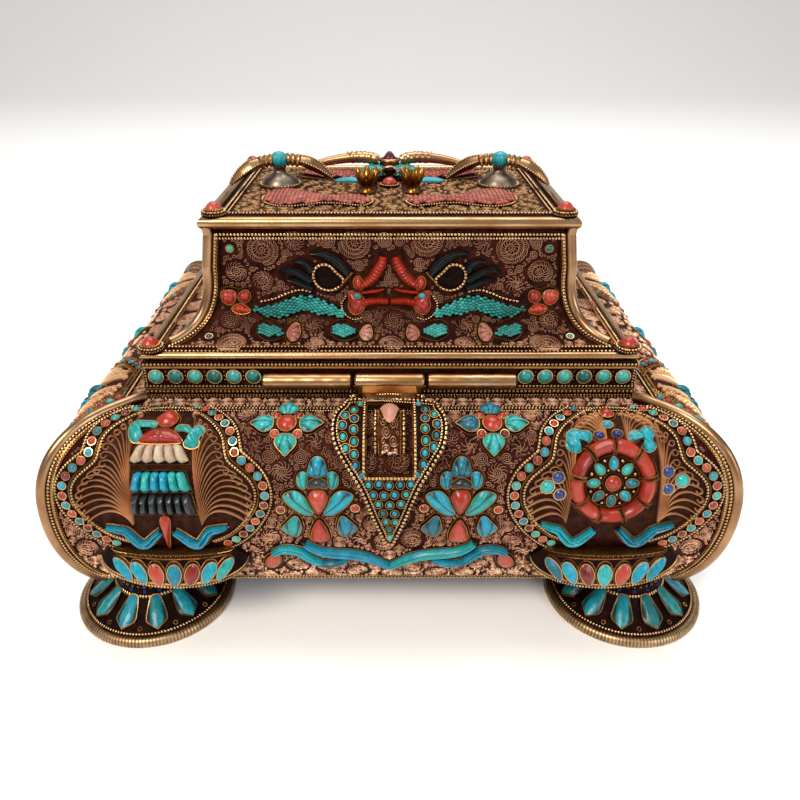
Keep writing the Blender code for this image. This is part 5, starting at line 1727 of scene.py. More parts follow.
@dataclass(frozen=True)
class LidShell:
    """The copper lid under the ornament: band, rail ledge, cove, waist, top and its hollow inside."""

    wall: float = 1.5
    chamfer: float = 2.8

    def build(self) -> None:
        """Carries the section round the box; the two end loops close on the top's outside and inside."""
        reach, level = COVE_WALL.reach, COVE_WALL.height
        band, foot = SIZES.band_reach, float(reach[0])
        low, top, lid_top = SIZES.band_low, SIZES.band_top, SIZES.lid_top
        out = [[band, band, foot], reach, [-self.chamfer]]
        out_level = [[low, top, top], level, [lid_top]]
        back = [[-self.chamfer - 1.0, -self.wall], (reach - self.wall)[::-1], np.array([foot, band, band]) - self.wall]
        under = top - self.wall
        back_level = [[lid_top - self.wall, SIZES.waist_top - 1.0], level[::-1], [under, under, low]]
        reach, level = np.concatenate(back + out), np.concatenate(back_level + out_level)
        heap = Heap()
        heap.skins(box_loops(SIZES.waist_width, SIZES.waist_depth, reach, level)[None], lift=0.2)
        heap.piece("lid_shell", GROUND, "filigree", replaces=("lid",), sharp=50.0)


def sweep(path: Array, half: Array | float, sides: int = 12, side: tuple[float, ...] | None = None) -> Array:
    """A round bar along a path in space: centre + half (side cos t + rise sin t).

    Side is square to the path and level, and rise is square to both.

    Args:
        path: its middle line as (rows, 3).
        half: its radius along the path.
        sides: how many points each loop has.
        side: one side for the whole path, for a path that lies in an upright plane.

    Returns:
        Loops as (rows, sides, 3).
    """
    run = headings(path)
    side = np.cross(run, [0.0, 0.0, 1.0]) if side is None else np.tile(side, (len(path), 1))
    size = np.linalg.norm(side, axis=1, keepdims=True)
    side = np.where(size > 1e-4, side / np.maximum(size, 1e-4), [1.0, 0.0, 0.0])
    rise = np.cross(side, run)
    turn = full_turn(sides)
    half = np.broadcast_to(half, len(path))[:, None, None]
    across, up = np.cos(turn)[:, None], np.sin(turn)[:, None]
    return path[:, None] + half * (side[:, None] * across + rise[:, None] * up)


@dataclass(frozen=True)
class CornerTubes:
    """Gilt tubes along the mitred corners of a wall; the beaded wires beside them are laid with the sides' borders."""

    wall: Wall
    prefix: str
    first: float
    last: float
    over: Points = ()
    radius: float = 1.9
    gap: float = -0.7

    def build(self) -> None:
        """One tube at each corner. Its middle line is the corner's own line, moved out square to both sides.

        Over holds further points (reach, level) that it runs through past the wall's upper end.
        """
        up = np.linspace(self.first, self.last, 60)
        lengths = self.wall.lengths
        out, high = self.wall.ways
        way = np.stack([np.interp(up, lengths, out), np.interp(up, lengths, high)], -1)
        ridge = np.sqrt(2 * way[:, 0] ** 2 + way[:, 1] ** 2)
        off = (self.radius + self.gap - 1.5 * way[:, 0] / ridge) / ridge
        reach = np.interp(up, lengths, self.wall.reach) + way[:, 0] * off
        level = np.interp(up, lengths, self.wall.height) + way[:, 1] * off
        if self.over:
            reach, level = smooth(np.concatenate([np.stack([reach, level], -1), self.over]), 90).T
        heap = Heap()
        names = []
        for sign_x, sign_y, corner in CORNERS:
            x, y = sign_x * (self.wall.half_width + reach), sign_y * (self.wall.half_depth + reach)
            rows = sweep(np.stack([x, y, level], -1), self.radius, 14, (-sign_y, sign_x, 0.0))
            heap.skins(rows[None], lift=0.85)
            names.append(f"{self.prefix}_{corner}")
        heap.piece(f"{self.prefix}s", CORNER_TUBE, "gilt", replaces=names)


@dataclass(frozen=True)
class SideWork:
    """All the ornament on one side of the body."""

    side: Side

    @property
    def panel(self) -> Panel:
        """The surface that it is laid on."""
        return Panel(BODY_WALL, self.side)

    @property
    def shares(self) -> float:
        """How far the medallions stand from the middle of the side."""
        return 77.5 if self.side.wide else 57.5

    def borders(self, bench: Bench) -> None:
        """Beaded wires along the corners, the rim and the foot."""
        panel = self.panel
        wires, strips = bench.of(GILT_BEAD), bench.of(GILT_STRIP)
        up = np.linspace(1.5, 83.0, 90)
        for way in WAYS:
            for inset, radius in ((2.4, 0.66), (4.0, 0.5)):
                edge = panel.beside_corner(way, up, -inset)
                wires.granules(edge, radius, 0.3, pitch=TOUCHING)
            strips.strip(panel.beside_corner(way, up, -3.1), 1.5, 0.35, Section.FLAT_WIRE)
        for level, radius in ((82.9, 0.6), (81.4, 0.45), (1.2, 0.6), (3.0, 0.7), (4.9, 0.5)):
            ends = panel.edge(level) - (4.0 if level > 10 else 2.0)
            wires.granules(np.array([(-ends, level), (ends, level)]), radius, 0.2, pitch=TOUCHING)

    def medallions(self, bench: Bench) -> list[Array]:
        """The two medallions and their thrones; returns the outlines that they cover."""
        covered = []
        places = {Side.LEFT: ("rear", "fore"), Side.RIGHT: ("fore", "rear")}.get(self.side, ("left", "right"))
        motifs = ("banner", "wheel") if self.side is Side.FRONT else ("lotus", "lotus")
        for way, place, motif in zip((-1, 1), places, motifs):
            middle = way * self.shares
            frame_work = Ogee(middle)
            frame_work.build(bench)
            throne = Throne(middle)
            throne.build(bench, self.panel)
            bench.stands_for(GILT_STRIP, f"throne_{self.side.name.lower()}_{place}")
            if motif == "banner":
                frame_work.field(bench)
                Banner(middle - 0.5).build(bench)
            elif motif == "wheel":
                frame_work.field(bench, (16.0, 38.0), 15)
                frame_work.crest(bench)
                Wheel(middle - 1.5).build(bench)
            else:
                frame_work.field(bench, (11.0, 36.0), 15)
                frame_work.crest(bench, 7)
                Lotus(middle, 37.5).build(bench)
                wave = ((4.0, 35.0), (8.0, 31.4), (12.0, 30.2), (15.4, 32.6), (18.6, 36.0), (23.0, 38.6))
                lay_ribbons(bench, middle, wave)
            bench.stands_for(TURQUOISE, f"{motif}_{self.side.name.lower()}_{place}")
            covered += [frame_work.outline, throne.hull()]
        return covered

    def build(self) -> None:
        """Builds every piece of the side."""
        front = self.side is Side.FRONT
        bench = Bench(f"body_{self.side.name.lower()}", self.panel, tiny=FINE if front else COARSE)
        self.borders(bench)
        reach = self.panel.edge(40.0)
        field = CurlField((-reach, 5.6), (reach, 79.8), 9.0, 11 + self.side.wide)
        up = np.linspace(4, 82, 40)
        for way in WAYS:
            field.keep_off(self.panel.beside_corner(way, up, 2.0), 6.9)
            field.keep_off(self.panel.beside_corner(way, up, 12.0), 12.0)
        for outline in self.medallions(bench):
            field.keep_out(outline)
        if front:
            self.front(bench, field)
        else:
            self.plain(bench)
        for outline in bench.placed:
            field.keep_out(outline, 1.0)
        fine, coarse = (5.2, 4.2, 3.3, 2.6, 2.0, 1.5, 1.1, 0.8, 0.6, 0.45), (5.6, 4.4, 3.4, 2.5, 1.6, 1.1)
        lay_curls(bench, field, fine if front else coarse)
        bench.finish()

    def front(self, bench: Bench, field: CurlField) -> None:
        """Lotus sprays and cross flowers on either side of the hasp."""
        for way, place in ((-1, "left"), (1, "right")):
            lotus = Lotus(way * 24.5)
            lotus.build(bench)
            stems = Stems(way * 24.5, -way)
            stems.build(bench)
            for path, half in stems.paths():
                field.keep_off(path, half + 0.9)
            field.keep_off(np.array([(way * 43.0, 14.5), (way * 41.5, 21.5)]), 3.4)
            CrossFlower(way * 35.5).build(bench)
            spots = [(way * (24.5 - 12.6), 44.2), (way * (24.5 + 13.2), 43.6)]
            bench.cabochons(spots, 1.3, CORAL, 0.3)
            for spot in spots:
                bench.of(GILT_BEAD).ring(spot, 2.1, 16, 0.28, 0.3)
                field.keep_round(spot, 2.4)
            bench.stands_for(CORAL, f"lotus_spray_{place}", f"cross_flower_{place}")

    def plain(self, bench: Bench) -> None:
        """One flower between the medallions on the sides that the photograph barely shows."""
        CrossFlower(0.0, 60.0).build(bench)
        if self.side.wide:
            Lotus(0.0, 12.0).build(bench)
            for way in WAYS:
                bench.cabochons([(way * 26.0, 66.0), (way * 20.0, 38.0), (way * 30.0, 20.0)], 1.9, LAPIS, 0.3)


@dataclass(frozen=True)
class RimLedge:
    """The level strip between the body's wall and the lid's band: curls between two beaded wires."""

    outer: float = -0.7
    inner: float = -7.6

    def build(self) -> None:
        """One field for all four strips, barred on and inside the lid's band."""
        bench = Bench("rim_ledge", Level(SIZES.top_z))
        field = CurlField((-97.0, -77.0), (97.0, 77.0), 5.0, 41)
        for reach, radius in ((self.outer, 0.6), (self.inner, 0.55)):
            x, y = SIZES.core_width + reach, SIZES.core_depth + reach
            corner = rectangle(x, y)
            bench.of(GILT_BEAD).granules(corner, radius, 0.1, closed=True, pitch=TOUCHING)
            loop = resample(np.concatenate([corner, corner[:1]]), 400)
            field.keep_off(loop, 0.7)
            if reach == self.inner:
                field.keep_out(corner)
        for spot, step in zip(rectangle(92.5, 72.5), rectangle(0.1, 0.1)):
            field.keep_round(spot, 4.0, step)
        lay_curls(bench, field, (2.6, 2.0, 1.5, 1.1, 0.8, 0.55))
        bench.finish()


# ------------------------------------------------------------------ hasp, staple and hinge


def by_angle(outline: Array, centre: Array, angles: Array) -> Array:
    """The points where rays from a centre meet an outline, for an outline that each ray meets once."""
    dense = by_pitch(outline, 0.2, True) - centre
    turn = np.arctan2(dense[:, 1], dense[:, 0])
    order = np.argsort(turn)
    radius = np.interp(angles, turn[order], np.hypot(*dense[order].T), period=TAU)
    return centre + radius[:, None] * on_circle(angles)


@dataclass(frozen=True)
class Hasp:
    """The teardrop hasp: beaded borders round its edge and its slot, and a field of turquoise studs."""

    rim: float = 83.8
    half: float = 20.0
    drop: float = 56.0
    lift: float = 1.6
    thickness: float = 1.4
    slot: tuple[float, float, float] = (7.7, 57.2, 81.8)
    knuckle: float = 12.4
    shares: Points = (
        (0.0, 0.02), (0.09, 0.06), (0.25, 0.2), (0.5, 0.43), (0.76, 0.575), (0.945, 0.677), (1.0, 0.775), (0.96, 0.87),
        (0.8, 0.955), (0.6, 1.03),
    )
    studs: Points = (
        (-6.2, 84.6), (-2.2, 84.9), (1.9, 84.9), (5.9, 84.6), (-10.3, 81.3), (10.2, 81.5), (-12.4, 78.1), (12.5, 78.4),
        (-15.3, 75.8), (15.4, 76.3), (-12.1, 74.5), (12.2, 74.7), (-16.1, 72.2), (16.2, 72.6), (-12.2, 70.8),
        (12.1, 71.0), (-15.8, 68.6), (15.9, 69.0), (-12.0, 67.1), (12.2, 67.4), (-14.8, 65.1), (14.9, 65.5),
        (-12.0, 63.4), (11.9, 63.8), (-11.5, 60.1), (11.4, 60.4), (-9.3, 57.1), (9.5, 57.3), (-7.1, 54.1), (-3.6, 54.4),
        (-0.1, 53.9), (3.6, 54.2), (7.2, 54.3), (-5.5, 50.7), (-1.9, 50.5), (1.7, 50.8), (5.6, 50.9), (-3.8, 47.4),
        (0.1, 47.1), (3.9, 47.5), (-2.2, 44.0), (1.8, 43.8), (-1.3, 40.5), (2.0, 40.2), (-0.1, 37.1), (0.2, 33.7),
    )

    @property
    def panel(self) -> Panel:
        """The body's wall carried on as the leaf that rises to the barrel, lifted off it."""
        wall = BODY_WALL
        reach = np.concatenate([wall.reach, np.linspace(-1.5, -4.4, 4), [-5.0, -5.6]])
        level = np.concatenate([wall.height, np.linspace(88.2, 89.8, 4), [92.0, 95.2]])
        steps = np.hypot(np.diff(reach), np.diff(level))
        scale = self.rim / steps[: len(wall.reach) - 1].sum()
        return Panel(Wall(wall.half_width, wall.half_depth, reach, level, steps.sum() * scale), Side.FRONT, self.lift)

    @property
    def outline(self) -> Array:
        """The teardrop, drawn in shares of its half width and of its drop, with its neck."""
        half = np.array(self.shares) * [self.half, self.drop] + [0.0, self.rim - self.drop]
        neck = np.array([(11.4, self.rim + 2.9), (11.2, self.rim + 12.2)])
        right = np.concatenate([smooth(half, 40), neck])
        return np.concatenate([right, right[::-1][:-1] * [-1, 1]])

    def plate(self, bench: Bench, outer: Array, inner: Array) -> None:
        """The plate between its outline and its slot, and a dark cover that stops short of the copper leaf."""
        cut = np.stack([outer[:, 0], np.minimum(outer[:, 1], self.rim + 4.4)], -1)
        layers = (
            (GILT_STRIP, outer, np.linspace(0, 1, 21), self.thickness, 0.0, 0.35),
            (DEEP, cut, np.linspace(0.06, 0.9, 19), self.thickness + 0.12, self.thickness - 0.3, 0.1),
        )
        for finish, edge, shares, high, low, lift in layers:
            share = shares[:, None]
            flat = edge[:, None] * (1 - share) + inner[:, None] * share
            ends = flat[:, [-1, 0]]
            top = self.panel.place(flat[..., 0], flat[..., 1], high)
            under = self.panel.place(ends[..., 0], ends[..., 1], low)
            bench.skin(finish, np.concatenate([top, under], 1), lift, True)

    def borders(self, bench: Bench, face: float) -> None:
        """Two beaded wires round the teardrop, closed by an arch over it, and one round the slot."""
        half, low, high = self.slot
        wires = bench.of(GILT_BEAD)
        tear = self.outline
        tear = tear[tear[:, 1] < self.rim + 3.4]
        arch = ((-12.0, 2.0), (-7.5, 4.3), (0, 5.2), (7.5, 4.3), (12.0, 2.0))
        crown = smooth([(x, self.rim + y) for x, y in arch], 24)
        edge = np.concatenate([tear[len(tear) // 2 :], tear[: len(tear) // 2], crown[1:-1]])
        for out, radius, level in ((-0.7, 0.74, 0.1), (-2.1, 0.46, 0.0)):
            line = grown(smooth(edge[::3], 160, True), out)
            wires.granules(line, radius, face + level, closed=True, pitch=TOUCHING)
        half, low = half + 1.0, low - 1.0
        rim = np.array([(-half, high), (-half, low), (half, low), (half, high)])
        wires.granules(resample(rim, 80), 0.62, face, pitch=TOUCHING)
        bench.of(GILT_STRIP).strip(resample(rim, 60), 0.5, 0.3, Section.FLAT_WIRE, face)

    def build(self) -> None:
        """Plate, borders, studs, the copper leaf and the middle knuckle."""
        bench = Bench("hasp", self.panel, "hasp")
        centre = np.array([0.0, 70.0])
        half, low, high = self.slot
        hole = np.array([(half, low), (half, high), (-half, high), (-half, low)])
        angles = full_turn(96)
        self.plate(bench, by_angle(self.outline, centre, angles), by_angle(hole, centre, angles))
        face = self.thickness + 0.1
        self.borders(bench, face)
        spots = np.array(self.studs)
        bench.of(TURQUOISE).stones(circle(spots, 1.02, 12), 1.1, face, bench.tones(len(spots)), rings=3)
        bench.of(GILT_STRIP).collets(circle(spots, 1.42, 16), 0.13, 0.5, face)
        leaf = rectangle(10.6, 3.5) + [0.0, self.rim + 7.9]
        bench.of(COPPER).plate(evenly(leaf, 32), self.thickness + 0.3)
        ends = np.array([0.0, 0.0, 0.4, 0.9])
        x = np.concatenate([-self.knuckle + ends, self.knuckle - ends[::-1]])
        size = SIZES.hinge_radius * np.array([0.5, 0.82, 0.97, 1.0, 1.0, 0.97, 0.82, 0.5])
        bench.skin(GILT_TUBE, barrel_rows(x, size), 0.8)
        bench.stands_for(GILT_STRIP, "hasp")
        bench.finish()


def barrel_rows(x: Array, radius: Array) -> Array:
    """Loops round the hinge's line at places along it: (x, y + r cos t, z + r sin t)."""
    ring = radius[:, None, None] * on_circle(full_turn(20)) + [SIZES.hinge_y, SIZES.hinge_z]
    across = np.broadcast_to(x[:, None, None], (*ring.shape[:2], 1))
    return np.concatenate([across, ring], -1)


@dataclass(frozen=True)
class Hinge:
    """The lid's two knuckles: gilt tube, a little dented, with rounded ends."""

    inner: float = 13.0
    outer: float = 45.7

    def build(self) -> None:
        """One bar on each side; its radius swells and dips slightly along its length."""
        bench = Bench("hinge", Level(SIZES.hinge_z))
        x = np.linspace(self.inner, self.outer, 34)
        ends = np.minimum(x - self.inner, self.outer - x)
        for way in WAYS:
            dents = 1 - 0.018 * (1 + np.sin(x * 0.9 + way))
            size = SIZES.hinge_radius * (1 - 0.5 * np.exp(-ends * 2.6)) * dents
            bench.skin(GILT_TUBE, barrel_rows(way * x, size), 0.8)
        bench.stands_for(GILT_TUBE, "hinge_knuckle_left", "hinge_knuckle_right", "hinge_pin")
        bench.finish()


@dataclass(frozen=True)
class Arch:
    """The staple's curve over the body's wall: across is along the side, up is the distance round it."""

    low: float = 64.0
    high: float = 77.8
    height: float = 6.8
    length: float = 20.0

    def place(self, across: Array, up: Array, off: Array) -> Array:
        """Half an ellipse over the wall: up = middle - (half + off) cos t, off = (height + off) sin t."""
        across, up, off = np.broadcast_arrays(across, up, off)
        turn = math.pi * np.clip(up / self.length, 0, 1)
        middle, half = (self.low + self.high) / 2, (self.high - self.low) / 2
        level = middle - (half + off) * np.cos(turn)
        stand = 0.3 + (self.height + off) * np.sin(turn)
        return Panel(BODY_WALL, Side.FRONT).place(across, level, stand)


@dataclass(frozen=True)
class Staple:
    """The strap that stands through the slot: wirework face, beaded edges and a coral pear."""

    half: float = 5.4
    thickness: float = 1.3

    def build(self) -> None:
        """The strap as a closed skin, its edges, its wires and its stone."""
        arch = Arch()
        bench = Bench("staple", arch)
        up = np.linspace(0, arch.length, 25)
        section = np.array([(-1, -1), (1, -1), (1, 0), (-1, 0)]) * [self.half, self.thickness]
        rows = arch.place(section[:, 0], up[:, None], section[:, 1])
        bench.skin(GILT_STRIP, rows, 0.3)
        bench.stands_for(GILT_STRIP, "staple")
        wires = bench.of(GILT_BEAD)
        for across, radius in ((-4.8, 0.55), (4.8, 0.55), (-3.7, 0.36), (3.7, 0.36)):
            wires.granules(np.stack([np.full(25, across), up], -1), radius, -0.05)
        field = CurlField((-3.2, 1.0), (3.2, 10.6), 6.0, 3)
        for way in WAYS:
            field.keep_off(np.array([(way * 4.0, 0.0), (way * 4.0, 12.0)]), 0.8)
        lay_curls(bench, field, (1.5, 1.1, 0.8, 0.55))
        pear = ((0, 10.2), (1.3, 11.0), (2.9, 13.6), (3.3, 16.0), (2.2, 18.0), (0, 18.6))
        bench.set_stone(smooth(mirrored(pear), 26, True), 2.6, PINK_CORAL, 0.0, 0.9, None, 0.3)
        chevron = np.array([(-3.4, 11.8), (-1.6, 9.9), (0.0, 9.0), (1.6, 9.9), (3.4, 11.8)])
        bench.of(GILT_STRIP).strip(chevron, 0.25, 0.7, Section.WIRE)
        bench.finish()


# ------------------------------------------------------------------ the lid


@dataclass(frozen=True)
class LidBand:
    """The upright band: round turquoise in a row between beaded wires, on all four sides."""

    stone: float = 2.35
    pitch: float = 7.0

    def build(self) -> None:
        """Wires, strips and stones on each side, clear of the hinge on the front."""
        for side in Side:
            panel = Panel(BAND_WALL, side)
            bench = Bench(f"band_{side.name.lower()}", panel)
            half = panel.edge(1.0)
            wires, strips = bench.of(GILT_BEAD), bench.of(GILT_STRIP)
            for level, radius in ((0.9, 0.55), (2.5, 0.72), (4.6, 0.62), (13.3, 0.66)):
                wires.granules(np.array([(-half + 0.6, level), (half - 0.6, level)]), radius, 0.1)
            for level in (3.6, 12.2):
                line = level_line(np.linspace(-half, half, 24), level)
                strips.strip(line, 0.45, 0.8, Section.FLAT_WIRE)
            spots = np.arange(-half + 4.6, half - 3.0, self.pitch)
            spots = spots + (half - 4.6 - spots[-1]) / 2
            if side is Side.FRONT:
                spots = spots[np.abs(spots) > 48.5]
            rows = level_line(spots, 8.6)
            bench.cabochons(rows, self.stone, CHIPS, 0.1)
            between = ((rows[1:] + rows[:-1]) / 2)[np.diff(spots) < self.pitch * 1.5]
            for step in (-1.6, 0.0, 1.6):
                wires.balls(between + [0, step], 0.42, 0.1)
            for end in (-half + 0.7, half - 0.7):
                wires.granules(np.array([(end, 5.4), (end, 12.0)]), 0.5, 0.1)
            bench.finish()


@dataclass(frozen=True)
class Rails:
    """The lid's two rails: smooth gilt tubes round the foot of the cove and round the top."""

    low_z: float = 104.3
    low_reach: float = 22.3
    low_radius: float = 1.4
    top_z: float = 146.2
    top_reach: float = 0.9
    top_radius: float = 2.15

    def corners(self, reach: float) -> Array:
        """The four corners of a rail's middle line."""
        return rectangle(SIZES.waist_width + reach, SIZES.waist_depth + reach)

    def mitred(self, reach: float, z: float, radius: float) -> Array:
        """Loops at the corners: both half lengths grow by r cos t, at height r sin t."""
        turn = full_turn(14)[:, None]
        corner = np.concatenate([self.corners(reach), np.full((4, 1), z)], 1)
        away = np.sign(corner)[:, None] * [1, 1, 0] * np.cos(turn)
        return corner[:, None] + radius * (away + np.sin(turn) * [0, 0, 1])

    def build(self) -> None:
        """The two smooth tubes and the granules behind the lower one."""
        bench = Bench("rail", Level(0.0))
        low_z = self.low_z - 0.1
        for size in ((self.top_reach, self.top_z, self.top_radius), (self.low_reach, low_z, self.low_radius)):
            rows = self.mitred(*size)
            share = np.linspace(0, 1, 24, endpoint=False)[None, :, None, None]
            dense = rows[:, None] * (1 - share) + np.roll(rows, -1, 0)[:, None] * share
            bench.skin(GILT_TUBE, dense.reshape(-1, *rows.shape[1:]), 0.85, True)
        bench.stands_for(GILT_TUBE, "top_rail", "lower_rail")
        corner = self.corners(self.low_reach - 2.4)
        bench.of(GILT_BEAD, Level(self.low_z)).granules(corner, 0.72, 0.0, closed=True, pitch=TOUCHING)
        bench.finish()


@dataclass(frozen=True)
class Bosses:
    """Corals in beaded collets: one at each corner of the cove's foot and of the top."""

    def build(self) -> None:
        """Each is a short drum, a ring of granules and a dome."""
        for label, half, z, radius in (("lower", (85.5, 65.5), 106.0, 4.9), ("top", (62.8, 42.8), 148.4, 4.7)):
            bench = Bench(f"{label}_boss", Level(z))
            for sign_x, sign_y, corner in CORNERS:
                centre = np.array([sign_x * half[0], sign_y * half[1]])
                bench.of(GILT_STRIP).stones(circle(centre, radius * 0.9, 24), 1.6, 0.05, dome=30.0)
                dome = circle(centre, radius * 0.62, 20)
                bench.of(CORAL).stones(dome, 3.6, 1.1, bench.tones(1, 0.4, 0.9), rings=6)
                for share, sides, bead, low in ((0.86, 30, 0.62, 0.9), (0.66, 24, 0.42, 1.9), (0.9, 30, 0.5, 0.1)):
                    bench.of(GILT_BEAD).ring(centre, radius * share, sides, bead, low)
                bench.stands_for(CORAL, f"{label}_boss_{corner}")
            bench.finish()


def ribs(count: float, depth: float) -> Callable[[Array, Array], Array]:
    """Cross ribs along a strip: a dip of depth between each rib and the next."""

    def relief(along: Array, across: Array) -> Array:
        """Depth times a power of |cos|, the same all the way across."""
        return -depth * np.abs(np.cos(math.pi * along * count)) ** 3 + 0 * across

    return relief


@dataclass(frozen=True)
class Dragon:
    """A dragon on the lid's front, facing the middle: chip scales, coral head and tail, onyx horns.

    Everything is drawn for the right-hand side; way turns it over for the left.
    """

    way: float
    spine: Points = (
        (50.8, 22.2), (48.4, 21.1), (45.0, 20.5), (42.2, 20.5), (39.1, 21.3), (36.0, 22.9), (33.3, 23.7), (30.2, 24.0),
        (27.4, 22.9), (24.3, 21.6), (21.2, 20.9), (18.4, 19.6), (16.2, 18.3),
    )
    girth: tuple[float, ...] = (1.0, 3.4, 5.0, 6.4, 6.6, 7.0, 6.6, 6.2, 6.2, 6.2, 5.4, 4.2, 2.6)
    tail: tuple[Points, ...] = (
        ((62.2, 28.2), (60.1, 29.2), (57.4, 28.8), (56.7, 26.6), (58.1, 23.7), (59.8, 23.3), (61.9, 25.0)),
        ((55.0, 28.4), (52.9, 29.2), (51.5, 27.9), (51.7, 25.4), (53.6, 24.0), (55.0, 24.5), (56.0, 26.2)),
        ((56.4, 23.4), (54.3, 23.4), (51.9, 21.3), (52.2, 20.0), (55.3, 19.4), (58.1, 20.7), (58.2, 22.3)),
    )
    hind: Points = (
        (48.4, 14.8), (46.0, 16.0), (43.6, 14.8), (40.8, 13.2), (38.4, 11.2), (38.8, 9.6), (41.2, 8.3), (43.3, 7.3),
        (46.0, 8.0), (48.0, 10.2), (49.2, 12.8),
    )
    fore: Points = (
        (21.4, 13.2), (19.5, 15.1), (16.7, 15.1), (14.4, 13.7), (11.9, 12.1), (11.5, 10.3), (13.6, 8.4), (16.7, 7.2),
        (19.3, 8.3), (21.4, 10.8),
    )
    claws: tuple[Points, ...] = (
        ((37.6, 11.4), (36.0, 14.6), (33.9, 15.4), (33.0, 11.4), (33.8, 6.9), (35.7, 5.8), (37.1, 8.0)),
        ((10.7, 11.6), (9.2, 14.2), (7.2, 14.4), (6.4, 10.4), (7.2, 6.9), (9.4, 6.6), (10.6, 9.0)),
    )
    ring: Points = (
        (17.1, 33.9), (19.8, 36.8), (21.7, 38.9), (24.0, 39.4), (26.2, 38.7), (27.6, 36.8), (27.8, 33.9), (26.7, 31.4),
        (25.0, 29.8), (22.2, 29.1), (19.6, 29.8), (17.4, 31.7),
    )
    cheek: Points = (
        (15.3, 28.4), (13.3, 28.9), (10.9, 27.4), (9.3, 25.4), (9.2, 22.4), (10.3, 20.3), (12.9, 19.2), (14.5, 20.7),
        (15.2, 22.9), (14.8, 25.8),
    )
    brow: Points = (
        (12.9, 33.9), (11.5, 35.0), (10.3, 33.8), (9.8, 31.1), (10.7, 28.9), (12.3, 29.6), (13.2, 31.9),
    )
    horns: tuple[tuple[Points, tuple[float, ...]], ...] = (
        (
            ((15.0, 35.4), (17.0, 38.2), (19.6, 40.8), (22.2, 42.4), (25.0, 43.5), (28.6, 43.6)),
            (2.2, 3.2, 3.7, 3.3, 2.4, 0.8),
        ),
        (((28.4, 36.8), (29.6, 39.0), (31.4, 40.2), (33.6, 40.6), (35.6, 40.0)), (2.8, 2.9, 2.5, 1.6, 0.5)),
        (
            ((28.6, 32.8), (31.2, 34.6), (33.6, 36.2), (36.2, 37.1), (38.6, 37.2), (40.4, 36.0)),
            (2.8, 3.0, 3.0, 2.6, 2.0, 0.5),
        ),
        (((28.4, 29.8), (31.5, 31.2), (34.6, 32.8), (37.4, 33.6)), (2.6, 2.8, 2.3, 0.8)),
    )
    trunk: Points = ((10.6, 30.8), (7.6, 32.6), (5.6, 34.8), (4.0, 37.6), (2.7, 40.0), (2.2, 42.4))

    def laid(self, points: Points, count: int = 26, closed: bool = True) -> Array:
        """A drawing smoothed and turned to this dragon's side."""
        return smooth(flipped(points, self.way), count, closed)

    def stroke(
        self,
        bench: Bench,
        finish: Finish,
        points: Points,
        widths: Sequence[float],
        height: float,
        section: Section = Section.RIDGE,
        beads: float = 0.0,
        ribbed: float = 0.0,
        tone: float = 0.4,
    ) -> None:
        """A tapering strip along a curve.

        Args:
            bench: where it is laid.
            finish: what it is made of.
            points: its middle line.
            widths: its widths at even distances along it.
            height: its height.
            section: the shape carried along.
            beads: the radius of the granules along its edges, or 0 for none.
            ribbed: how many cross ribs it has, or 0 for none.
            tone: its tone.
        """
        count = 60 if ribbed else 30
        path = self.laid(points, count, False)
        half = tapered(widths, count)
        relief = ribs(ribbed, 0.5) if ribbed else None
        stand = height * (0.55 + 0.45 * half / half.max())
        bench.of(finish).strip(path, half, stand, section, 0.3, tone, relief=relief)
        if beads:
            bench.of(GILT_BEAD).edges(path, half + beads * 0.8, beads, 0.35)

    def scaled_body(self, bench: Bench) -> None:
        """The body: a half-round ground with chips on it, height * sqrt(1 - (across / half)^2)."""
        count = 80
        path = self.laid(self.spine, count, False)
        half = tapered(self.girth, count)
        # The near-black ground under the chips is painted shade between them.
        bench.of(DEEP).strip(path, half, 2.3 * half / half.max(), Section.ROUND, 0.2)
        length = np.linalg.norm(np.diff(path, axis=0), axis=1).sum()
        step = 1.22
        row, column = np.meshgrid(np.arange(1, int(length / step)), np.arange(-3, 4), indexing="ij")
        along = (row * step / length).ravel()
        off = ((column + 0.5 * (row % 2)) * 1.36).ravel()
        places = np.linspace(0, 1, count)
        run = np.gradient(path, axis=0)
        turn = np.interp(along, places, np.unwrap(np.arctan2(run[:, 1], run[:, 0])))
        room = np.interp(along, places, half)
        fits = np.abs(off) < room - 0.25
        along, off, turn, room = along[fits], off[fits], turn[fits], room[fits]
        middle = np.stack([np.interp(along, places, path[:, axis]) for axis in (0, 1)], -1)
        spots = middle + off[:, None] * np.stack([-np.sin(turn), np.cos(turn)], -1)
        chip = np.array([(-0.95, 0.0), (-0.4, 0.66), (0.6, 0.6), (0.85, 0.0), (0.6, -0.6), (-0.4, -0.66)])
        stand = 0.3 + 2.3 * room / half.max() * np.sqrt(np.clip(1 - (off / room) ** 2, 0, 1))
        shapes = spots[:, None] + turned_about(chip[None], turn[:, None])
        tones = np.clip(0.25 + 0.6 * along + bench.tones(len(along), -0.25, 0.25), 0, 1)
        bench.of(CHIPS).stones(shapes, 0.75, stand, tones, rings=2)
        bench.of(GILT_BEAD).edges(path, half + 0.3, 0.34, 0.3)

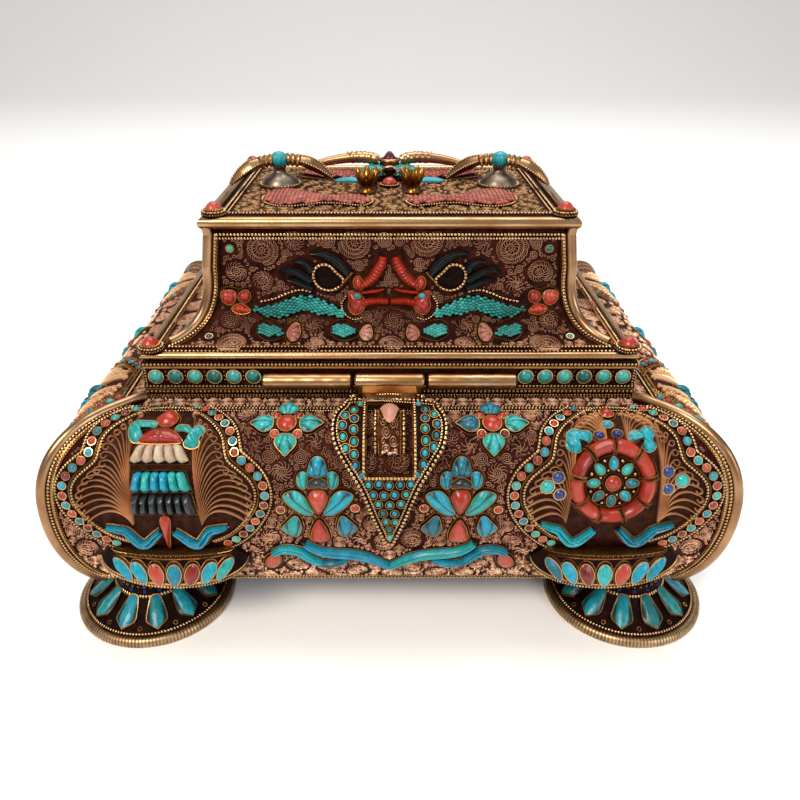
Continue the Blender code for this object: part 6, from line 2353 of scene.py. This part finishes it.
    def build(self, bench: Bench) -> None:
        """Body, tail, legs, claws, head, trunk, jaws, horns, ring and the small wires between them."""
        beads = bench.of(GILT_BEAD)
        self.scaled_body(bench)
        for points in self.tail:
            bench.set_stone(self.laid(points), 2.4, CORAL, 0.3, None, grooves(2.0, 0.35), 0.3)
        arcs = (
            (self.tail[0][0], (60.2, 30.4), (57.0, 30.0), (55.4, 29.4), (52.8, 30.4)),
            ((48.6, 17.0), (45.7, 18.0), (43.0, 17.2), (40.4, 15.4)),
            ((21.8, 15.4), (19.1, 17.1), (16.2, 17.1), (13.6, 15.7)),
        )
        for points in arcs:
            beads.granules(self.laid(points, 30, False), 0.42, 0.4)
        mane = ((47.4, 24.6), (44.3, 25.2), (41.2, 26.2), (38.8, 27.4), (36.0, 28.5), (32.9, 29.2), (29.4, 28.6))
        beads.granules(self.laid(mane, 40, False), 0.66, 0.5)
        for points, tone in ((self.hind, 0.25), (self.fore, 0.5)):
            outline = self.laid(points, 34)
            bench.paved(outline, 2.1, CHIPS, 1.45, 0.0 if self.way > 0 else math.pi, tone=(tone, tone + 0.4))
        for points in self.claws:
            root = (3.0 * self.way, 0.0)
            bench.set_stone(self.laid(points, 24), 2.0, PINK_CORAL, 0.35, None, shell(5, 0.6, root), 0.28)
        outline = self.laid(self.ring, 60)
        # The near-black plate inside the ring is painted shade.
        bench.of(DEEP).plate(outline, 0.45)
        bench.of(GILT_STRIP).strip(outline, 0.55, 0.9, Section.FLAT_WIRE, 0.2, looped=True)
        beads.granules(outline, 0.68, 1.0, closed=True)
        self.stroke(bench, GILT_STRIP, ((13.4, 36.6), (16.0, 33.4), (19.0, 29.8)), (1.4, 1.6, 1.2), 1.9, Section.ROUND)
        for points, widths in self.horns:
            self.stroke(bench, ONYX, points, widths, 2.6, Section.REEDED)
            path, off = self.laid(points, 30, False), tapered(widths, 30) + 0.15
            for side in WAYS:
                bench.of(GILT_STRIP).strip(beside(path, side * off), 0.2, 0.8, Section.WIRE, 0.2)
        bench.set_stone(self.laid(self.cheek, 30), 3.2, CORAL, 0.4, 0.45, shell(3, 0.35, (0.0, -5.0)), 0.0)
        bench.set_stone(self.laid(self.brow, 24), 2.8, CORAL, 0.4, 0.5, None, 0.26)
        self.stroke(bench, CORAL, self.trunk, (3.0, 3.6, 3.8, 3.8, 3.8, 2.6), 3.0, beads=0.27, ribbed=11, tone=0.5)
        lip = ((10.4, 28.0), (7.1, 28.4), (4.3, 28.8), (2.0, 29.4))
        self.stroke(bench, CORAL, lip, (1.3, 1.4, 1.3, 0.7), 1.7, tone=0.6)
        jaw = ((10.6, 23.4), (7.1, 24.4), (4.3, 24.6), (0.4, 24.4))
        self.stroke(bench, CORAL, jaw, (3.2, 3.0, 2.7, 2.6), 2.6, beads=0.27, ribbed=7, tone=0.45)
        eye = (self.way * 11.9, 27.2)
        bench.cabochons([eye], 1.05, TURQUOISE, 3.2)
        beads.ring(eye, 1.6, 18, 0.26, 3.1)
        collar = ((16.2, 26.6), (17.6, 24.2), (17.7, 22.0), (16.7, 19.6), (15.0, 17.9), (12.9, 17.0), (10.6, 17.7))
        beads.granules(self.laid(collar, 40, False), 0.5, 0.8)
        line = ((11.5, 17.3), (9.5, 19.0), (6.4, 20.6), (3.3, 21.3), (0.4, 21.6))
        beads.strip(self.laid(line, 30, False), 0.3, 0.8, Section.RIDGE, 0.2)

    def keep(self, field: CurlField) -> None:
        """Bars the wirework from under it."""
        for points, margin in (
            (((51, 22.2), (45, 20.5), (36, 22.9), (30, 24), (24, 21.6), (17, 18.6)), 4.0),
            (((61, 26.6), (53, 25.8)), 4.0),
            (((39.5, 10.6), (46.5, 12.0)), 5.0),
            (((34.8, 8), (35.4, 13.5)), 2.6),
            (((13.4, 11.0), (19.2, 11.6)), 5.0),
            (((8.2, 8.6), (8.6, 13.4)), 2.6),
            (((16, 20), (12, 27), (11.5, 33), (7, 33), (3, 42)), 3.4),
            (((12, 23.5), (0, 24.5)), 2.8),
            (((9, 28), (2, 29)), 1.3),
            (((22.4, 34), (22.6, 34.4)), 7.0),
            *((points, margin) for (points, _), margin in zip(self.horns, (2.4, 2.0, 2.2, 2.0))),
            (((47, 24.8), (38.8, 27.4), (30, 28.8)), 1.4),
        ):
            field.keep_off(resample(flipped(points, self.way), 12), margin)


@dataclass(frozen=True)
class CoveWork:
    """The ornament on the lid's cove and waist."""

    side: Side

    def build(self) -> None:
        """Borders, the side's own relief, and large scrolls packed with small curls round them."""
        panel = Panel(COVE_WALL, self.side)
        front = self.side is Side.FRONT
        bench = Bench(f"cove_{self.side.name.lower()}", panel, tiny=FINE if front else COARSE)
        wires, strips = bench.of(GILT_BEAD), bench.of(GILT_STRIP)
        up = np.linspace(3.0, 50.5, 60)
        for way in WAYS:
            border = panel.beside_corner(way, up, -2.7)
            strips.strip(border, 0.9, 0.3, Section.FLAT_WIRE)
            wires.granules(border, 0.68, 0.25, pitch=TOUCHING)
            strips.strip(panel.beside_corner(way, up, -4.1), 0.25, 0.6, Section.WIRE)
        for level, radius in ((2.4, 0.62), (50.7, 0.64), (49.2, 0.56)):
            half = panel.edge(level) - 3.2
            wires.granules(np.array([(-half, level), (half, level)]), radius, 0.2, pitch=TOUCHING)
        line = panel.edge(4.0) - 3.6
        strips.strip(level_line(np.linspace(-line, line, 40), 3.9), 0.3, 0.6, Section.WIRE)
        reach = panel.edge(5.0)
        field = CurlField((-reach, 5.2), (reach, 48.3), 9.0, 31)
        rise = np.linspace(2, 52, 30)
        for way in WAYS:
            field.keep_off(panel.beside_corner(way, rise, 2.0), 7.2)
            field.keep_off(panel.beside_corner(way, rise, 12.0), 11.0)
            spots = ((way * (panel.edge(45.0) - 8.0), 45.4), (way * (panel.edge(10.0) - 9.5), 9.6))
            bench.cabochons(spots, 1.15, CHIPS, 0.2)
            for spot in spots:
                wires.ring(spot, 1.75, 20, 0.25, 0.2)
                field.keep_round(spot, 2.6)
        if front:
            for way, place in ((-1.0, "left"), (1.0, "right")):
                dragon = Dragon(way)
                dragon.build(bench)
                dragon.keep(field)
                bench.stands_for(TURQUOISE, f"dragon_{place}")
        else:
            self.scroll(bench, field, 46.0 if self.side.wide else 30.0)
        fine, coarse = (7.2, 6.0, 4.8, 3.8, 3.0, 2.3, 1.7, 1.25, 0.9, 0.65, 0.48), (7.0, 5.4, 4.2, 3.0, 2.2, 1.5, 1.1)
        lay_curls(bench, field, fine if front else coarse)
        bench.finish()

    def scroll(self, bench: Bench, field: CurlField, half: float) -> None:
        """The coral marquise over an onyx scroll, with gilt leaves beside it."""
        marquise = smooth(mirrored(((0, 18.6), (3.6, 23.0), (4.6, 28.0), (3.2, 33.4), (0, 37.6))), 26, True)
        bench.set_stone(marquise, 3.2, CORAL, 0.3, 0.5, None, 0.36)
        field.keep_off(np.array([(0, 21), (0, 35)]), 6.0)
        wave = ((3.5, 21.6), (half * 0.3, 23.0), (half * 0.6, 25.8), (half * 0.85, 23.4), (half, 20.4))
        wing = ((4.5, 29.0), (half * 0.34, 33.6), (half * 0.6, 34.4), (half * 0.84, 32.4))
        width = 0.5 + 2.0 * np.sin(math.pi * np.linspace(0.15, 0.98, 50)) ** 0.6
        span = 0.4 + 1.8 * np.sin(math.pi * np.linspace(0.2, 0.98, 40)) ** 0.7
        for way in WAYS:
            for points, size, finish, height, tone in (
                (wave, width, ONYX, 2.6, 0.4), (wing, span, TURQUOISE, 2.4, 0.6),
            ):
                path = smooth(flipped(points, way), len(size))
                bench.of(finish).strip(path, size, height, Section.GROOVED, 0.3, tone)
                bench.of(GILT_BEAD).edges(path, size + 0.4, 0.36, 0.2)
                field.keep_off(path, size + 1.3)
            spots = ((way * half * 0.5, 14.0), (way * half * 0.9, 29.0))
            bench.cabochons(spots, 1.9, CORAL, 0.2)
            for spot in spots:
                field.keep_round(spot, 3.0, (0.0, 0.1))
        bench.stands_for(CORAL, f"lid_scroll_{self.side.name.lower()}")


# ------------------------------------------------------------------ the lid's top


def leaf_bar(path: Array, half: Array, height: Array) -> Array:
    """A ridged blade along a path in space: a lozenge section, half wide to each side and height up and down."""
    run = headings(path)
    side = np.cross(run, [0.0, 0.0, 1.0])
    side /= np.linalg.norm(side, axis=1, keepdims=True)
    rise = np.cross(side, run)
    shape = np.array([(1, 0), (0.55, 0.62), (0, 1), (-0.55, 0.62), (-1, 0), (-0.55, -0.5), (0, -0.8), (0.55, -0.5)])
    across = side[:, None] * (half[:, None] * shape[:, 0])[..., None]
    up = rise[:, None] * (height[:, None] * shape[:, 1])[..., None]
    return path[:, None] + across + up


def free_balls(heap: Heap, spots: Array, radius: float) -> None:
    """Granules at points in space: rings of six at +-0.5 of the radius, and two poles."""
    turn = full_turn(6)
    ring = np.stack([np.cos(turn), np.sin(turn), 0 * turn], -1) * 0.87
    levels = np.array([(0, 0, -0.5), (0, 0, 0.5)])[:, None]
    rows = spots[:, None, None] + radius * (ring + levels)
    ends = spots[:, None] + radius * np.array([(0, 0, -1.0), (0, 0, 1.0)])
    # The lower ring gets painted shade and the upper one a painted highlight, through the lift.
    heap.skins(rows, 0.5, np.array([0.25, 0.95])[:, None], ends)


def lathe(profile: Points, centre: tuple[float, float], sides: int = 28, lobes: int = 0, depth: float = 0.0) -> Array:
    """A turned form: loops at each (radius, z), the radius fluted by depth * (|cos| - 1) when it has lobes."""
    turn = full_turn(sides)
    swell = 1 - depth * (1 - np.abs(np.cos(turn * lobes / 2))) if lobes else np.ones(sides)
    radius, level = np.array(profile, float).T
    across = centre[0] + radius[:, None] * swell * np.cos(turn)
    deep = centre[1] + radius[:, None] * swell * np.sin(turn)
    return np.stack([across, deep, np.broadcast_to(level[:, None], across.shape)], -1)


@dataclass(frozen=True)
class Knot:
    """A thunderbolt knot: silver dome in a beaded ring, turquoise melon bead, a collared spear on each side."""

    way: float
    across: float = 45.0
    deep: float = 4.0
    base: float = 147.9
    bead: float = 10.9
    lean: float = math.radians(17)

    def build(self, bench: Bench) -> None:
        """Dome, melon bead and spears; each spear bows down from the bead to its point."""
        centre = (self.way * self.across, self.deep)
        base, bead = self.base, self.base + self.bead
        dome = (
            (8.4, 0.0), (8.4, 0.8), (7.8, 1.2), (7.6, 2.0), (6.6, 3.4), (4.8, 4.8), (3.0, 5.6), (2.4, 6.6), (2.6, 7.6),
            (1.0, 8.1),
        )
        bench.skin(SILVER, lathe([(r, base + z) for r, z in dome], centre, 36), 0.6)
        beads = bench.of(GILT_BEAD, Level(base))
        beads.ring(centre, 8.1, 40, 0.75, 0.8, 1.9)
        turn = np.linspace(0.1, math.pi - 0.1, 13)
        melon = [(3.65 * math.sin(angle), bead - 3.1 * math.cos(angle)) for angle in turn]
        bench.skin(TURQUOISE, lathe(melon, centre, 60, 9, 0.14), 0.8, tone=0.62)
        free_balls(bench.of(GILT_BEAD).heap, circle3(centre, 2.5, bead - 2.8, 13), 0.5)
        for end, length in ((self.way, 20.5), (-self.way, 22.0)):
            self.spear(bench, end * on_circle(-self.way * self.lean), length, bead)
        bench.stands_for(SILVER, f"knot_{'right' if self.way > 0 else 'left'}")

    def spear(self, bench: Bench, run: Array, length: float, bead: float) -> None:
        """Three collars and a ridged blade, fattest past its middle, with beads along its ridge and edges."""
        share = np.linspace(0, 1, 40)
        flat = np.array([self.way * self.across, self.deep]) + run * (2.6 + (length - 2.6) * share)[:, None]
        level = bead - 0.4 + 0.9 * np.sin(share * 2.4) - (self.bead - 1.6) * share**1.6
        path = np.concatenate([flat, level[:, None]], 1)
        collar = 1.9 + 0.8 * np.abs(np.sin(share[:13] / share[12] * math.pi * 3))
        bench.skin(GILT_BEAD, sweep(path[:13], collar, 14), 0.75)
        half = np.interp(share, [0.2, 0.3, 0.5, 0.7, 0.9, 1.0], [1.7, 2.3, 2.9, 2.6, 1.5, 0.4])
        rows = leaf_bar(path[8:], half[8:], half[8:] * 0.95)
        bench.skin(GILT_TUBE, rows, 0.8)
        for column in (0, 2, 4):
            free_balls(bench.of(GILT_BEAD).heap, by_pitch(rows[4:-1, column], 1.1), 0.58)


def circle3(centre: tuple[float, float], radius: float, level: float, count: int) -> Array:
    """Points round a level circle in space."""
    flat = circle(centre, radius, count)[0]
    return np.concatenate([flat, np.full((count, 1), level)], 1)


@dataclass(frozen=True)
class ScaledFish:
    """A fish-like form of coral scales with a beaded outline, its fat end round the front of a knot."""

    way: float
    edge: Points = (
        (6.4, -23.4), (10.2, -18.4), (15.0, -16.6), (20.5, -17.4), (26.0, -15.8), (31.0, -12.2), (35.5, -8.6),
        (41.0, -6.2), (46.2, -9.4), (49.0, -16.0), (48.0, -23.5), (43.5, -29.4), (37.5, -31.2), (31.0, -28.8),
        (26.0, -26.2), (20.5, -26.6), (14.5, -28.8), (9.6, -30.0),
    )

    @property
    def outline(self) -> Array:
        """The fish from above."""
        return smooth(flipped(self.edge, self.way), 90, True)

    def build(self, bench: Bench) -> None:
        """A low mound under rows of scales, with two beaded wires round it."""
        turn = 0.0 if self.way > 0 else math.pi
        bench.paved(self.outline, 1.9, SCALE_CORAL, 2.0, turn, 0.4, 0.0)
        for out, radius in ((0.1, 0.55), (-1.0, 0.36)):
            bench.of(GILT_BEAD).granules(grown(self.outline, out), radius, 0.4, closed=True, pitch=TOUCHING)
        bench.stands_for(SCALE_CORAL, f"top_fish_{'right' if self.way > 0 else 'left'}")

    def keep(self, field: CurlField) -> None:
        """Bars the wirework from under it."""
        field.keep_out(self.outline[::2], 0.6)


@dataclass(frozen=True)
class Mask:
    """The horned guardian lying on the lid: scaled mound, ringed garnet, gold horns, amber claws."""

    base: float = 147.9
    half: Points = (
        (0.0, 9.6), (5.5, 10.6), (10.5, 13.4), (13.4, 18.0), (13.8, 22.5), (11.4, 27.2), (6.5, 30.0), (0.0, 30.6),
    )
    band: Points = (
        (12.4, 16.6), (19.0, 15.2), (27.0, 16.6), (34.0, 19.6), (38.6, 23.8), (33.0, 27.6), (24.0, 29.2), (15.0, 29.4),
        (12.0, 26.0),
    )
    leaf: Points = ((10.8, 12.4), (13.6, 10.4), (18.6, 9.8), (23.6, 11.6), (19.0, 13.6), (13.6, 14.4))

    def mound(self, bench: Bench) -> None:
        """The turquoise mound, paved with scales that point down its front."""
        outline = smooth(mirrored(self.half), 70, True)
        bench.of(GILT_STRIP).stones(outline, 4.6, 0.0, rings=8, dome=1.8)
        bench.paved(outline, 6.0, CHIPS, 2.1, -math.pi / 2, 0.2, 0.5, (0.35, 1.0))

    def horn(self, bench: Bench, way: float) -> None:
        """A low bar that tapers outward, ringed near its root, with small spikes on top."""
        knots = ((4.6, 22.6, 7.2), (11.0, 24.0, 7.9), (18.0, 24.6, 7.5), (26.0, 24.0, 6.4), (35.0, 22.2, 4.4))
        path = smooth(knots, 50) * [way, 1, 1] + [0, 0, self.base]
        share = np.linspace(0, 1, 50)
        half = np.interp(share, [0, 0.12, 0.5, 0.85, 1.0], [1.9, 2.3, 2.1, 1.7, 1.0])
        rings = 1 + 0.14 * np.abs(np.sin(share * TAU * 6)) * (share < 0.4)
        bench.skin(GILT_TUBE, sweep(path, half * rings, 12), 0.8)
        for index in range(3, 22, 3):
            root = path[index] + [0, 0, 1.2]
            spike = root + np.array([way * 0.5, 0.0, 1.7]) * np.linspace(0, 1, 5)[:, None]
            bench.skin(GILT_TUBE, sweep(spike, np.array([0.75, 0.6, 0.45, 0.3, 0.1]), 6), 0.8)

    def claw(self, bench: Bench, way: float) -> None:
        """A foreleg of amber brass: stem, cup and a crown of five prongs that open upward."""
        centre = (way * 9.0, -8.5)
        stem = ((2.9, 0.0), (2.9, 0.8), (2.2, 1.6), (2.1, 3.0), (2.9, 4.4), (3.3, 5.8), (2.4, 6.4))
        bench.skin(AMBER_BRASS, lathe([(r, self.base + z) for r, z in stem], centre, 24), 0.7)
        share = np.linspace(0, 1, 10)
        for angle in np.linspace(0, TAU, 6)[:-1] - 0.3 * way:
            flat = centre + on_circle(angle) * (1.6 + 2.6 * share**0.8)[:, None]
            path = np.concatenate([flat, (self.base + 4.2 + 6.0 * share)[:, None]], 1)
            half = np.interp(share, [0, 0.4, 0.75, 1.0], [1.5, 1.75, 1.2, 0.2])
            bench.skin(AMBER_BRASS, sweep(path, half, 10), 0.8)
        arm = smooth(((9.0, -8.5, 2.0), (9.4, -2.0, 2.6), (9.0, 5.0, 2.4), (8.0, 13.0, 2.4)), 22)
        arm = arm * [way, 1, 1] + [0, 0, self.base]
        bench.skin(AMBER_BRASS, sweep(arm, np.linspace(1.6, 1.3, 22), 10), 0.6)

    def face(self, bench: Bench) -> None:
        """The garnet in its ring, the dark eye with its wings and the coral drop below."""
        crown = Level(self.base + 6.4)
        centre = (0.0, 21.5)
        bench.of(GILT_STRIP, crown).stones(circle(centre, 4.3, 28), 1.7, -0.8, dome=20.0)
        bench.of(GILT_TUBE, crown).strip(circle(centre, 3.9, 40)[0], 0.75, 1.1, Section.ROUND, 0.6, looped=True)
        bench.of(GARNET, crown).stones(circle(centre, 2.6, 24), 4.2, 0.6, 0.6, rings=7, dome=1.5)
        eye = np.array([0.0, 11.4, self.base + 4.6])
        turn = full_turn(30)
        drum = [(radius, eye[2] + z) for radius, z in ((0.2, -2.4), (2.4, -1.6), (2.4, 0.8), (0.2, 1.4))]
        bench.skin(DEEP, lathe(drum, (0.0, 12.4), 20), 0.1)
        loop = eye + np.stack([2.9 * np.cos(turn), -0.5 - 0.6 * np.sin(turn), 1.9 * np.sin(turn)], -1)
        bench.skin(GILT_TUBE, sweep(loop, 0.62, 10), 0.85, True)
        for way in WAYS:
            curl = np.linspace(0, 4.4, 30)
            across = way * (3.2 + curl * 1.15 + 0.5 * np.sin(curl * 1.6))
            wing = np.stack([across, 9.6 + 0.3 * curl, self.base + 4.4 + 1.5 * np.sin(curl * 1.1)], -1)
            bench.skin(GILT_TUBE, sweep(wing, np.linspace(0.62, 0.36, 30), 8), 0.85)
        level = Level(self.base)
        half = ((0, 8.4), (2.2, 7.2), (3.1, 5.4), (2.6, 3.6), (1.2, 2.6), (0, 2.3))
        drop = smooth(mirrored(half), 26, True)
        bench.of(CORAL, level).stones(drop, 3.2, 0.3, 0.75, rings=6)
        for out, radius in ((0.7, 0.5), (-0.1, 0.3)):
            bench.of(GILT_BEAD, level).granules(grown(drop, out), radius, 0.3, closed=True)

    def build(self, bench: Bench) -> None:
        """Mound, face, then horns, claws and scaled coral bands on each side."""
        self.mound(bench)
        self.face(bench)
        for way in WAYS:
            self.horn(bench, way)
            self.claw(bench, way)
            turn = 0.0 if way > 0 else math.pi
            bench.paved(smooth(flipped(self.band, way), 50, True), 2.8, SCALE_CORAL, 1.9, turn, 0.3, 0.42)
            outline = smooth(flipped(self.leaf, way), 30, True)
            bench.of(TEAL).stones(outline, 2.2, 0.3, bench.tones(1), grooves(1.6, 0.4), rings=6)
            bench.of(GILT_BEAD).granules(grown(outline, 0.4), 0.34, 0.3, closed=True)
        bench.stands_for(CHIPS, "top_mask")


@dataclass(frozen=True)
class LidTop:
    """The flat top with everything that lies on it."""

    half: tuple[float, float] = (62.0, 42.0)

    def build(self) -> None:
        """Ornaments first, then wire curls on the ground that they leave free."""
        bench = Bench("top", Level(SIZES.lid_top))
        field = CurlField((-60.0, -40.0), (60.0, 40.0), 9.0, 5)
        corner = rectangle(*self.half)
        sides = zip(corner, np.roll(corner, -1, 0))
        field.keep_off(np.concatenate([resample(np.array(side), 40) for side in sides]), 4.4)
        wires = bench.of(GILT_BEAD)
        for inset, radius in ((1.6, 0.62), (3.2, 0.5)):
            wires.granules(rectangle(self.half[0] - inset, self.half[1] - inset), radius, 0.1, closed=True)
        for way in WAYS:
            Knot(way).build(bench)
            fish = ScaledFish(way)
            fish.build(bench)
            fish.keep(field)
            field.keep_round((way * 45.0, 4.0), 8.4, (0.0, 0.1))
            field.keep_off(np.array([(way * 9.0, -8.5), (way * 8.4, 14.0)]), 3.4)
        Mask().build(bench)
        for reach, up, margin in ((5.0, 20.0, 11.0), (34.0, 22.0, 6.4), (20.0, 12.0, 3.0)):
            field.keep_off(np.array([(-reach, up), (reach, up)]), margin)
        field.keep_off(np.array([(0.0, 3.0), (0.0, 8.0)]), 3.6)
        lay_curls(bench, field, (4.6, 3.6, 2.8, 2.2, 1.6, 1.2, 0.9, 0.65), TOP_WIRE)
        bench.finish()


# ------------------------------------------------------------------ the feet


@dataclass(frozen=True)
class Feet:
    """Four flared feet: turquoise petals on a dark cone, a reeded rim, a beaded collar."""

    across: float = 95.6
    deep: float = 75.6
    top_z: float = 19.7
    petals: int = 12
    reeds: int = 148
    reed: float = 0.17
    profile: Points = (
        (30.6, 0.0), (30.9, 0.9), (30.7, 1.7), (29.8, 2.5), (28.4, 3.1), (26.8, 3.8), (26.2, 4.2), (23.5, 5.6),
        (19.0, 8.4), (15.2, 11.4), (14.6, 13.6), (13.6, 15.2), (12.5, 16.0), (12.5, 19.7),
    )

    def hill(self, centre: tuple[float, float]) -> Hill:
        """The cone seen from above."""
        radius, height = np.array(self.profile[:1:-1]).T
        radius = np.concatenate([[0.0], radius + np.linspace(0, 0.02, len(radius))])
        return Hill(centre, radius, np.concatenate([[self.top_z], height]))

    def build(self) -> None:
        """The turned foot, then its petals, rings and stones, at each corner."""
        bench = Bench("foot", Level(0.0))
        for sign_x, sign_y, corner in CORNERS:
            self.one(bench, (sign_x * self.across, sign_y * self.deep))
            bench.stands_for(DEEP, f"foot_{corner}")
        bench.finish()

    def rim(self, bench: Bench, centre: tuple[float, float]) -> None:
        """The rounded rim, its reeds cut square to it: a swell of each reed by |cos| along the way round."""
        path = smooth(((30.9, 0.1), (31.3, 1.0), (31.25, 2.1), (30.6, 3.1), (29.6, 3.6), (28.6, 3.2)), 9)
        sides = self.reeds * 2
        turn = full_turn(sides)
        swell = self.reed * np.abs(np.cos(turn * self.reeds / 2)) ** 0.8
        run = headings(path)
        away = np.stack([run[:, 1], -run[:, 0]], -1)
        radius = path[:, :1] - 0.2 + away[:, :1] * swell
        level = path[:, 1:] + away[:, 1:] * swell
        rows = np.concatenate([centre + radius[..., None] * on_circle(turn), (level + 0 * turn)[..., None]], -1)
        under = circle3(centre, 28.2, 0.1, sides)[None]
        rows = np.concatenate([under, rows, under + [0, 0, 2.6]])
        # Painted shade in the grooves between reeds and a painted highlight on their crests, through the lift.
        bench.skin(GREY_GILT, rows, 0.5 + 0.5 * swell / self.reed)

    def one(self, bench: Bench, centre: tuple[float, float]) -> None:
        """One foot."""
        hill = self.hill(centre)
        bench.skin(DEEP, lathe(self.profile, centre, 72), 0.35)
        self.rim(bench, centre)
        wires = bench.of(GILT_BEAD, hill)
        for radius, bead in ((27.7, 0.6), (15.6, 0.6)):
            wires.ring((0, 0), radius, 120, bead, 0.1, TOUCHING)
        for finish, radius, level, count, bead in (
            (GILT_BEAD, 13.9, 15.0, 36, 0.8), (GILT_BEAD, 12.9, 18.2, 34, 0.65), (LAPIS, 14.0, 13.2, 16, 1.15),
        ):
            free_balls(bench.of(finish).heap, circle3(centre, radius, level, count), bead)
        half = np.array([(15.6, 0.0), (15.9, 1.7), (19.0, 2.9), (22.4, 3.9), (23.6, 3.8), (25.3, 1.8), (26.7, 0.0)])
        petal = resample(np.concatenate([half, half[::-1][1:] * [1, -1]]), 31)[:-1]
        for index in range(self.petals):
            angle = TAU * (index + 0.5) / self.petals
            outline = turned_about(petal, angle)
            bench.of(TEAL, hill).stones(outline, 2.0, 0.25, bench.tones(1), self.crease(angle), rings=8)
            bench.of(GILT_STRIP, hill).collets(outline, 0.2, 1.2, 0.0)
            ring = turned_about(circle((25.6, 0.0), 0.7, 10)[0], angle + TAU / self.petals / 2)
            bench.of(GILT_BEAD, hill).granules(ring, 0.22, 0.1, closed=True)

    def crease(self, angle: float) -> Callable[[Array, Array], Array]:
        """A petal's facets: a flat middle with a bevel falling away on both sides of it."""

        def carve(across: Array, up: Array) -> Array:
            """Depth grows beyond the flat, with the distance from the petal's middle line."""
            off = np.abs(-across * math.sin(angle) + up * math.cos(angle))
            return 0.5 * np.maximum(off - 1.7, 0.0)

        return carve


# ------------------------------------------------------------------ the studio


@dataclass(frozen=True)
class Studio:
    """A pale floor under large soft lamps, seen from the photograph's place."""

    place: tuple[float, float, float] = (0.0, -0.3017, 0.2157)
    pitch: float = 0.505
    focal: float = 724.7
    centre: float = 389.5
    picture: float = 800.0
    lamps: tuple = (
        ("key", (-0.55, -1.0, 1.25), 0.6, 22.0, "#fff4e6"),
        ("fill", (1.1, -1.1, 0.7), 0.8, 9.0, "#f6f8ff"),
        ("top", (0.1, 0.5, 1.7), 1.3, 24.0, "#ffffff"),
    )

    def camera(self) -> None:
        """Focal length in pixels to millimetres of a 36 mm sensor, with the small shift of the frame."""
        data = bpy.data.cameras.new("camera")
        data.sensor_width = 36.0
        data.lens = self.focal * data.sensor_width / self.picture
        data.shift_x = (self.picture / 2 - self.centre) / self.picture
        data.clip_start = 0.01
        made = linked("camera", data)
        made.location = self.place
        made.rotation_euler = (math.pi / 2 - self.pitch, 0.0, 0.0)
        bpy.context.scene.camera = made

    def floor(self) -> None:
        """A floor that sweeps up behind into a wall: z = radius (1 - cos t) past the sweep's start."""
        turn = np.linspace(0, math.pi / 2, 20)
        reach = np.concatenate([[-6.0], 1.6 + 1.2 * np.sin(turn), [2.8]])
        level = np.concatenate([[0.0], 1.2 * (1 - np.cos(turn)), [6.0]])
        left, right = (np.stack([np.full(len(reach), side), reach, level], -1) for side in (-7.0, 7.0))
        points = np.concatenate([left, right])
        count = len(reach)
        first = np.arange(count - 1)
        faces = np.stack([first, first + count, first + count + 1, first + 1], -1)
        mesh = bpy.data.meshes.new("floor")
        mesh.from_pydata(points.tolist(), [], faces.tolist())
        mesh.shade_smooth()
        finish = bpy.data.materials.new("matt_white_paper")
        finish.use_nodes = True
        tree = finish.node_tree
        place = add_node(tree, "TexCoord").outputs["Object"]
        grain = add_node(tree, "TexNoise", {"Vector": place, "Scale": per_metre(2.0)})
        bump = add_node(tree, "Bump", {"Height": grain.outputs["Fac"], "Distance": 0.02 * MM})
        looks = {"Base Color": linear("#f7f6f4"), "Roughness": 0.6, "Normal": bump.outputs["Normal"]}
        plug(tree, tree.nodes["Principled BSDF"], looks)
        mesh.materials.append(finish)
        linked("floor", mesh)

    def lamp(self, name: str, place: tuple[float, float, float], size: float, power: float, colour: str) -> None:
        """A square soft lamp that faces the box."""
        data = bpy.data.lights.new(name, "AREA")
        data.size = size
        data.energy = power
        data.color = linear(colour)[:3]
        made = linked(name, data)
        made.location = place
        aim = np.array([0.0, 0.0, 0.08]) - place
        level = math.hypot(aim[0], aim[1])
        made.rotation_euler = (math.atan2(level, -aim[2]), 0.0, math.atan2(aim[1], aim[0]) - math.pi / 2)

    def build(self) -> None:
        """Camera, floor, lamps and a pale world."""
        self.camera()
        self.floor()
        for lamp in self.lamps:
            self.lamp(*lamp)
        world = bpy.data.worlds.new("studio")
        world.use_nodes = True
        tree = world.node_tree
        plug(tree, tree.nodes["Background"], {"Color": linear("#eef0f2"), "Strength": 0.5})
        bpy.context.scene.world = world
        bpy.context.scene.view_settings.view_transform = "Standard"


def build_all() -> None:
    """Builds every sub-assembly in order."""
    logging.basicConfig(level=logging.INFO, format="%(message)s")
    Studio().build()
    BodyShell().build()
    LidShell().build()
    RimLedge().build()
    over = ((-2.5, SIZES.top_z + 1.2), (-5.2, SIZES.top_z + 1.2), (-7.6, SIZES.top_z + 0.6))
    CornerTubes(BODY_WALL, "body_tube", 0.9, 83.0, over).build()
    CornerTubes(COVE_WALL, "lid_tube", 5.5, 51.0, ((0.6, SIZES.waist_top + 2.4),)).build()
    for side in Side:
        SideWork(side).build()
        CoveWork(side).build()
    LidBand().build()
    Rails().build()
    Bosses().build()
    Hinge().build()
    Hasp().build()
    Staple().build()
    LidTop().build()
    Feet().build()


if __name__ == "__main__":
    build_all()
